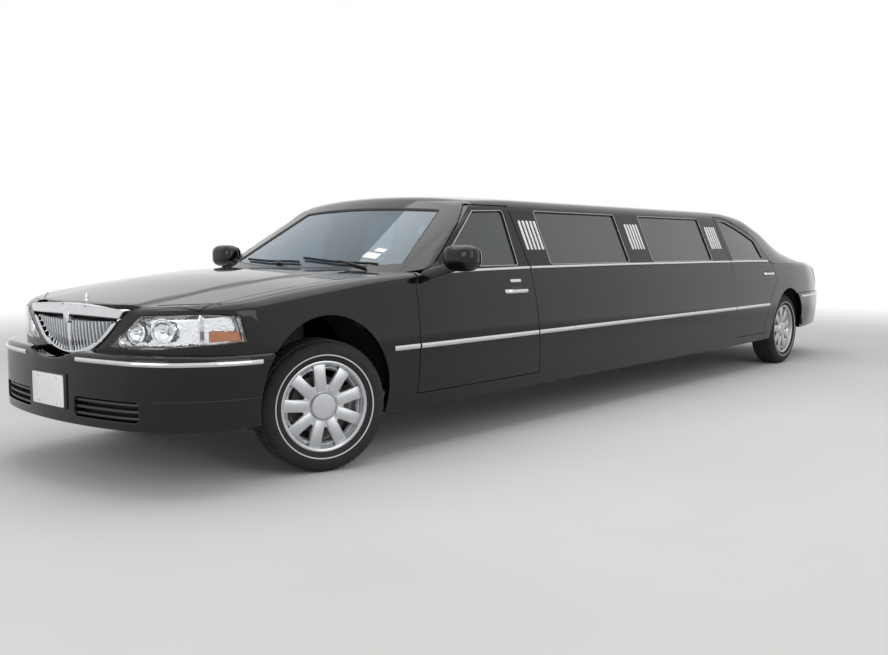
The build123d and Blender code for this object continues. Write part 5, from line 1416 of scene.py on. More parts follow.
def trace(skin: Skin, view: tuple[int, int], points: Line, span: Place,
          spacing: float = 0.02) -> Outline:
    """Lays a line drawn in a view on a ring skin.

    Args:
        skin: the ring skin.
        view: which two of x, y and z the line is drawn in.
        points: the line's points.
        span: the part of the ring that it lies on.
        spacing: the gap between points of the result.

    Returns:
        The line in the skin's coordinates.
    """
    dense = open_dense(points, spacing)
    levels = TOP_LEVELS if view == PLAN_VIEW else WALL_LEVELS
    guesses = np.stack(np.meshgrid(np.linspace(*span, GUESSES_ROUND), levels), -1).reshape(-1, 2)
    places = skin.place(guesses[:, 0], guesses[:, 1])[:, list(view)]
    start = guesses[((places[None] - dense[:, None]) ** 2).sum(2).argmin(1)]
    spot = skin.locate(view, dense, start)
    return [(float(w), float(v)) for w, v in spot]


def on_side(skin: Skin, points: Line, spacing: float = 0.03) -> Outline:
    """Lays a closed side-view outline on a skin over x and c."""
    dense = densified(points, spacing)
    c = skin.find_b(dense[:, 0], 2, dense[:, 1], *SIDE_REACH)
    return [(float(x), float(b)) for x, b in zip(dense[:, 0], c)]


def from_above(skin: Skin, points: Line, spacing: float = 0.03) -> Outline:
    """Lays a closed plan outline on a skin over x and c."""
    dense = densified(points, spacing)
    c = skin.find_b(dense[:, 0], 1, dense[:, 1], *TOP_REACH)
    return [(float(x), float(b)) for x, b in zip(dense[:, 0], c)]


def stations(points: Line, station: Callable[[float], float]) -> Outline:
    """Points with their distances from an axle turned into stations."""
    return [(station(x), z) for x, z in points]


def shoulder_line(x_from: float, x_to: float, spacing: float = 0.04) -> Outline:
    """The inner end of the lower body's rounded shoulder between two stations, on the lower skin."""
    xs = np.linspace(x_from, x_to, max(2, int(abs(x_to - x_from) / spacing)))
    reach = LowerBody().rounding(xs)
    return [(float(RING.w_at_x(x)), float(r) + SHOULDER_INSET) for x, r in zip(xs, reach)]


def circle_arc(centre: Place, radius: float, start: float, end: float, pieces: int = 24) -> Outline:
    """Points of an arc between two angles in degrees."""
    return [(centre[0] + radius * cos(radians(start + (end - start) * i / pieces)),
             centre[1] + radius * sin(radians(start + (end - start) * i / pieces)))
            for i in range(pieces + 1)]


def angle_at(height: float, radius: float) -> float:
    """Angle in degrees at which a circle reaches a height over its middle."""
    return float(np.degrees(np.arcsin(height / radius)))


@dataclass(frozen=True)
class DoorShape:
    """One door's side-view outlines, as stations and heights.

    Attributes:
        low: its outline below the belt, from the belt's front end round the foot to the belt's rear end.
        frame: its outline above the belt.
        window: the opening in it.
    """

    low: Outline
    frame: Outline
    window: Outline


FRONT_DOOR = DoorShape(
    stations([(-0.604, 0.998), (-0.594, 0.975), (-0.580, 0.940), (-0.580, 0.345), (-1.745, 0.345),
              (-1.702, 0.635), (-1.664, 0.998)], ahead),
    corner_rounded(stations([(-0.668, 1.016), (-0.750, 1.042), (-1.262, 1.412), (-1.640, 1.412),
                             (-1.663, 1.016)], ahead), 0.03),
    corner_rounded(stations([(-0.806, 1.040), (-1.266, 1.376), (-1.572, 1.386), (-1.548, 1.040)], ahead),
                   0.024))
REAR_TOP = arc_through((-1.180, 1.410), (-0.860, 1.332), (-0.560, 1.222))
REAR_FOOT = arc_through((-0.318, 0.838), (-0.528, 0.596), (-0.590, 0.345), 20)
REAR_DOOR = DoorShape(
    stations([(-0.418, 0.998)] + REAR_FOOT + [(-0.590, 0.345), (-1.228, 0.345),
             (-1.288, 0.635), (-1.327, 0.998)], behind),
    stations([(-0.425, 1.016), (-1.328, 1.016), (-1.352, 1.412)] + REAR_TOP
             + [(-0.560, 1.222), (-0.470, 1.090)], behind),
    corner_rounded(stations([(-0.578, 1.040), (-1.258, 1.040), (-1.278, 1.386), (-1.168, 1.382)]
                            + arc_through((-1.168, 1.382), (-0.870, 1.299), (-0.622, 1.206))[1:]
                            + [(-0.622, 1.206)], behind), 0.012))
STRETCH_WINDOWS = [
    corner_rounded(stations([(x1, 1.040), (x2, 1.040), (x2, 1.392), (x1, 1.392)], ahead), 0.024)
    for x1, x2 in ((-2.950, -1.915), (-4.355, -3.310))]
ARCH_FRONT = ((ahead(0.080), 0.385), 0.430)
ARCH_REAR = ((behind(0.0), 0.345), 0.405)


def lower_loop(side_points: Outline, span: Place) -> Outline:
    """A closed outline on the lower skin whose upper edge lies inside the shoulder."""
    low = trace(LOWER, SIDE_VIEW, side_points, span)
    top = shoulder_line(side_points[-1][0], side_points[0][0])
    return low + top


@dataclass(frozen=True)
class Doors:
    """The four doors: skins over the frame's doors, with their window frames and glass."""

    skin_depth: float = 0.012

    def build(self) -> None:
        """Makes all four doors."""
        for name, shape, span in (("front", FRONT_DOOR, DOOR_SPAN), ("rear", REAR_DOOR, REAR_SPAN)):
            low = Panel(LOWER, [lower_loop(shape.low, span)], (0.06, 0.045), self.skin_depth).parts()
            loops = [on_side(CABIN, shape.frame), on_side(CABIN, shape.window)]
            upper = Panel(CABIN, loops, (0.05, 0.05), self.skin_depth, grow=0.001).parts()
            door = name + "_door_{}"
            for side in Side:
                keep_node(door.format(side.label), PAINT)
            keep_pair(low, door + "_lower_skin", PAINT, "paint", body=door)
            keep_pair(upper, door + "_window_frame", PILLAR_PAINT, "paint", body=door)
            keep_pair(pane_of(PANE, on_side(PANE, shape.window)), door + "_glass", SIDE_GLASS, "side_glass",
                      name + "_door_glass_{}", body=door)


@dataclass(frozen=True)
class SideWalls:
    """The stretched side walls with their fixed windows."""

    depth: float = 0.012

    def build(self) -> None:
        """Makes both walls."""
        front_edge = [(-1.671, 0.998), (-1.709, 0.635), (-1.752, 0.338), (-0.575, 0.338), (-0.575, 0.2665)]
        rear_edge = [(-0.575, 0.2765), (-0.575, 0.338), (-1.2210, 0.338), (-1.2810, 0.635), (-1.334, 0.998)]
        span = (RING.w_at_x(ahead(-0.4)), RING.w_at_x(behind(-0.4)))
        loop = trace(LOWER, SIDE_VIEW, stations(front_edge, ahead) + stations(rear_edge, behind), span)
        loop += shoulder_line(behind(-1.334), ahead(-1.671))
        upper = stations([(-1.671, 1.016), (-1.650, 1.405)], ahead)
        upper += stations([(-1.359, 1.405), (-1.335, 1.016)], behind)
        loops = [on_side(CABIN, upper)] + [on_side(CABIN, window) for window in STRETCH_WINDOWS]
        keep_node("side_panels", PAINT)
        keep_pair(Panel(LOWER, [loop], (0.07, 0.045), self.depth).parts(), "side_wall_{}", PAINT, "paint")
        keep_pair(Panel(CABIN, loops, (0.07, 0.05), self.depth, grow=0.001).parts(), "side_pillars_{}",
                  PILLAR_PAINT, "paint")
        for i, window in enumerate(STRETCH_WINDOWS):
            keep_pair(pane_of(PANE, on_side(PANE, window), (0.08, 0.06)), f"stretch_pane_{i + 1}_{{}}",
                      SIDE_GLASS, "side_glass", "fixed_glass")


@dataclass(frozen=True)
class Roof:
    """The roof with its pillars, the windscreen and the rear window."""

    depth: float = 0.040
    glass_inset: float = 0.006
    screen_low: Spot = (0.165, 0.0, 0.768)
    screen_high: Spot = (0.770, 0.735, 0.612)
    backlight: tuple[Place, ...] = ((-0.190, 0.600), (0.570, 0.655))

    def screen_outline(self, inset: float) -> Outline:
        """The windscreen's outline over its half width and the distance up the glass."""
        low, low_middle, low_half = (value + sign * inset for value, sign in zip(self.screen_low, (1, 1, -1)))
        high, high_middle, high_half = (value - inset for value in self.screen_high)
        bottom = arc_through((-low_half, low), (0, low_middle), (low_half, low), 24)
        top = arc_through((high_half, high), (0, high_middle), (-high_half, high), 20)
        return corner_rounded(bottom + [(low_half, low)] + top + [(-high_half, high)], 0.02, 3)

    def build(self) -> None:
        """Makes the roof panel and its two panes."""
        side = stations([(-0.600, 0.990), (-0.600, 1.010), (-0.747, 1.050), (-1.259, 1.4195)], ahead)
        side += stations([(-1.650, 1.4195), (-1.650, 1.409)], ahead)
        side += stations([(-1.359, 1.409), (-1.359, 1.4195), (-1.179, 1.4175)], behind)
        side += stations([(x, z + 0.0075) for x, z in REAR_TOP[1:]], behind)
        side += stations([(-0.554, 1.227), (-0.464, 1.094), (-0.408, 1.000)], behind)
        side += stations([(-0.30, 0.992), (0.20, 0.992), (0.44, 0.988), (0.56, 0.978), (0.618, 0.970)],
                         behind)
        dense = open_dense(side, 0.03)
        left = np.stack([dense[:, 0], CABIN.find_b(dense[:, 0], 2, dense[:, 1], 0.55, 1.35)], 1)
        rear = [(behind(0.636), 0.62), (behind(0.672), 0.0)]
        front = [(ahead(-0.52), 0.72), (ahead(-0.470), 0.40), (ahead(-0.440), 0.0)]
        half = front[::-1] + [tuple(p) for p in left] + rear
        loop = half + [(x, -c) for x, c in reversed(half) if c > 1e-6]
        screen = screen_skin(0.0)
        line = densified(self.screen_outline(0.0), 0.03)
        spots = screen.place(line[:, 0], line[:, 1])
        c = CABIN.find_b(spots[:, 0], 1, spots[:, 1], -1.2, 1.2)
        screen_hole = [(float(x), float(b)) for x, b in zip(spots[:, 0], c)]
        (high_x, high_half), (low_x, low_half) = self.backlight
        backlight = corner_rounded([(behind(high_x), high_half), (behind(high_x), -high_half),
                                    (behind(low_x), -low_half), (behind(low_x), low_half)], 0.05)
        panel = Panel(CABIN, [loop, screen_hole, from_above(CABIN, backlight)], (0.06, 0.045), self.depth)
        keep_shape(panel.parts(), "roof_with_pillars", PAINT, "paint", "roof_panel")
        screen_glass = pane_of(screen_skin(-self.glass_inset), self.screen_outline(0.001))
        keep_shape(screen_glass, "windscreen", SCREEN_GLASS_PAINTED_REFLECTION, "screen_glass", "fixed_glass")
        rear_glass = pane_of(roof_skin(Cabin(), -self.glass_inset), from_above(PANE, backlight))
        keep_shape(rear_glass, "rear_window", SIDE_GLASS, "side_glass", "fixed_glass")


LAMP_LOW = [(0.318, 0.676), (0.700, 0.690), (0.800, 0.7007)]
LAMP_HIGH = [(0.318, 0.676), (0.548, 0.834), (0.800, 0.846)]


def lamp_loop(skin: Skin, grow: float = 0.0) -> Outline:
    """The headlamp's outline on a ring skin, or that much larger."""
    top = [(y - (grow if i == 0 else 0), z + grow) for i, (y, z) in enumerate(LAMP_HIGH)]
    low = [(y - (grow if i == 0 else 0), z - grow) for i, (y, z) in enumerate(LAMP_LOW)]
    turn_x = float(skin.place(np.array([trace(skin, END_VIEW, [top[-1], top[-1]], FRONT_SPAN)[0][0]]),
                              np.array([-0.15]))[0, 0])
    rear = [(ahead(0.587) - grow, 0.838 + grow), (ahead(0.559) - grow, 0.714 - grow)]
    upper = trace(skin, END_VIEW, low[::-1][-1:] + top[1:], FRONT_SPAN)
    side = trace(skin, SIDE_VIEW, [(turn_x - 0.02, 0.8455 + grow)] + rear + [(turn_x - 0.02, 0.702 - grow)],
                 FRONT_SPAN)
    lower = trace(skin, END_VIEW, low[::-1][:-1], FRONT_SPAN)
    return upper + side + lower


@dataclass(frozen=True)
class FrontEnd:
    """The front wings, bonnet and front bumper."""

    wing_depth: float = 0.034
    bonnet_depth: float = 0.030
    bonnet_corners: tuple[Place, Place] = ((ahead(0.730), 0.790), (ahead(-0.520), 0.822))
    bonnet_middles: Place = (ahead(0.905), ahead(-0.390))
    wing_foot_z: float = 0.6575
    bumper_foot_z: float = 0.312

    def bonnet_outline(self, grow: float) -> Outline:
        """The bonnet's left half in plan, from the middle of its front edge to that of its rear edge."""
        (front_x, front_half), (rear_x, rear_half) = self.bonnet_corners
        front_middle, rear_middle = self.bonnet_middles
        front = arc_through((front_x, front_half), (front_middle, 0.0), (front_x, -front_half), EDGE_PIECES)
        rear = arc_through((rear_x, rear_half), (rear_middle, 0.0), (rear_x, -rear_half), EDGE_PIECES)
        front, rear = front[:HALF_EDGE], rear[:HALF_EDGE]
        front = [(x + grow, y) for x, y in front[::-1]]
        rear = [(x - grow, y) for x, y in rear]
        front[-1] = (front[-1][0] - 0.3 * grow, front[-1][1] + grow)
        rear[0] = (rear[0][0], rear[0][1] + grow)
        return front + rear

    def build(self) -> None:
        """Makes the front end's panels."""
        self.wings()
        self.bonnet()
        self.bumper()

    def wings(self) -> None:
        """The two front wings with the strips round the lamps."""
        rear_edge = trace(LOWER, SIDE_VIEW,
                          stations([(-0.573, 0.2665), (-0.573, 0.940), (-0.592, 0.985)], ahead), FRONT_SPAN)
        tip = trace(LOWER, PLAN_VIEW, stations([(-0.588, 0.915), (-0.588, 0.829), (-0.527, 0.829)], ahead),
                    FRONT_SPAN)
        side = trace(LOWER, PLAN_VIEW, stations([(-0.527, 0.829), (0.733, 0.797)], ahead), FRONT_SPAN)[1:]
        front_edge = [(x, y) for x, y in self.bonnet_outline(0.007)[:HALF_EDGE] if y > 0.462][::-1]
        front = trace(LOWER, PLAN_VIEW, front_edge, FRONT_SPAN)[1:]
        beside_grille = arc_through((0.456, 0.857), (0.351, 0.744), (0.216, 0.656))[1:]
        down = trace(LOWER, END_VIEW, [(0.456, 0.857)] + beside_grille + [(0.216, 0.657)], FRONT_SPAN)
        low = trace(LOWER, END_VIEW, [(0.216, self.wing_foot_z), (0.80, self.wing_foot_z)], FRONT_SPAN)[1:]
        centre, radius = ARCH_FRONT
        arch = circle_arc(centre, radius, angle_at(self.wing_foot_z - centre[1], radius),
                          180 - angle_at(-0.1185, radius), 40)
        arch_line = trace(LOWER, SIDE_VIEW, arch, FRONT_SPAN, 0.03)
        loop = rear_edge + tip + side + front + down + low + arch_line
        panel = Panel(LOWER, [loop, lamp_loop(LOWER, 0.003)], (0.045, 0.035), self.wing_depth)
        keep_shape(panel.parts().mirrored(), "front_wings_skin", PAINT, "paint", "front_wings")

    def bonnet(self) -> None:
        """The bonnet, with its raised middle."""
        half = self.bonnet_outline(0.0)
        loop = half + [(x, -y) for x, y in half[-2:0:-1]]
        panel = Panel(BONNET_SKIN, [loop], (0.04, 0.035), self.bonnet_depth)
        keep_shape(panel.parts(), "bonnet_skin", PAINT, "paint", "bonnet", body="bonnet")

    def bumper(self) -> None:
        """The front bumper with its two intakes."""
        skin = FRONT_BUMPER_SKIN
        centre, radius = ARCH_FRONT
        span = (0.0, FRONT_BUMPER_RING.w_at_x(ahead(0.0)))
        bottom = trace(skin, END_VIEW, [(0.0, self.bumper_foot_z), (0.80, self.bumper_foot_z)], span)
        arch = circle_arc(centre, radius, angle_at(self.bumper_foot_z - centre[1], radius),
                          angle_at(0.640 - centre[1], radius), 20)
        side = trace(skin, SIDE_VIEW, arch, span, 0.03)
        inner = [(side[-1][0], 0.05), (FRONT_BUMPER_RING.marks[1], 0.05), (FRONT_BUMPER_RING.marks[0], 0.12),
                 (0.24, 0.12)]
        bowl = [(0.215, 0.6555)] + arc_through((0.215, 0.6555), (0.0, 0.6155), (-0.215, 0.6555), 20)[1:11]
        notch = trace(skin, END_VIEW, [(y, min(z, 0.652)) for y, z in bowl], span)
        hole = trace(skin, END_VIEW, rectangle((0.220, 0.352), (0.640, 0.448), 0.02), span)
        panel = Panel(skin, [bottom + side + inner + notch, hole], (0.045, 0.03), 0.05, 0.006, on_middle=True)
        keep_shape(panel.parts().mirrored(), "front_bumper_skin", PAINT, "paint", "front_bumper")


@dataclass(frozen=True)
class RearEnd:
    """The quarter panels with the rear deck, the boot lid and the rear bumper."""

    depth: float = 0.034
    lid_depth: float = 0.010
    foot_z: float = 0.693
    bumper_foot_z: float = 0.330

    def build(self) -> None:
        """Makes the rear end's panels."""
        self.quarters()
        self.lid()
        self.bumper()

    def quarters(self) -> None:
        """Both quarter panels, joined by the deck behind the rear window."""
        foot = [(x + 0.007, z) for x, z in REAR_FOOT[::-1]]
        edge = stations([(-0.573, 0.2765), (-0.573, 0.345), (-0.583, 0.345)] + foot + [(-0.411, 0.998)],
                        behind)
        rise = trace(LOWER, SIDE_VIEW, edge, REAR_SPAN)
        deck_points = stations([(-0.395, 0.88), (-0.187, 0.79), (-0.187, 0.0), (0.692, 0.0)], behind)
        deck = trace(LOWER, PLAN_VIEW, deck_points, (REAR_SPAN[0], RING.marks[2]))
        corner_x, half = behind(0.648), 0.647
        front = arc_through((corner_x, half), (behind(0.692), 0.0), (corner_x, -half), EDGE_PIECES)
        top = front[:HALF_EDGE][::-1] + [(behind(1.308), 0.553)]
        lid_line = trace(LOWER, PLAN_VIEW, top[1:], REAR_SPAN)
        lamp = trace(LOWER, END_VIEW, [(0.550, 0.938), (0.62, 0.938)], REAR_SPAN)
        round_lamp = stations([(1.290, 0.938), (1.102, 0.938), (1.102, 0.719), (1.290, 0.719)], behind)
        lamp += trace(LOWER, SIDE_VIEW, round_lamp, REAR_SPAN)
        under_lamp = [(0.62, 0.719), (0.550, 0.719), (0.550, self.foot_z), (0.64, self.foot_z)]
        lamp += trace(LOWER, END_VIEW, under_lamp, REAR_SPAN)
        centre, radius = ARCH_REAR
        low = trace(LOWER, SIDE_VIEW, [(behind(1.28), self.foot_z), (centre[0] - 0.207, self.foot_z)],
                    REAR_SPAN)
        start = 180 - angle_at(self.foot_z - centre[1], radius)
        arch = trace(LOWER, SIDE_VIEW, circle_arc(centre, radius, start, angle_at(-0.068, radius), 40),
                     REAR_SPAN, 0.03)
        loop = rise + deck + lid_line + lamp + low + arch
        panel = Panel(LOWER, [loop], (0.045, 0.04), self.depth, on_middle=True)
        keep_shape(panel.parts().mirrored(), "quarter_panels_skin", PAINT, "paint", "quarter_panels")

    def lid(self) -> None:
        """The boot lid."""
        corner_x, half = behind(0.655), 0.640
        front = arc_through((corner_x, half), (behind(0.700), 0.0), (corner_x, -half), EDGE_PIECES)
        front.append((corner_x, -half))
        top = LID_SKIN.locate(PLAN_VIEW, np.array(front), np.array([(y, 0.6) for _, y in front]))
        heights = LID_SKIN.find_b(np.array([0.540]), 2, np.array([0.700]), -0.5, 0.0)
        foot = float(heights[0])
        loop = [(float(y), float(s)) for y, s in top]
        loop += [(-0.545, 0.045), (-0.541, foot), (0.541, foot), (0.545, 0.045)]
        panel = Panel(LID_SKIN, [loop], (0.05, 0.04), self.lid_depth)
        keep_shape(panel.parts(), "boot_lid_skin", PAINT, "paint", "boot_lid", body="boot_lid")

    def bumper(self) -> None:
        """The rear bumper."""
        skin, ring = REAR_BUMPER_SKIN, REAR_BUMPER_RING
        centre, radius = ARCH_REAR
        span = (ring.w_at_x(behind(0.0)), ring.marks[3])
        start = 180 - angle_at(0.675 - centre[1], radius)
        arch = circle_arc(centre, radius, start, 180 - angle_at(-0.015, radius), 24)
        side = trace(skin, SIDE_VIEW, arch, span, 0.03)
        foot_z = self.bumper_foot_z
        bottom = trace(skin, SIDE_VIEW, [(arch[-1][0], foot_z), (behind(1.1), foot_z)], span)[1:]
        middle = trace(skin, END_VIEW, [(0.60, foot_z), (0.0, foot_z)], span)
        top = [(ring.marks[3], 0.13), (ring.marks[2] + 0.5, 0.13), (side[0][0], 0.03)]
        panel = Panel(skin, [side + bottom + middle + top], (0.045, 0.03), 0.05, 0.006, on_middle=True)
        keep_shape(panel.parts().mirrored(), "rear_bumper_skin", PAINT, "paint", "rear_bumper")


RING_OF_PIECES = Repeat(Layout.RING)
ROW_OF_PIECES = Repeat(Layout.ROW)


@dataclass(frozen=True)
class Wheel:
    """A road wheel with its tyre.

    Its own axes are x forward, y outward along the axle and z up.

    Attributes:
        name: the wheel's name in the frame, such as front.
        side: the side of the car.
        centre: the middle of the tyre.
        turn: how far the wheel is turned to the right, in degrees.
        tread_radius: where the tread's blocks stand.
        spokes: how many spokes it has.
        spoke_phase: how far the first spoke is turned from upright, in degrees.
        tread_blocks: how many blocks there are in a rib.
        around: how many points there are round the rim and the tyre.
    """

    name: str
    side: Side
    centre: Spot
    turn: float = 0.0
    tread_radius: float = 0.3365
    spokes: int = 9
    spoke_phase: float = 4.0
    tread_blocks: int = 66
    around: int = 96

    @property
    def axes(self) -> list[Spot]:
        """The wheel's own axes in the car's."""
        lean, sign = radians(self.turn), self.side.value
        return [(cos(lean), -sin(lean), 0), (sign * sin(lean), sign * cos(lean), 0), (0, 0, 1)]

    def build(self) -> None:
        """Makes the tyre and the rim."""
        body = f"{self.name}_wheel_{self.side.label}"
        rim = f"{self.name}_rim_{self.side.label}"
        keep_piece(self.tyre(), body, "tyre_rubber", f"{self.name}_tyre_{self.side.label}")
        for part, shape, finish, slot, nodes in (
                ("tread", self.tread(), TREAD_RUBBER, "tyre_rubber", ()),
                ("barrel", self.barrel(), WHEEL_SILVER, "wheel_silver", (rim,)),
                ("spoked_disc", self.disc(), WHEEL_SILVER, "wheel_silver", (rim,)),
                ("brake_disc", self.brake(), CAST, "cast", ())):
            keep_shape(shape.moved(self.centre, self.axes), f"{body}_{part}", finish, slot, *nodes, body=body)

    def tyre(self) -> Object:
        """The tyre, whose UV map runs round it and across it."""
        half = [(0.2225, 0.083), (0.2300, 0.0915), (0.2365, 0.0975), (0.2440, 0.1005), (0.2580, 0.1065),
                (0.2740, 0.1095), (0.2920, 0.1105), (0.3100, 0.1050), (0.3230, 0.0975), (0.3325, 0.0865),
                (0.3362, 0.0690), (self.tread_radius, 0.0350), (self.tread_radius, 0.0)]
        side = smooth_line(half, 3)
        profile = np.vstack([side, side[-2::-1] * (1, -1)])
        rows = revolved([tuple(p) for p in profile], self.around)
        shell = shell_of(rows, True, True).moved(self.centre, self.axes)
        obj = shell.to_object(f"{self.name}_tyre_{self.side.label}_carcass", self.rubber(profile).material(),
                              sharp=60)
        layer = obj.data.uv_layers.new(name="UVMap")
        share = np.arange(len(profile)) / len(profile)
        for loop in obj.data.loops:
            row, place = divmod(loop.vertex_index, self.around)
            layer.data[loop.index].uv = (place / self.around, float(share[row]))
        return obj

    @staticmethod
    def rubber(profile: Points) -> StripedRubber:
        """The rubber with its pale ring just outside the rim, on the outer side."""
        outer = profile[:20]
        at = np.interp([0.2635, 0.2690], outer[:, 0], np.arange(len(outer))) / len(profile)
        return replace(RUBBER, stripe=(float(at[0]), float(at[1])))

    def tread(self) -> Solids:
        """Blocks round the tread, in five ribs."""
        piece = Solids()
        for y, width, slant in ((-0.068, 0.020, 0.3), (-0.036, 0.024, -0.2), (0.0, 0.022, 0.0),
                                (0.036, 0.024, 0.2), (0.068, 0.020, -0.3)):
            length = 0.0125 if abs(y) > 0.05 else 0.0135
            skew = slant * width
            outline = [(y - width / 2, skew - length), (y + width / 2, -skew - length),
                       (y + width / 2, length - skew), (y - width / 2, length + skew)]
            piece.add_plate(outline, -0.006, 0.0054 - 0.04 * abs(y) ** 1.6, 0.001)
        # The block's own x runs along the axle, y round the tyre and z outward
        block = piece.moved((0, 0, 0), ((0, 0, 1), (0, 1, 0), (1, 0, 0)))
        ring = RING_OF_PIECES.made(block, self.tread_blocks, self.tread_radius, TREAD_RUBBER.material())
        return ring.moved((0, 0, 0), FACING_SIDEWAYS)

    def barrel(self) -> Solids:
        """The rim's barrel with its flanges, hub, cap and nuts."""
        shells = Solids()
        half = [(0.2100, 0.0), (0.2100, 0.055), (0.2155, 0.078), (0.2190, 0.092), (0.2290, 0.0975),
                (0.2345, 0.0960), (0.2345, 0.0915), (0.2260, 0.0880), (0.2220, 0.0820), (0.2215, 0.060),
                (0.2150, 0.030), (0.2150, 0.0)]
        shells.add_grid(revolved(half + [(r, -y) for r, y in half[-2:0:-1]], self.around), True, True)
        cap = [(0.0005, 0.040), (0.074, 0.040), (0.074, 0.0755), (0.0705, 0.0790), (0.0690, 0.0770),
               (0.0675, 0.0800), (0.0640, 0.0845), (0.045, 0.0862), (0.020, 0.0868), (0.0005, 0.0870)]
        shells.add_grid(revolved(cap, 72))
        notch = plate_of(oval(0.0025, 0.0025, 6), 0.070, 0.0775, 0.0008)
        nuts = RING_OF_PIECES.made(notch, self.spokes, 0.0840, WHEEL_SILVER.material())
        edge = [(0.078, -0.0240), (0.150, -0.0290), (0.2080, -0.0335), (0.2165, -0.0320)]
        pad = plate_of(edge + [(0.2185, 0.0)] + [(r, -y) for r, y in edge[::-1]], 0.0700, 0.0785, 0.0022)
        spokes = RING_OF_PIECES.made(pad, self.spokes, 0.0, WHEEL_SILVER.material())
        tilt = radians(self.spoke_phase)
        turned = ((cos(tilt), 0, sin(tilt)), (-sin(tilt), 0, cos(tilt)), (0, 1, 0))
        return shells.added(nuts.moved((0, 0, 0), turned)).added(spokes.moved((0, 0, 0), turned))

    def disc(self) -> MeshParts:
        """The disc with a window between each two spokes."""

        def place(x: Points, z: Points) -> Points:
            """The disc's dished face."""
            radius = np.hypot(x, z)
            return np.stack([x, 0.0735 - 0.020 * smooth_step(0.19, 0.222, radius), z], 1)

        loops = [oval(0.2175, 0.2175, 72)]
        for spoke in range(self.spokes):
            middle = radians((spoke + 0.5) * 360 / self.spokes + self.spoke_phase)
            window = [(r * cos(middle + radians(a)), r * sin(middle + radians(a)))
                      for r, a in ((0.112, -3.5), (0.196, -10.5), (0.199, 0.0), (0.196, 10.5), (0.112, 3.5))]
            loops.append(corner_rounded(window, 0.008, 3))
        return Panel(Skin(place, -1), loops, (0.016, 0.016), 0.020, 0.002, 0.0).parts()

    def brake(self) -> Solids:
        """The brake disc and the hub behind the spokes."""
        profile = [(0.060, -0.022), (0.150, -0.022), (0.150, 0.000), (0.085, 0.000), (0.080, 0.045),
                   (0.060, 0.045)]
        return shell_of(revolved(profile, 64), True, True)


STEERED_DEGREES = 20.0
STEERED = radians(STEERED_DEGREES)
KNUCKLE_Y, HUB_REACH, REAR_WHEEL_Y = 0.739, 0.066, 0.825
WHEELS = [Wheel("front", side, (FRONT_AXLE_X + side.value * HUB_REACH * sin(STEERED),
                                side.value * (KNUCKLE_Y + HUB_REACH * cos(STEERED)), TYRE_RADIUS),
                STEERED_DEGREES) for side in Side]
WHEELS += [Wheel("rear", side, (REAR_AXLE_X, side.value * REAR_WHEEL_Y, TYRE_RADIUS)) for side in Side]


def nose_x(y: Points, proud: float) -> Points:
    """Station of the nose's curved face."""
    return RING.nose_x + proud - RING.face_radius + np.sqrt(RING.face_radius**2 - np.asarray(y) ** 2)


def nose_skin(proud: float) -> Skin:
    """The nose's face over y and z."""

    def place(y: Points, z: Points) -> Points:
        """Points at y and z."""
        return np.stack([nose_x(y, proud), y, z], 1)

    return Skin(place)


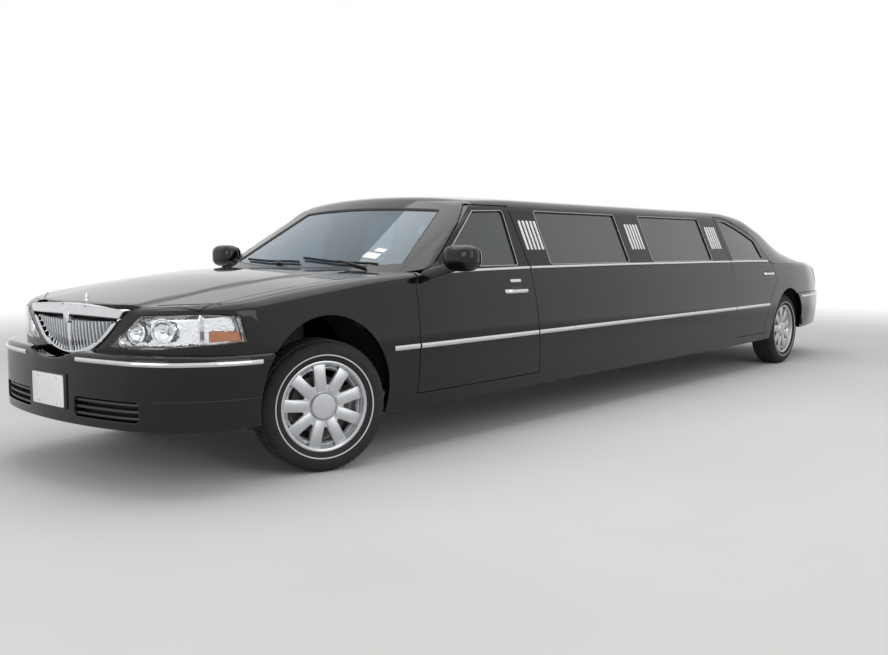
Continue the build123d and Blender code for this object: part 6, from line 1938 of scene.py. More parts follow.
@dataclass(frozen=True)
class Grille:
    """The bright bowl-shaped grille with a broad top bar, upright bars and a plain divider."""

    side_arc: tuple[Place, Place, Place] = ((0.215, 0.657), (0.350, 0.745), (0.455, 0.858))
    bottom_arc: tuple[Place, Place, Place] = ((-0.215, 0.657), (0.0, 0.617), (0.215, 0.657))
    corner: Place = (0.455, 0.858)
    top: float = 0.878
    rim: float = 0.026
    bars: int = 30
    bar_reach: float = 0.425

    def outline(self, inset: float = 0.0) -> Outline:
        """The bowl's outline, or that much inside it under the top bar."""
        bottom = arc_through(*self.bottom_arc, 16)
        right_side = arc_through(*self.side_arc, 12)
        loop = bottom + right_side
        if inset == 0.0:
            far_corner = (-self.corner[0], self.corner[1])
            top = arc_through(self.corner, (0.0, self.top), far_corner, 20)
            left = [(-y, z) for y, z in arc_through(*self.side_arc, 12)[::-1]][:-1]
            return loop + top + [far_corner] + left
        ys = np.linspace(-1, 1, 41)
        top_line = [(float(0.430 * s), 0.8155 + 0.006 * (1 - s * s)) for s in ys[::-1]]
        inner = [(y, z) for y, z in loop if abs(y) < 0.39]
        shrunk = [(y * (1 - inset / 0.45), z + inset * (1.0 if abs(y) < 0.25 else 0.55)) for y, z in inner]
        left = [(-y, z) for y, z in shrunk if y > 0.216][::-1]
        return [p for p in left if p[1] < 0.80] + [p for p in shrunk if p[1] < 0.80] + top_line

    def bowl_low(self, y: Points) -> Points:
        """Height of the bowl's edge under each place across."""
        loop = arc_through(*self.bottom_arc, 16)[8:] + arc_through(*self.side_arc, 12) + [self.corner]
        return np.interp(np.abs(y), [p[0] for p in loop], [p[1] for p in loop])

    def build(self) -> None:
        """Makes the rim, the bars, the divider and the dark space behind them."""
        rim = Panel(nose_skin(0.012), [self.outline(), self.outline(self.rim)], (0.03, 0.02), 0.060, 0.007,
                    0.0)
        keep_shape(rim.parts(), "grille_rim", CHROME, "bright_trim", "grille")
        back = Panel(nose_skin(-0.050), [[(y * 0.985, z * 0.985 + 0.0115) for y, z in self.outline()]],
                     (0.06, 0.05), 0.006, 0.001, 0.0)
        keep_shape(back.parts(), "grille_back", DARK_GAP, "frame_black", "grille")
        section = ((-0.0042, -0.030), (-0.0042, 0.0), (-0.0024, 0.0042), (0, 0.0054), (0.0024, 0.0042),
                   (0.0042, 0.0), (0.0042, -0.030))
        bar = shell_of(np.array([[(a, b, z) for a, b in section] for z in np.linspace(0, 1, 13)]))
        pitch = 2 * self.bar_reach / self.bars
        row = ROW_OF_PIECES.made(bar, self.bars + 1, pitch, CHROME.material())
        spots = row.verts[0]
        across = spots[:, 0] - self.bar_reach
        middle = np.round(across / pitch) * pitch
        keep = np.abs(middle) < 0.421
        low = self.bowl_low(middle) + 0.012
        high = 0.8045 + 0.004 * (1 - (middle / 0.43) ** 2)
        z = low + (high - low) * spots[:, 2]
        deep = 0.016 * (1 - spots[:, 2]) ** 2 + 0.030 * np.clip((spots[:, 2] - 0.93) / 0.07, 0, 1)
        x = nose_x(across, -0.006) + spots[:, 1] - deep
        placed = np.stack([x, across, z], 1)
        faces = [f for f in row.faces if keep[list(f)].all() and low[list(f)].max() < 0.79]
        bars = Solids([placed], faces, len(placed))
        keep_shape(self.cleaned(bars), "grille_bars", CHROME, "bright_trim", "grille")
        divider = Solids()
        for half, low_z, high_z, front in ((0.013, 0.628, 0.815, 0.004), (0.024, 0.780, 0.842, 0.0165)):
            divider.add_plate(rectangle((-half, low_z), (half, high_z), half * 0.5, 3), -0.03, front, 0.004)
        keep_shape(divider.moved((float(nose_x(0.0, 0.0)), 0, 0), FACING_FORWARD), "grille_divider", CHROME,
                   "bright_trim", "grille")

    @staticmethod
    def cleaned(shells: Solids) -> Solids:
        """The shells without points that no face uses."""
        points = np.concatenate(shells.verts)
        used = np.unique([i for face in shells.faces for i in face])
        remap = {int(old): new for new, old in enumerate(used)}
        faces = [tuple(remap[int(i)] for i in face) for face in shells.faces]
        return Solids([points[used]], faces, len(used))


@dataclass(frozen=True)
class Lamps:
    """Headlamps with their inner parts, and tail lamps that wrap round the rear corners."""

    split_y: float = 0.800
    lens_proud: float = 0.004
    pocket_depth: float = 0.045

    def build(self) -> None:
        """Makes the lamps of both sides."""
        lens_skin, pocket_skin = (ring_skin(LowerBody(), RING, proud)
                                  for proud in (self.lens_proud, -self.pocket_depth))
        lens = Panel(lens_skin, [lamp_loop(lens_skin, -0.001)], (0.03, 0.02), 0.004, 0.001, 0.0).parts()
        loop = lamp_loop(pocket_skin, -0.002)
        pocket = Panel(pocket_skin, [loop], (0.03, 0.02), 0.010, 0.001, 0.0).parts()
        bezel = strip_on(ring_skin(LowerBody(), RING, 0.002), loop[::2], 0.003, 0.003, True)
        bowls, eyes = self.bowls()
        for part, shape, finish, slot in (
                ("lens", lens, CLEAR_LENS, "lamp"), ("housing", pocket, REFLECTOR, "lamp"),
                ("surround", self.lamp_wall(lens_skin, pocket_skin), LAMP_PALE, "lamp"),
                ("bezel", bezel, SEAL, "trim_black"), ("reflectors", bowls, REFLECTOR, "lamp"),
                ("bulb_covers", eyes, CHROME, "lamp"), ("turn_lamp", self.turn_lamp(), AMBER, "lamp")):
            keep_pair(shape, f"headlamp_{part}_{{}}", finish, slot, "headlamps")
        red, band = self.tail_parts()
        keep_pair(red, "tail_lamp_{}", RED_LENS, "tail_lamp", "tail_lamps")
        keep_pair(band, "tail_lamp_band_{}", CHROME, "bright_trim")

    def lamp_wall(self, front: Skin, back: Skin) -> Solids:
        """The pale wall between the lens and the housing, with the upright split."""
        outer, inner = lamp_loop(front, -0.004), lamp_loop(back, -0.004)
        count = min(len(outer), len(inner))
        rows = []
        for skin, loop in ((front, outer), (back, inner)):
            line = np.array(loop[:count])
            rows.append(skin.place(line[:, 0], line[:, 1]))
        rows[0] = rows[0] - (rows[0] - rows[1]) * 0.12
        thick = [rows[0], rows[1], rows[1] + (0, 0, 0.0006), rows[0] + (0, 0, 0.0006)]
        made = shell_of(np.array(thick), True, True)
        line = trace(front, END_VIEW, [(self.split_y, 0.705), (self.split_y, 0.842)], FRONT_SPAN, 0.01)
        spots = np.array(line)
        face = front.place(spots[:, 0], spots[:, 1]) - np.array([0.006, 0.003, 0.0])
        deep = face - np.array([0.036, 0.02, 0])
        side = np.array([-0.004, 0.006, 0])
        made.add_grid(np.stack([face, face + side, deep + side, deep], 1))
        return made

    @staticmethod
    def bowls() -> tuple[Solids, Solids]:
        """The round reflectors of the high and low beams, and the covers of their bulbs."""
        bowls, eyes = Solids(), Solids()
        for y, z, radius, lean in ((0.505, 0.752, 0.052, 13.0), (0.655, 0.765, 0.060, 24.0),
                                   (0.415, 0.712, 0.026, 10.0)):
            outer = [(radius * sin(a), -radius * 0.62 * cos(a)) for a in np.linspace(0.03, pi / 2, 9)]
            inner = [(radius * 0.93 * sin(a), -radius * 0.55 * cos(a)) for a in np.linspace(pi / 2, 0.03, 9)]
            turn = radians(lean)
            axes = [(-sin(turn), cos(turn), 0), (cos(turn), sin(turn), 0), (0, 0, 1)]
            at = LOWER.place(*[np.array([v])
                               for v in trace(LOWER, END_VIEW, [(y, z), (y, z)], FRONT_SPAN)[0]])[0]
            centre = at - np.array(axes[1]) * 0.014
            bowls = bowls.added(shell_of(revolved(outer + inner, 40)).moved(centre, axes))
            dome = [(0.0002, 0.006)] + [(radius * 0.24 * sin(a), -0.012 + 0.018 * cos(a)) for a in
                                       np.linspace(0.25, pi / 2, 6)] + [(radius * 0.24, -radius * 0.5)]
            eyes = eyes.added(shell_of(revolved(dome, 24)).moved(centre, axes))
        return bowls, eyes

    @staticmethod
    def turn_lamp() -> MeshParts:
        """The amber strip low in the lamp's outer part."""
        skin = ring_skin(LowerBody(), RING, -0.006)
        corners = [(0.705, 0.716), (0.577, 0.722), (0.583, 0.764), (0.705, 0.763)]
        loop = trace(skin, SIDE_VIEW, stations(corners, ahead), FRONT_SPAN)
        return Panel(skin, [loop], (0.02, 0.015), 0.006, 0.001, 0.0).parts()

    @staticmethod
    def tail_parts() -> tuple[MeshParts, Solids]:
        """A tail lamp's lens block and the bright band over its middle."""
        skin = ring_skin(LowerBody(), RING, 0.006)
        loop = trace(skin, END_VIEW, [(0.552, 0.723), (0.552, 0.934), (0.62, 0.934)], REAR_SPAN)
        round_side = stations([(1.290, 0.934), (1.108, 0.930), (1.108, 0.726), (1.290, 0.723)], behind)
        loop += trace(skin, SIDE_VIEW, round_side, REAR_SPAN)
        loop += trace(skin, END_VIEW, [(0.62, 0.723), (0.57, 0.723)], REAR_SPAN)
        band = trace(skin, END_VIEW, [(0.556, 0.828), (0.62, 0.828)], REAR_SPAN)
        band += trace(skin, SIDE_VIEW, stations([(1.290, 0.828), (1.115, 0.828)], behind), REAR_SPAN)
        lamp = Panel(skin, [loop], (0.035, 0.025), 0.050, 0.004, 0.0).parts()
        return lamp, strip_on(skin, band, 0.004, 0.004)


@dataclass(frozen=True)
class BrightTrim:
    """The mouldings, belt strips, bumper strips, pillar bars and window edges, whose pale grey is a painted
    highlight.
    """

    moulding_z: float = 0.610
    moulding_half: float = 0.014
    moulding_height: float = 0.0075
    belt_half: float = 0.0085
    belt_height: float = 0.006
    bars_in_group: int = 5
    bar_groups: tuple[float, ...] = (-1.795, -3.150, -4.520)
    belt_line: tuple[Place, ...] = ((0.8, 1.006), (1.0, 1.016), (1.67, 1.024), (2.95, 1.028), (5.10, 1.024),
                                    (5.60, 1.020))

    def build(self) -> None:
        """Makes the bright trim of both sides."""
        self.mouldings()
        self.belt()
        self.bumper_strips()
        self.bars()
        self.window_edges()

    def along_side(self, name: str, x_from: float, x_to: float, body: str) -> None:
        """One moulding low on the side, on each side of the car."""
        span = (RING.w_at_x(max(x_from, x_to) + 0.2), RING.w_at_x(min(x_from, x_to) - 0.2))
        path = trace(LOWER, SIDE_VIEW, [(x_from, self.moulding_z), (x_to, self.moulding_z)], span, 0.08)
        strip = strip_on(LOWER, path, self.moulding_half, self.moulding_height)
        keep_pair(strip, name, CHROME, "bright_trim", body=body)

    def mouldings(self) -> None:
        """The mouldings, one for each panel that they cross."""
        door_rear, rear_front = ahead(-1.6955), behind(-1.2875)
        for name, x_from, x_to, body in (
                ("wing_moulding_{}", ahead(-0.375), ahead(-0.570), "body"),
                ("front_door_moulding_{}", ahead(-0.584), door_rear, "front_door_{}"),
                ("side_wall_moulding_{}", door_rear - 0.013, rear_front + 0.013, "body"),
                ("rear_door_moulding_{}", rear_front, behind(-0.530), "rear_door_{}"),
                ("quarter_moulding_{}", behind(0.335), behind(0.62), "body")):
            self.along_side(name, x_from, x_to, body)

    def belt(self) -> None:
        """The strips under the windows."""
        for name, x_from, x_to, body in (
                ("front_door_belt_{}", ahead(-0.795), ahead(-1.660), "front_door_{}"),
                ("side_wall_belt_{}", ahead(-1.675), behind(-1.338), "body"),
                ("rear_door_belt_{}", behind(-1.324), behind(-0.490), "rear_door_{}")):
            xs = np.linspace(x_from, x_to, max(3, int(abs(x_from - x_to) / 0.08)))
            zs = np.interp(ahead(0) - xs, *zip(*self.belt_line))
            path = list(zip(xs, CABIN.find_b(xs, 2, zs, *SIDE_REACH)))
            strip = strip_on(CABIN, path, self.belt_half, self.belt_height)
            keep_pair(strip, name, CHROME, "bright_trim", body=body)

    def bumper_strips(self) -> None:
        """The strips round the bumpers."""
        front = trace(FRONT_BUMPER_SKIN, END_VIEW, [(0.245, 0.626), (0.50, 0.625), (0.80, 0.622)], FRONT_SPAN)
        front += trace(FRONT_BUMPER_SKIN, SIDE_VIEW, [(ahead(0.76), 0.622), (ahead(0.50), 0.620)], FRONT_SPAN)
        span = (REAR_BUMPER_RING.w_at_x(behind(0.0)), REAR_BUMPER_RING.marks[3])
        rear = trace(REAR_BUMPER_SKIN, SIDE_VIEW, [(behind(0.32), 0.655), (behind(1.15), 0.655)], span)
        rear += trace(REAR_BUMPER_SKIN, END_VIEW, [(0.56, 0.655), (0.0, 0.655)], span)
        for name, skin, path in (("front", FRONT_BUMPER_SKIN, front), ("rear", REAR_BUMPER_SKIN, rear)):
            keep_pair(strip_on(skin, path, 0.011, 0.007), name + "_bumper_strip_{}", CHROME, "bright_trim")

    def bars(self) -> None:
        """The groups of upright bars on the pillars."""
        foot_z, height, pitch = 1.134, 0.206, 0.042
        bar = plate_of(rectangle((-0.0095, 0), (0.0095, height), 0.006, 3), -0.006, 0.0075, 0.003)
        low, high = Cabin().wall_y(np.full(2, ahead(-3.0)), np.array([foot_z, foot_z + 0.2]))
        rise = np.array([0, high - low, 0.2])
        rise /= np.linalg.norm(rise)
        out = np.array([0, rise[2], -rise[1]])
        for i, middle in enumerate(self.bar_groups):
            row = ROW_OF_PIECES.made(bar, self.bars_in_group, pitch, SATIN_BRIGHT.material())
            placed = row.moved((ahead(middle) - 2 * pitch, low + 0.003, foot_z), ((1, 0, 0), rise, out))
            keep_pair(placed, f"pillar_bars_{i + 1}_{{}}", SATIN_BRIGHT, "bright_trim", "pillar_bars")

    def window_edges(self) -> None:
        """Thin edges round the side windows, whose pale satin grey is a painted highlight along the openings'
        edges, and the windscreen's seal.
        """
        windows = [("front_door_window_edge_{}", FRONT_DOOR.window, "front_door_{}"),
                   ("rear_door_window_edge_{}", REAR_DOOR.window, "rear_door_{}")]
        windows += [(f"stretch_window_edge_{i + 1}_{{}}", window, "body")
                    for i, window in enumerate(STRETCH_WINDOWS)]
        for name, window, body in windows:
            # The pale edge strips paint the highlight that light makes along each window opening.
            edge = strip_on(CABIN, on_side(CABIN, window, 0.05), 0.0035, 0.0022, True)
            keep_pair(edge, name, WINDOW_EDGE_PAINTED_HIGHLIGHT, "bright_trim", body=body)
        line = densified(Roof().screen_outline(0.004), 0.05)
        keep_shape(strip_on(screen_skin(-0.004), line, 0.009, 0.005, True), "windscreen_seal", SEAL,
                   "trim_black")


def egg(centre: Sequence[float], size: Sequence[float], power: float = 3.0, rows: int = 18,
        around: int = 32) -> Points:
    """Rows of a soft-cornered closed block, from its foot to its top.

    Args:
        centre: its middle.
        size: its full sizes along x, y and z.
        power: how square it is, from 2 for an ellipsoid.
        rows: how many rows it has.
        around: how many places there are in a row.

    Returns:
        The points.
    """
    up = np.linspace(-pi / 2 + 0.02, pi / 2 - 0.02, rows)
    turn = np.arange(around) * 2 * pi / around

    def shaped(value: Points) -> Points:
        """A sine or cosine drawn out towards a square."""
        return np.sign(value) * np.abs(value) ** (2 / power)

    flat = np.stack([shaped(np.cos(turn)), shaped(np.sin(turn))], 1)
    result = []
    for angle in up:
        wide, high = float(shaped(np.cos(angle))), float(shaped(np.sin(angle)))
        result.append(np.column_stack([flat * wide, np.full(around, high)]) * np.array(size) / 2
                      + np.array(centre))
    return np.array(result)


@dataclass(frozen=True)
class SmallParts:
    """Mirrors, handles, wipers, stickers, plate, intakes, ornament and arch liners."""

    mirror_at: Spot = (ahead(-0.800), 1.082, 1.092)
    mirror_size: Spot = (0.125, 0.222, 0.150)
    mirror_taper: Place = (0.020, 0.022)
    handle_reach: float = 0.034
    handle_half: Place = (0.0065, 0.0125)
    plate_low: Place = (-0.1525, 0.384)
    plate_high: Place = (0.1525, 0.540)
    screw_places: tuple[Place, ...] = ((-0.089, 0.5245), (0.089, 0.5245), (-0.089, 0.400), (0.089, 0.400))
    intake_curve: float = 2.4

    def build(self) -> None:
        """Makes the small parts."""
        self.mirrors()
        self.handles()
        self.wipers()
        self.plate()
        self.intakes()
        self.parting_line()
        self.ornament()
        self.liners()

    def mirrors(self) -> None:
        """Both door mirrors: a domed housing on a foot, with its glass."""
        x, y, z = self.mirror_at
        rows = egg(self.mirror_at, self.mirror_size, 3.4, 22, 40)
        front = np.clip((rows[..., 0] - x) / (self.mirror_size[0] / 2), 0, 1)
        for axis in (2, 1):
            off = rows[..., axis] - self.mirror_at[axis]
            share = np.abs(off / (self.mirror_size[axis] / 2))
            rows[..., axis] -= self.mirror_taper[axis - 1] * front**2 * np.sign(off) * share
        steps = [(-0.700, 0.925, 1.000, 0.115, 0.030), (-0.725, 0.950, 1.012, 0.100, 0.030),
                 (-0.775, 0.985, 1.028, 0.075, 0.030), (-0.795, 1.030, 1.045, 0.060, 0.034),
                 (-0.798, 1.070, 1.060, 0.055, 0.030)]
        turn = np.arange(16) * pi / 8
        foot = shell_of(np.array([
            np.stack([ahead(at) + w * 0.5 * np.cos(turn), np.full(16, cy), cz + h * np.sin(turn)], 1)
            for at, cy, cz, w, h in steps]))
        corners = [(-0.640, 1.000), (-0.760, 1.000), (-0.802, 1.036), (-0.800, 1.075), (-0.745, 1.050)]
        sail = plate_of(corner_rounded(stations(corners, ahead), 0.008, 2), 0.0, 0.008, 0.003)
        sail = sail.moved((0, 1.336, 0), ((1, 0, 0), (0, -0.40, 1), (0, 1, 0)))
        glass = plate_of(oval(0.100, 0.064, 36, 0.62), 0.0, 0.004, 0.0015)
        glass = glass.moved((x - 0.0585, y, z), ((0, 1, 0), (0, 0, 1), (-1, 0, 0)))
        for part, shape, finish, slot in (
                ("housing", shell_of(rows), PAINT, "paint"), ("foot", foot, TRIM_BLACK, "trim_black"),
                ("sail", sail, TRIM_BLACK, "trim_black"), ("glass", glass, CHROME, "bright_trim")):
            keep_pair(shape, f"mirror_{part}_{{}}", finish, slot, "mirror_{}", body="front_door_{}")

    def handles(self) -> None:
        """Door handles with their dark cups, and the small lock bar on the front doors."""
        for door, x_from, x_to, z in (("front_door", ahead(-1.370), ahead(-1.600), 0.880),
                                      ("rear_door", behind(-0.628), behind(-0.418), 0.900)):
            x_mid, half = (x_from + x_to) / 2, abs(x_from - x_to) / 2
            along = np.linspace(-1, 1, 23)
            reach = self.handle_reach * (1 - np.abs(along) ** 6) - 0.004
            wall = LowerBody().wall_y(x_mid - half * along, np.full(len(along), z))
            turn = np.arange(14) * 2 * pi / 14
            across, up = self.handle_half[0] * np.cos(turn), self.handle_half[1] * np.sin(turn)
            rows = [np.stack([np.full(len(turn), x_mid - half * s), w + r + across, z + up], 1)
                    for s, r, w in zip(along, reach, wall)]
            cup = plate_of(oval(0.070, 0.027, 28, 0.6), -0.006, 0.0012, 0.0008)
            cup = cup.moved((x_mid, float(wall[11]) + PROUD, z), FACING_SIDEWAYS)
            for side in Side:
                name = f"{door}_{side.label}"
                handle = shell_of(np.array(rows)).to_object(f"{name}_handle", CHROME.material(), side, 50)
                keep_piece(handle, name, "bright_trim")
            keep_pair(cup, door + "_{}_handle_cup", TRIM_BLACK, "trim_black", body=door + "_{}")
            if door == "front_door":
                lock_z = z + 0.065
                lock_y = float(LowerBody().wall_y(np.array([x_mid]), np.array([lock_z]))[0]) + PROUD
                lock = plate_of(rectangle((-0.054, -0.010), (0.054, 0.010), 0.009, 4), -0.004, 0.005, 0.002)
                keep_pair(lock.moved((x_mid, lock_y, lock_z), ((1, 0, 0), (0, -0.15, 1), (0, 1, 0))),
                          door + "_{}_lock_bar", CHROME, "bright_trim", body=door + "_{}")

    def wipers(self) -> None:
        """Two wipers at the foot of the windscreen, and the blank stickers on the glass."""
        blades = (((-0.60, 0.150), (-0.30, 0.080), (0.02, 0.060)),
                  ((0.02, 0.105), (0.32, 0.085), (0.62, 0.120)))
        arms = ((-0.06, 0.020), (-0.22, 0.068)), ((0.58, 0.060), (0.34, 0.090))
        for i, (blade, arm) in enumerate(zip(blades, arms)):
            rubber = strip_on(screen_skin(0.003), smooth_line(blade, 8), 0.005, 0.010)
            steel = strip_on(screen_skin(0.010), smooth_line(arm, 6), 0.006, 0.008)
            keep_shape(rubber, f"wiper_blade_{i + 1}", SEAL, "trim_black")
            keep_shape(steel, f"wiper_arm_{i + 1}", TRIM_BLACK, "trim_black")
        stickers = (0.520, 0.270, 0.040, 0.020), (0.500, 0.205, 0.056, 0.030)
        for i, (s, a, half_s, half_a) in enumerate(stickers):
            outline = rectangle((s - half_s, a - half_a), (s + half_s, a + half_a), 0.004, 2)
            sheet = Panel(screen_skin(-0.0048), [outline], (0.03, 0.02), 0.0005, 0.0001, 0.0).parts()
            keep_shape(sheet, f"blank_sticker_{i + 1}", PLATE_WHITE, "paint")

    def plate(self) -> None:
        """The plain plate with its bracket and screws."""
        bracket = plate_of(rectangle((-0.162, 0.375), (0.162, 0.549), 0.012, 3), -0.075, -0.0015, 0.004)
        plate = plate_of(rectangle(self.plate_low, self.plate_high, 0.010, 3), -0.0018, 0.0012, 0.0006)
        screws = Solids()
        for middle in self.screw_places:
            screws.add_plate(oval(0.007, 0.007, 18, middle=middle), 0.0, 0.0032, 0.001)
        for name, shape, finish, slot, node in (
                ("plate_bracket", bracket, TRIM_BLACK, "trim_black", ("front_bumper",)),
                ("blank_plate", plate, PLATE_WHITE, "paint", ()),
                ("plate_screws", screws, CHROME, "bright_trim", ())):
            keep_shape(shape.moved((NOSE_X, 0, 0), FACING_FORWARD), name, finish, slot, *node)

    def intakes(self) -> None:
        """The intakes' slats and the dark plates behind them."""
        rows = []
        for s in np.linspace(0.215, 0.645, 16):
            x = FRONT_BUMPER_RING.nose_x - 0.006 - (s * s) / (2 * self.intake_curve)
            x -= 0.9 * max(0.0, s - 0.52) ** 2
            rows.append([(0.0, s, x), (0.006, s, x - 0.003), (0.006, s, x - 0.040), (-0.006, s, x - 0.040),
                         (-0.006, s, x - 0.003)])
        ladder = ROW_OF_PIECES.made(shell_of(np.array(rows)), 3, 0.032, TRIM_BLACK.material())
        slats = ladder.moved((0, 0, 0.368), ((0, 0, 1), (0, 1, 0), (1, 0, 0)))
        ys = np.linspace(0.19, 0.66, 10)
        xs = FRONT_BUMPER_RING.nose_x - 0.062 - ys * ys / (2 * self.intake_curve)
        back = shell_of(np.array([[(x, y, 0.345), (x, y, 0.455), (x - 0.004, y, 0.455), (x - 0.004, y, 0.345)]
                                  for x, y in zip(xs, ys)]))
        for name, shape, finish in (("intake_slats", slats, TRIM_BLACK), ("intake_backs", back, DARK_GAP)):
            keep_shape(shape.both_sides(), name, finish, "trim_black", "front_bumper")

    def parting_line(self) -> None:
        """The fine line round the bumper's corner."""
        height = 0.452
        line = trace(FRONT_BUMPER_SKIN, END_VIEW, [(0.70, height), (0.80, height)], FRONT_SPAN)
        corner_x = float(FRONT_BUMPER_SKIN.place(*np.array(line[-1:]).T)[0, 0])
        line += trace(FRONT_BUMPER_SKIN, SIDE_VIEW, [(corner_x, height), (ahead(0.512), height)],
                      FRONT_SPAN)[1:]
        parting = strip_on(FRONT_BUMPER_SKIN, line, 0.0018, 0.0008)
        keep_shape(parting.both_sides(), "bumper_parting_line", SEAL, "trim_black")

    def ornament(self) -> None:
        """The bare upright ornament near the bonnet's front edge."""
        x, made = ahead(0.845), Solids()
        foot_z = float(LowerBody().top_z(np.array([x]), np.array([0.0]))[0])
        for scale, low, high in ((1.0, 0.0, 0.006), (0.45, 0.006, 0.038)):
            rows = [[(px, py, foot_z + low + (high - low) * t) for px, py in
                     oval(scale * w * 0.020, scale * w * 0.008, 20, middle=(x, 0.0))]
                    for t, w in ((0, 1), (0.3, 0.95), (0.7, 0.8), (1, 0.45))]
            made = made.added(shell_of(np.array(rows)))
        keep_shape(made, "bonnet_ornament", CHROME, "bright_trim", body="bonnet")

    def liners(self) -> None:
        """The dark shells over the wheels."""
        for name, centre, radius, reach in (("front", (ahead(0.040), 0.385), 0.470, (0.560, 0.935)),
                                            ("rear", (behind(0.0), 0.345), 0.425, (0.650, 0.950))):
            section = circle_arc(centre, radius, 2, 178, 40)
            section += circle_arc(centre, radius + 0.006, 2, 178, 40)[::-1]
            shell = shell_of(np.array([[(x, y, z) for x, z in section] for y in np.linspace(*reach, 6)]))
            keep_shape(shell.both_sides(), f"{name}_arch_liners", LINER, "trim_black")


@dataclass(frozen=True)
class Seat:
    """One padded seat: its cushion and back as crowned closed forms with sewn channels.

    Attributes:
        name: the seat's name.
        node: the frame node that it stands for.
        pads: middle, size and lean in degrees of each pad, with the axis that its channels run across.
        base: the low and high corners of its box, with its corners softened.
        leans_across: whether its pads lean across the car and not along it.
        channel: the distance between two sewn channels.
    """

    name: str
    node: str
    pads: tuple[tuple[Spot, Spot, float, int], ...]
    base: tuple[Spot, Spot]
    leans_across: bool = False
    channel: float = 0.11

    def build(self) -> None:
        """Makes the pads and the base."""
        for i, (centre, size, lean, axis) in enumerate(self.pads):
            rows = egg((0, 0, 0), size, 5.0, 40, 96)
            swell = 1 - np.abs(rows[..., axis] / (size[axis] / 2)) ** 4
            groove = np.abs(np.sin(pi * rows[..., axis] / self.channel)) ** 0.35
            thin = int(np.argmin(size))
            rows[..., thin] *= 0.86 + 0.06 * swell + 0.10 * groove
            turn = radians(lean)
            if self.leans_across:
                axes = ((1, 0, 0), (0, cos(turn), sin(turn)), (0, -sin(turn), cos(turn)))
            else:
                axes = ((cos(turn), 0, sin(turn)), (0, 1, 0), (-sin(turn), 0, cos(turn)))
            pad = shell_of(rows).moved(centre, axes)
            piece = pad.to_object(f"{self.name}_pad_{i + 1}", LEATHER.material(), sharp=70)
            keep_piece(piece, "body", "seat_leather", self.node)
        low, high = self.base
        box = plate_of(rectangle(low[:2], high[:2], 0.03, 3), low[2], high[2], 0.012)
        keep_shape(box, f"{self.name}_base", TRIM_BLACK, "trim_black", self.node)


def seats() -> list[Seat]:
    """The front seats, the rear bench and the long side seat."""
    made = []
    for side in Side:
        y = side.value * 0.415
        made.append(Seat(f"front_seat_{side.label}", "front_seats", (
            ((ahead(-1.650), y, 0.600), (0.50, 0.50, 0.13), -4.0, 1),
            ((ahead(-1.975), y, 0.860), (0.13, 0.50, 0.58), 8.0, 1),
            ((ahead(-2.030), y, 1.165), (0.09, 0.26, 0.13), 8.0, 1)),
            ((ahead(-1.985), y - 0.24, 0.3765), (ahead(-1.420), y + 0.24, 0.560))))
    made.append(Seat("rear_bench", "cabin_seats", (
        ((behind(-0.720), 0.0, 0.610), (0.46, 1.24, 0.13), -4.0, 1),
        ((behind(-0.385), 0.0, 0.830), (0.13, 1.24, 0.46), 22.0, 1)),
        ((behind(-0.940), -0.60, 0.3765), (behind(-0.660), 0.60, 0.560)), channel=0.20))
    made.append(Seat("side_seat", "cabin_seats", (
        ((ahead(-3.525), -0.540, 0.610), (2.22, 0.32, 0.12), 0.0, 0),
        ((ahead(-3.525), -0.735, 0.830), (2.22, 0.11, 0.34), 0.0, 0)),
        ((ahead(-4.645), -0.795, 0.3765), (ahead(-2.405), -0.400, 0.560)), leans_across=True, channel=0.20))
    return made


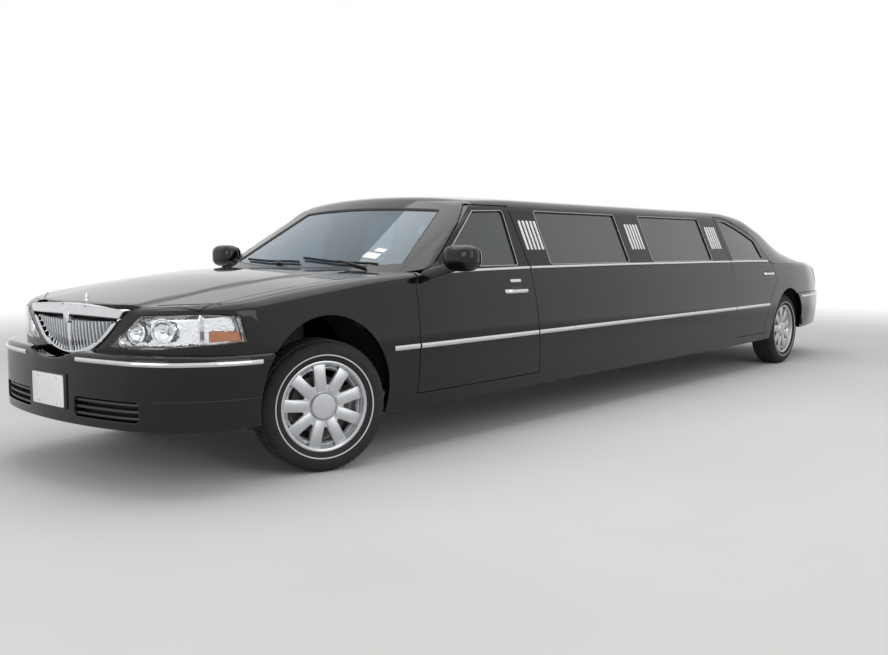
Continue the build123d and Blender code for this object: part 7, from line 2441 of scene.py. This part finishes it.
@dataclass(frozen=True)
class Studio:
    """The floor, the soft lights and the camera."""

    camera_at: Spot = (6.4795, 4.461, 1.156)
    yaw: float = 130.61
    pitch: float = -4.89
    lens: float = 38.32
    floor_half: float = 40.0
    floor_fade: Place = (5.0, 13.0)
    world_strength: float = 0.55
    aim: Spot = (0.5, 0, 0.6)

    def build(self) -> None:
        """Makes the floor, world, lights and camera."""
        self.floor()
        self.world()
        self.lamps()
        self.camera()

    def floor(self) -> None:
        """A plain pale floor that takes the shadow and turns white far off, where the white world begins."""
        mesh = bpy.data.meshes.new("studio_floor")
        half = self.floor_half
        corners = [(-half, -half, 0), (half, -half, 0), (half, half, 0), (-half, half, 0)]
        mesh.from_pydata(corners, [], [(0, 1, 2, 3)])
        material = Finish("studio_floor", (0.62, 0.62, 0.61), (0.85, 0.05), mottle=(0.03, 1.5),
                          grain_size=0.02).material()
        tree = material.node_tree
        place, away, fade = (tree.nodes.new(kind) for kind in ("ShaderNodeTexCoord", "ShaderNodeVectorMath",
                                                               "ShaderNodeMapRange"))
        away.operation, fade.interpolation_type = "LENGTH", "SMOOTHSTEP"
        fade.inputs["From Min"].default_value, fade.inputs["From Max"].default_value = self.floor_fade
        seen, share = self.seen(tree), tree.nodes.new("ShaderNodeMath")
        share.operation = "MULTIPLY"
        white, mix = tree.nodes.new("ShaderNodeEmission"), tree.nodes.new("ShaderNodeMixShader")
        tree.links.new(place.outputs["Object"], away.inputs[0])
        tree.links.new(away.outputs["Value"], fade.inputs["Value"])
        tree.links.new(fade.outputs["Result"], share.inputs[0])
        tree.links.new(seen, share.inputs[1])
        tree.links.new(share.outputs[0], mix.inputs["Fac"])
        tree.links.new(tree.nodes["Principled BSDF"].outputs[0], mix.inputs[1])
        tree.links.new(white.outputs[0], mix.inputs[2])
        tree.links.new(mix.outputs[0], tree.nodes["Material Output"].inputs["Surface"])
        mesh.materials.append(material)
        linked("studio_floor", mesh)

    @staticmethod
    def seen(tree: NodeTree) -> NodeSocket:
        """1 for rays from the camera and for those that a mirror or glass sends on, and 0 for the rest."""
        path = tree.nodes.new("ShaderNodeLightPath")
        result = path.outputs["Is Camera Ray"]
        for name in ("Is Glossy Ray", "Is Transmission Ray"):
            join = tree.nodes.new("ShaderNodeMath")
            join.operation = "MAXIMUM"
            tree.links.new(result, join.inputs[0])
            tree.links.new(path.outputs[name], join.inputs[1])
            result = join.outputs[0]
        return result

    def world(self) -> None:
        """Soft light from all round, white where the camera or a mirror sees it."""
        world = bpy.data.worlds.new("studio_world")
        bpy.context.scene.world = world
        world.use_nodes = True
        tree = world.node_tree
        tree.nodes.clear()
        out = tree.nodes.new("ShaderNodeOutputWorld")
        soft, white, mix = (tree.nodes.new(kind) for kind in ("ShaderNodeBackground", "ShaderNodeBackground",
                                                              "ShaderNodeMixShader"))
        soft.inputs["Color"].default_value = (1.0, 1.0, 1.0, 1)
        soft.inputs["Strength"].default_value = self.world_strength
        white.inputs["Color"].default_value = (1, 1, 1, 1)
        white.inputs["Strength"].default_value = 1.0
        tree.links.new(self.seen(tree), mix.inputs["Fac"])
        tree.links.new(soft.outputs[0], mix.inputs[1])
        tree.links.new(white.outputs[0], mix.inputs[2])
        tree.links.new(mix.outputs[0], out.inputs["Surface"])

    def lamps(self) -> None:
        """Big soft lamps over and beside the car."""
        for name, place, size, power in (("overhead", (0.5, 0.0, 7.0), 9.0, 330.0),
                                         ("left", (3.0, 9.0, 4.0), 6.0, 200.0),
                                         ("front", (11.0, 0.5, 4.0), 5.0, 160.0)):
            light = bpy.data.lights.new(f"{name}_lamp", "AREA")
            light.size, light.energy = size, power
            lamp = linked(f"{name}_lamp", light)
            lamp.location = place
            lamp.rotation_euler = (Vector(self.aim) - Vector(place)).to_track_quat("-Z", "Y").to_euler()

    def camera(self) -> None:
        """The camera at the photograph's angle."""
        lens = bpy.data.cameras.new("camera")
        lens.lens, lens.sensor_width = self.lens, 36.0
        camera = linked("camera", lens)
        camera.location = self.camera_at
        camera.rotation_euler = (radians(90 + self.pitch), 0, radians(self.yaw))
        bpy.context.scene.camera = camera


def keep_frame_nodes() -> None:
    """Gives the frame's own nodes that stay in sight their finishes."""
    for node, finish in (("scuttle", PAINT), ("floor_pan", CARPET), ("chassis_frame", FRAME_BLACK),
                         ("engine_block", CAST), ("rear_axle", CAST), ("propeller_shaft", CAST),
                         ("exhaust", EXHAUST), ("front_suspension", FRAME_BLACK), ("knuckle_left", CAST),
                         ("knuckle_right", CAST), ("dashboard", TRIM_BLACK), ("partition", TRIM_BLACK)):
        keep_node(node, finish)


def main() -> None:
    """Builds the limousine piece by piece."""
    logging.basicConfig(level=logging.INFO, format="%(name)s: %(message)s")
    bpy.context.scene.view_settings.view_transform = "Standard"
    keep_frame_nodes()
    Studio().build()
    for assembly in (Roof(), FrontEnd(), RearEnd(), SideWalls(), Doors(), Grille(), Lamps(), BrightTrim(),
                     SmallParts(), *WHEELS, *seats()):
        assembly.build()
        log.info("%s done", type(assembly).__name__)


if __name__ == "__main__":
    main()
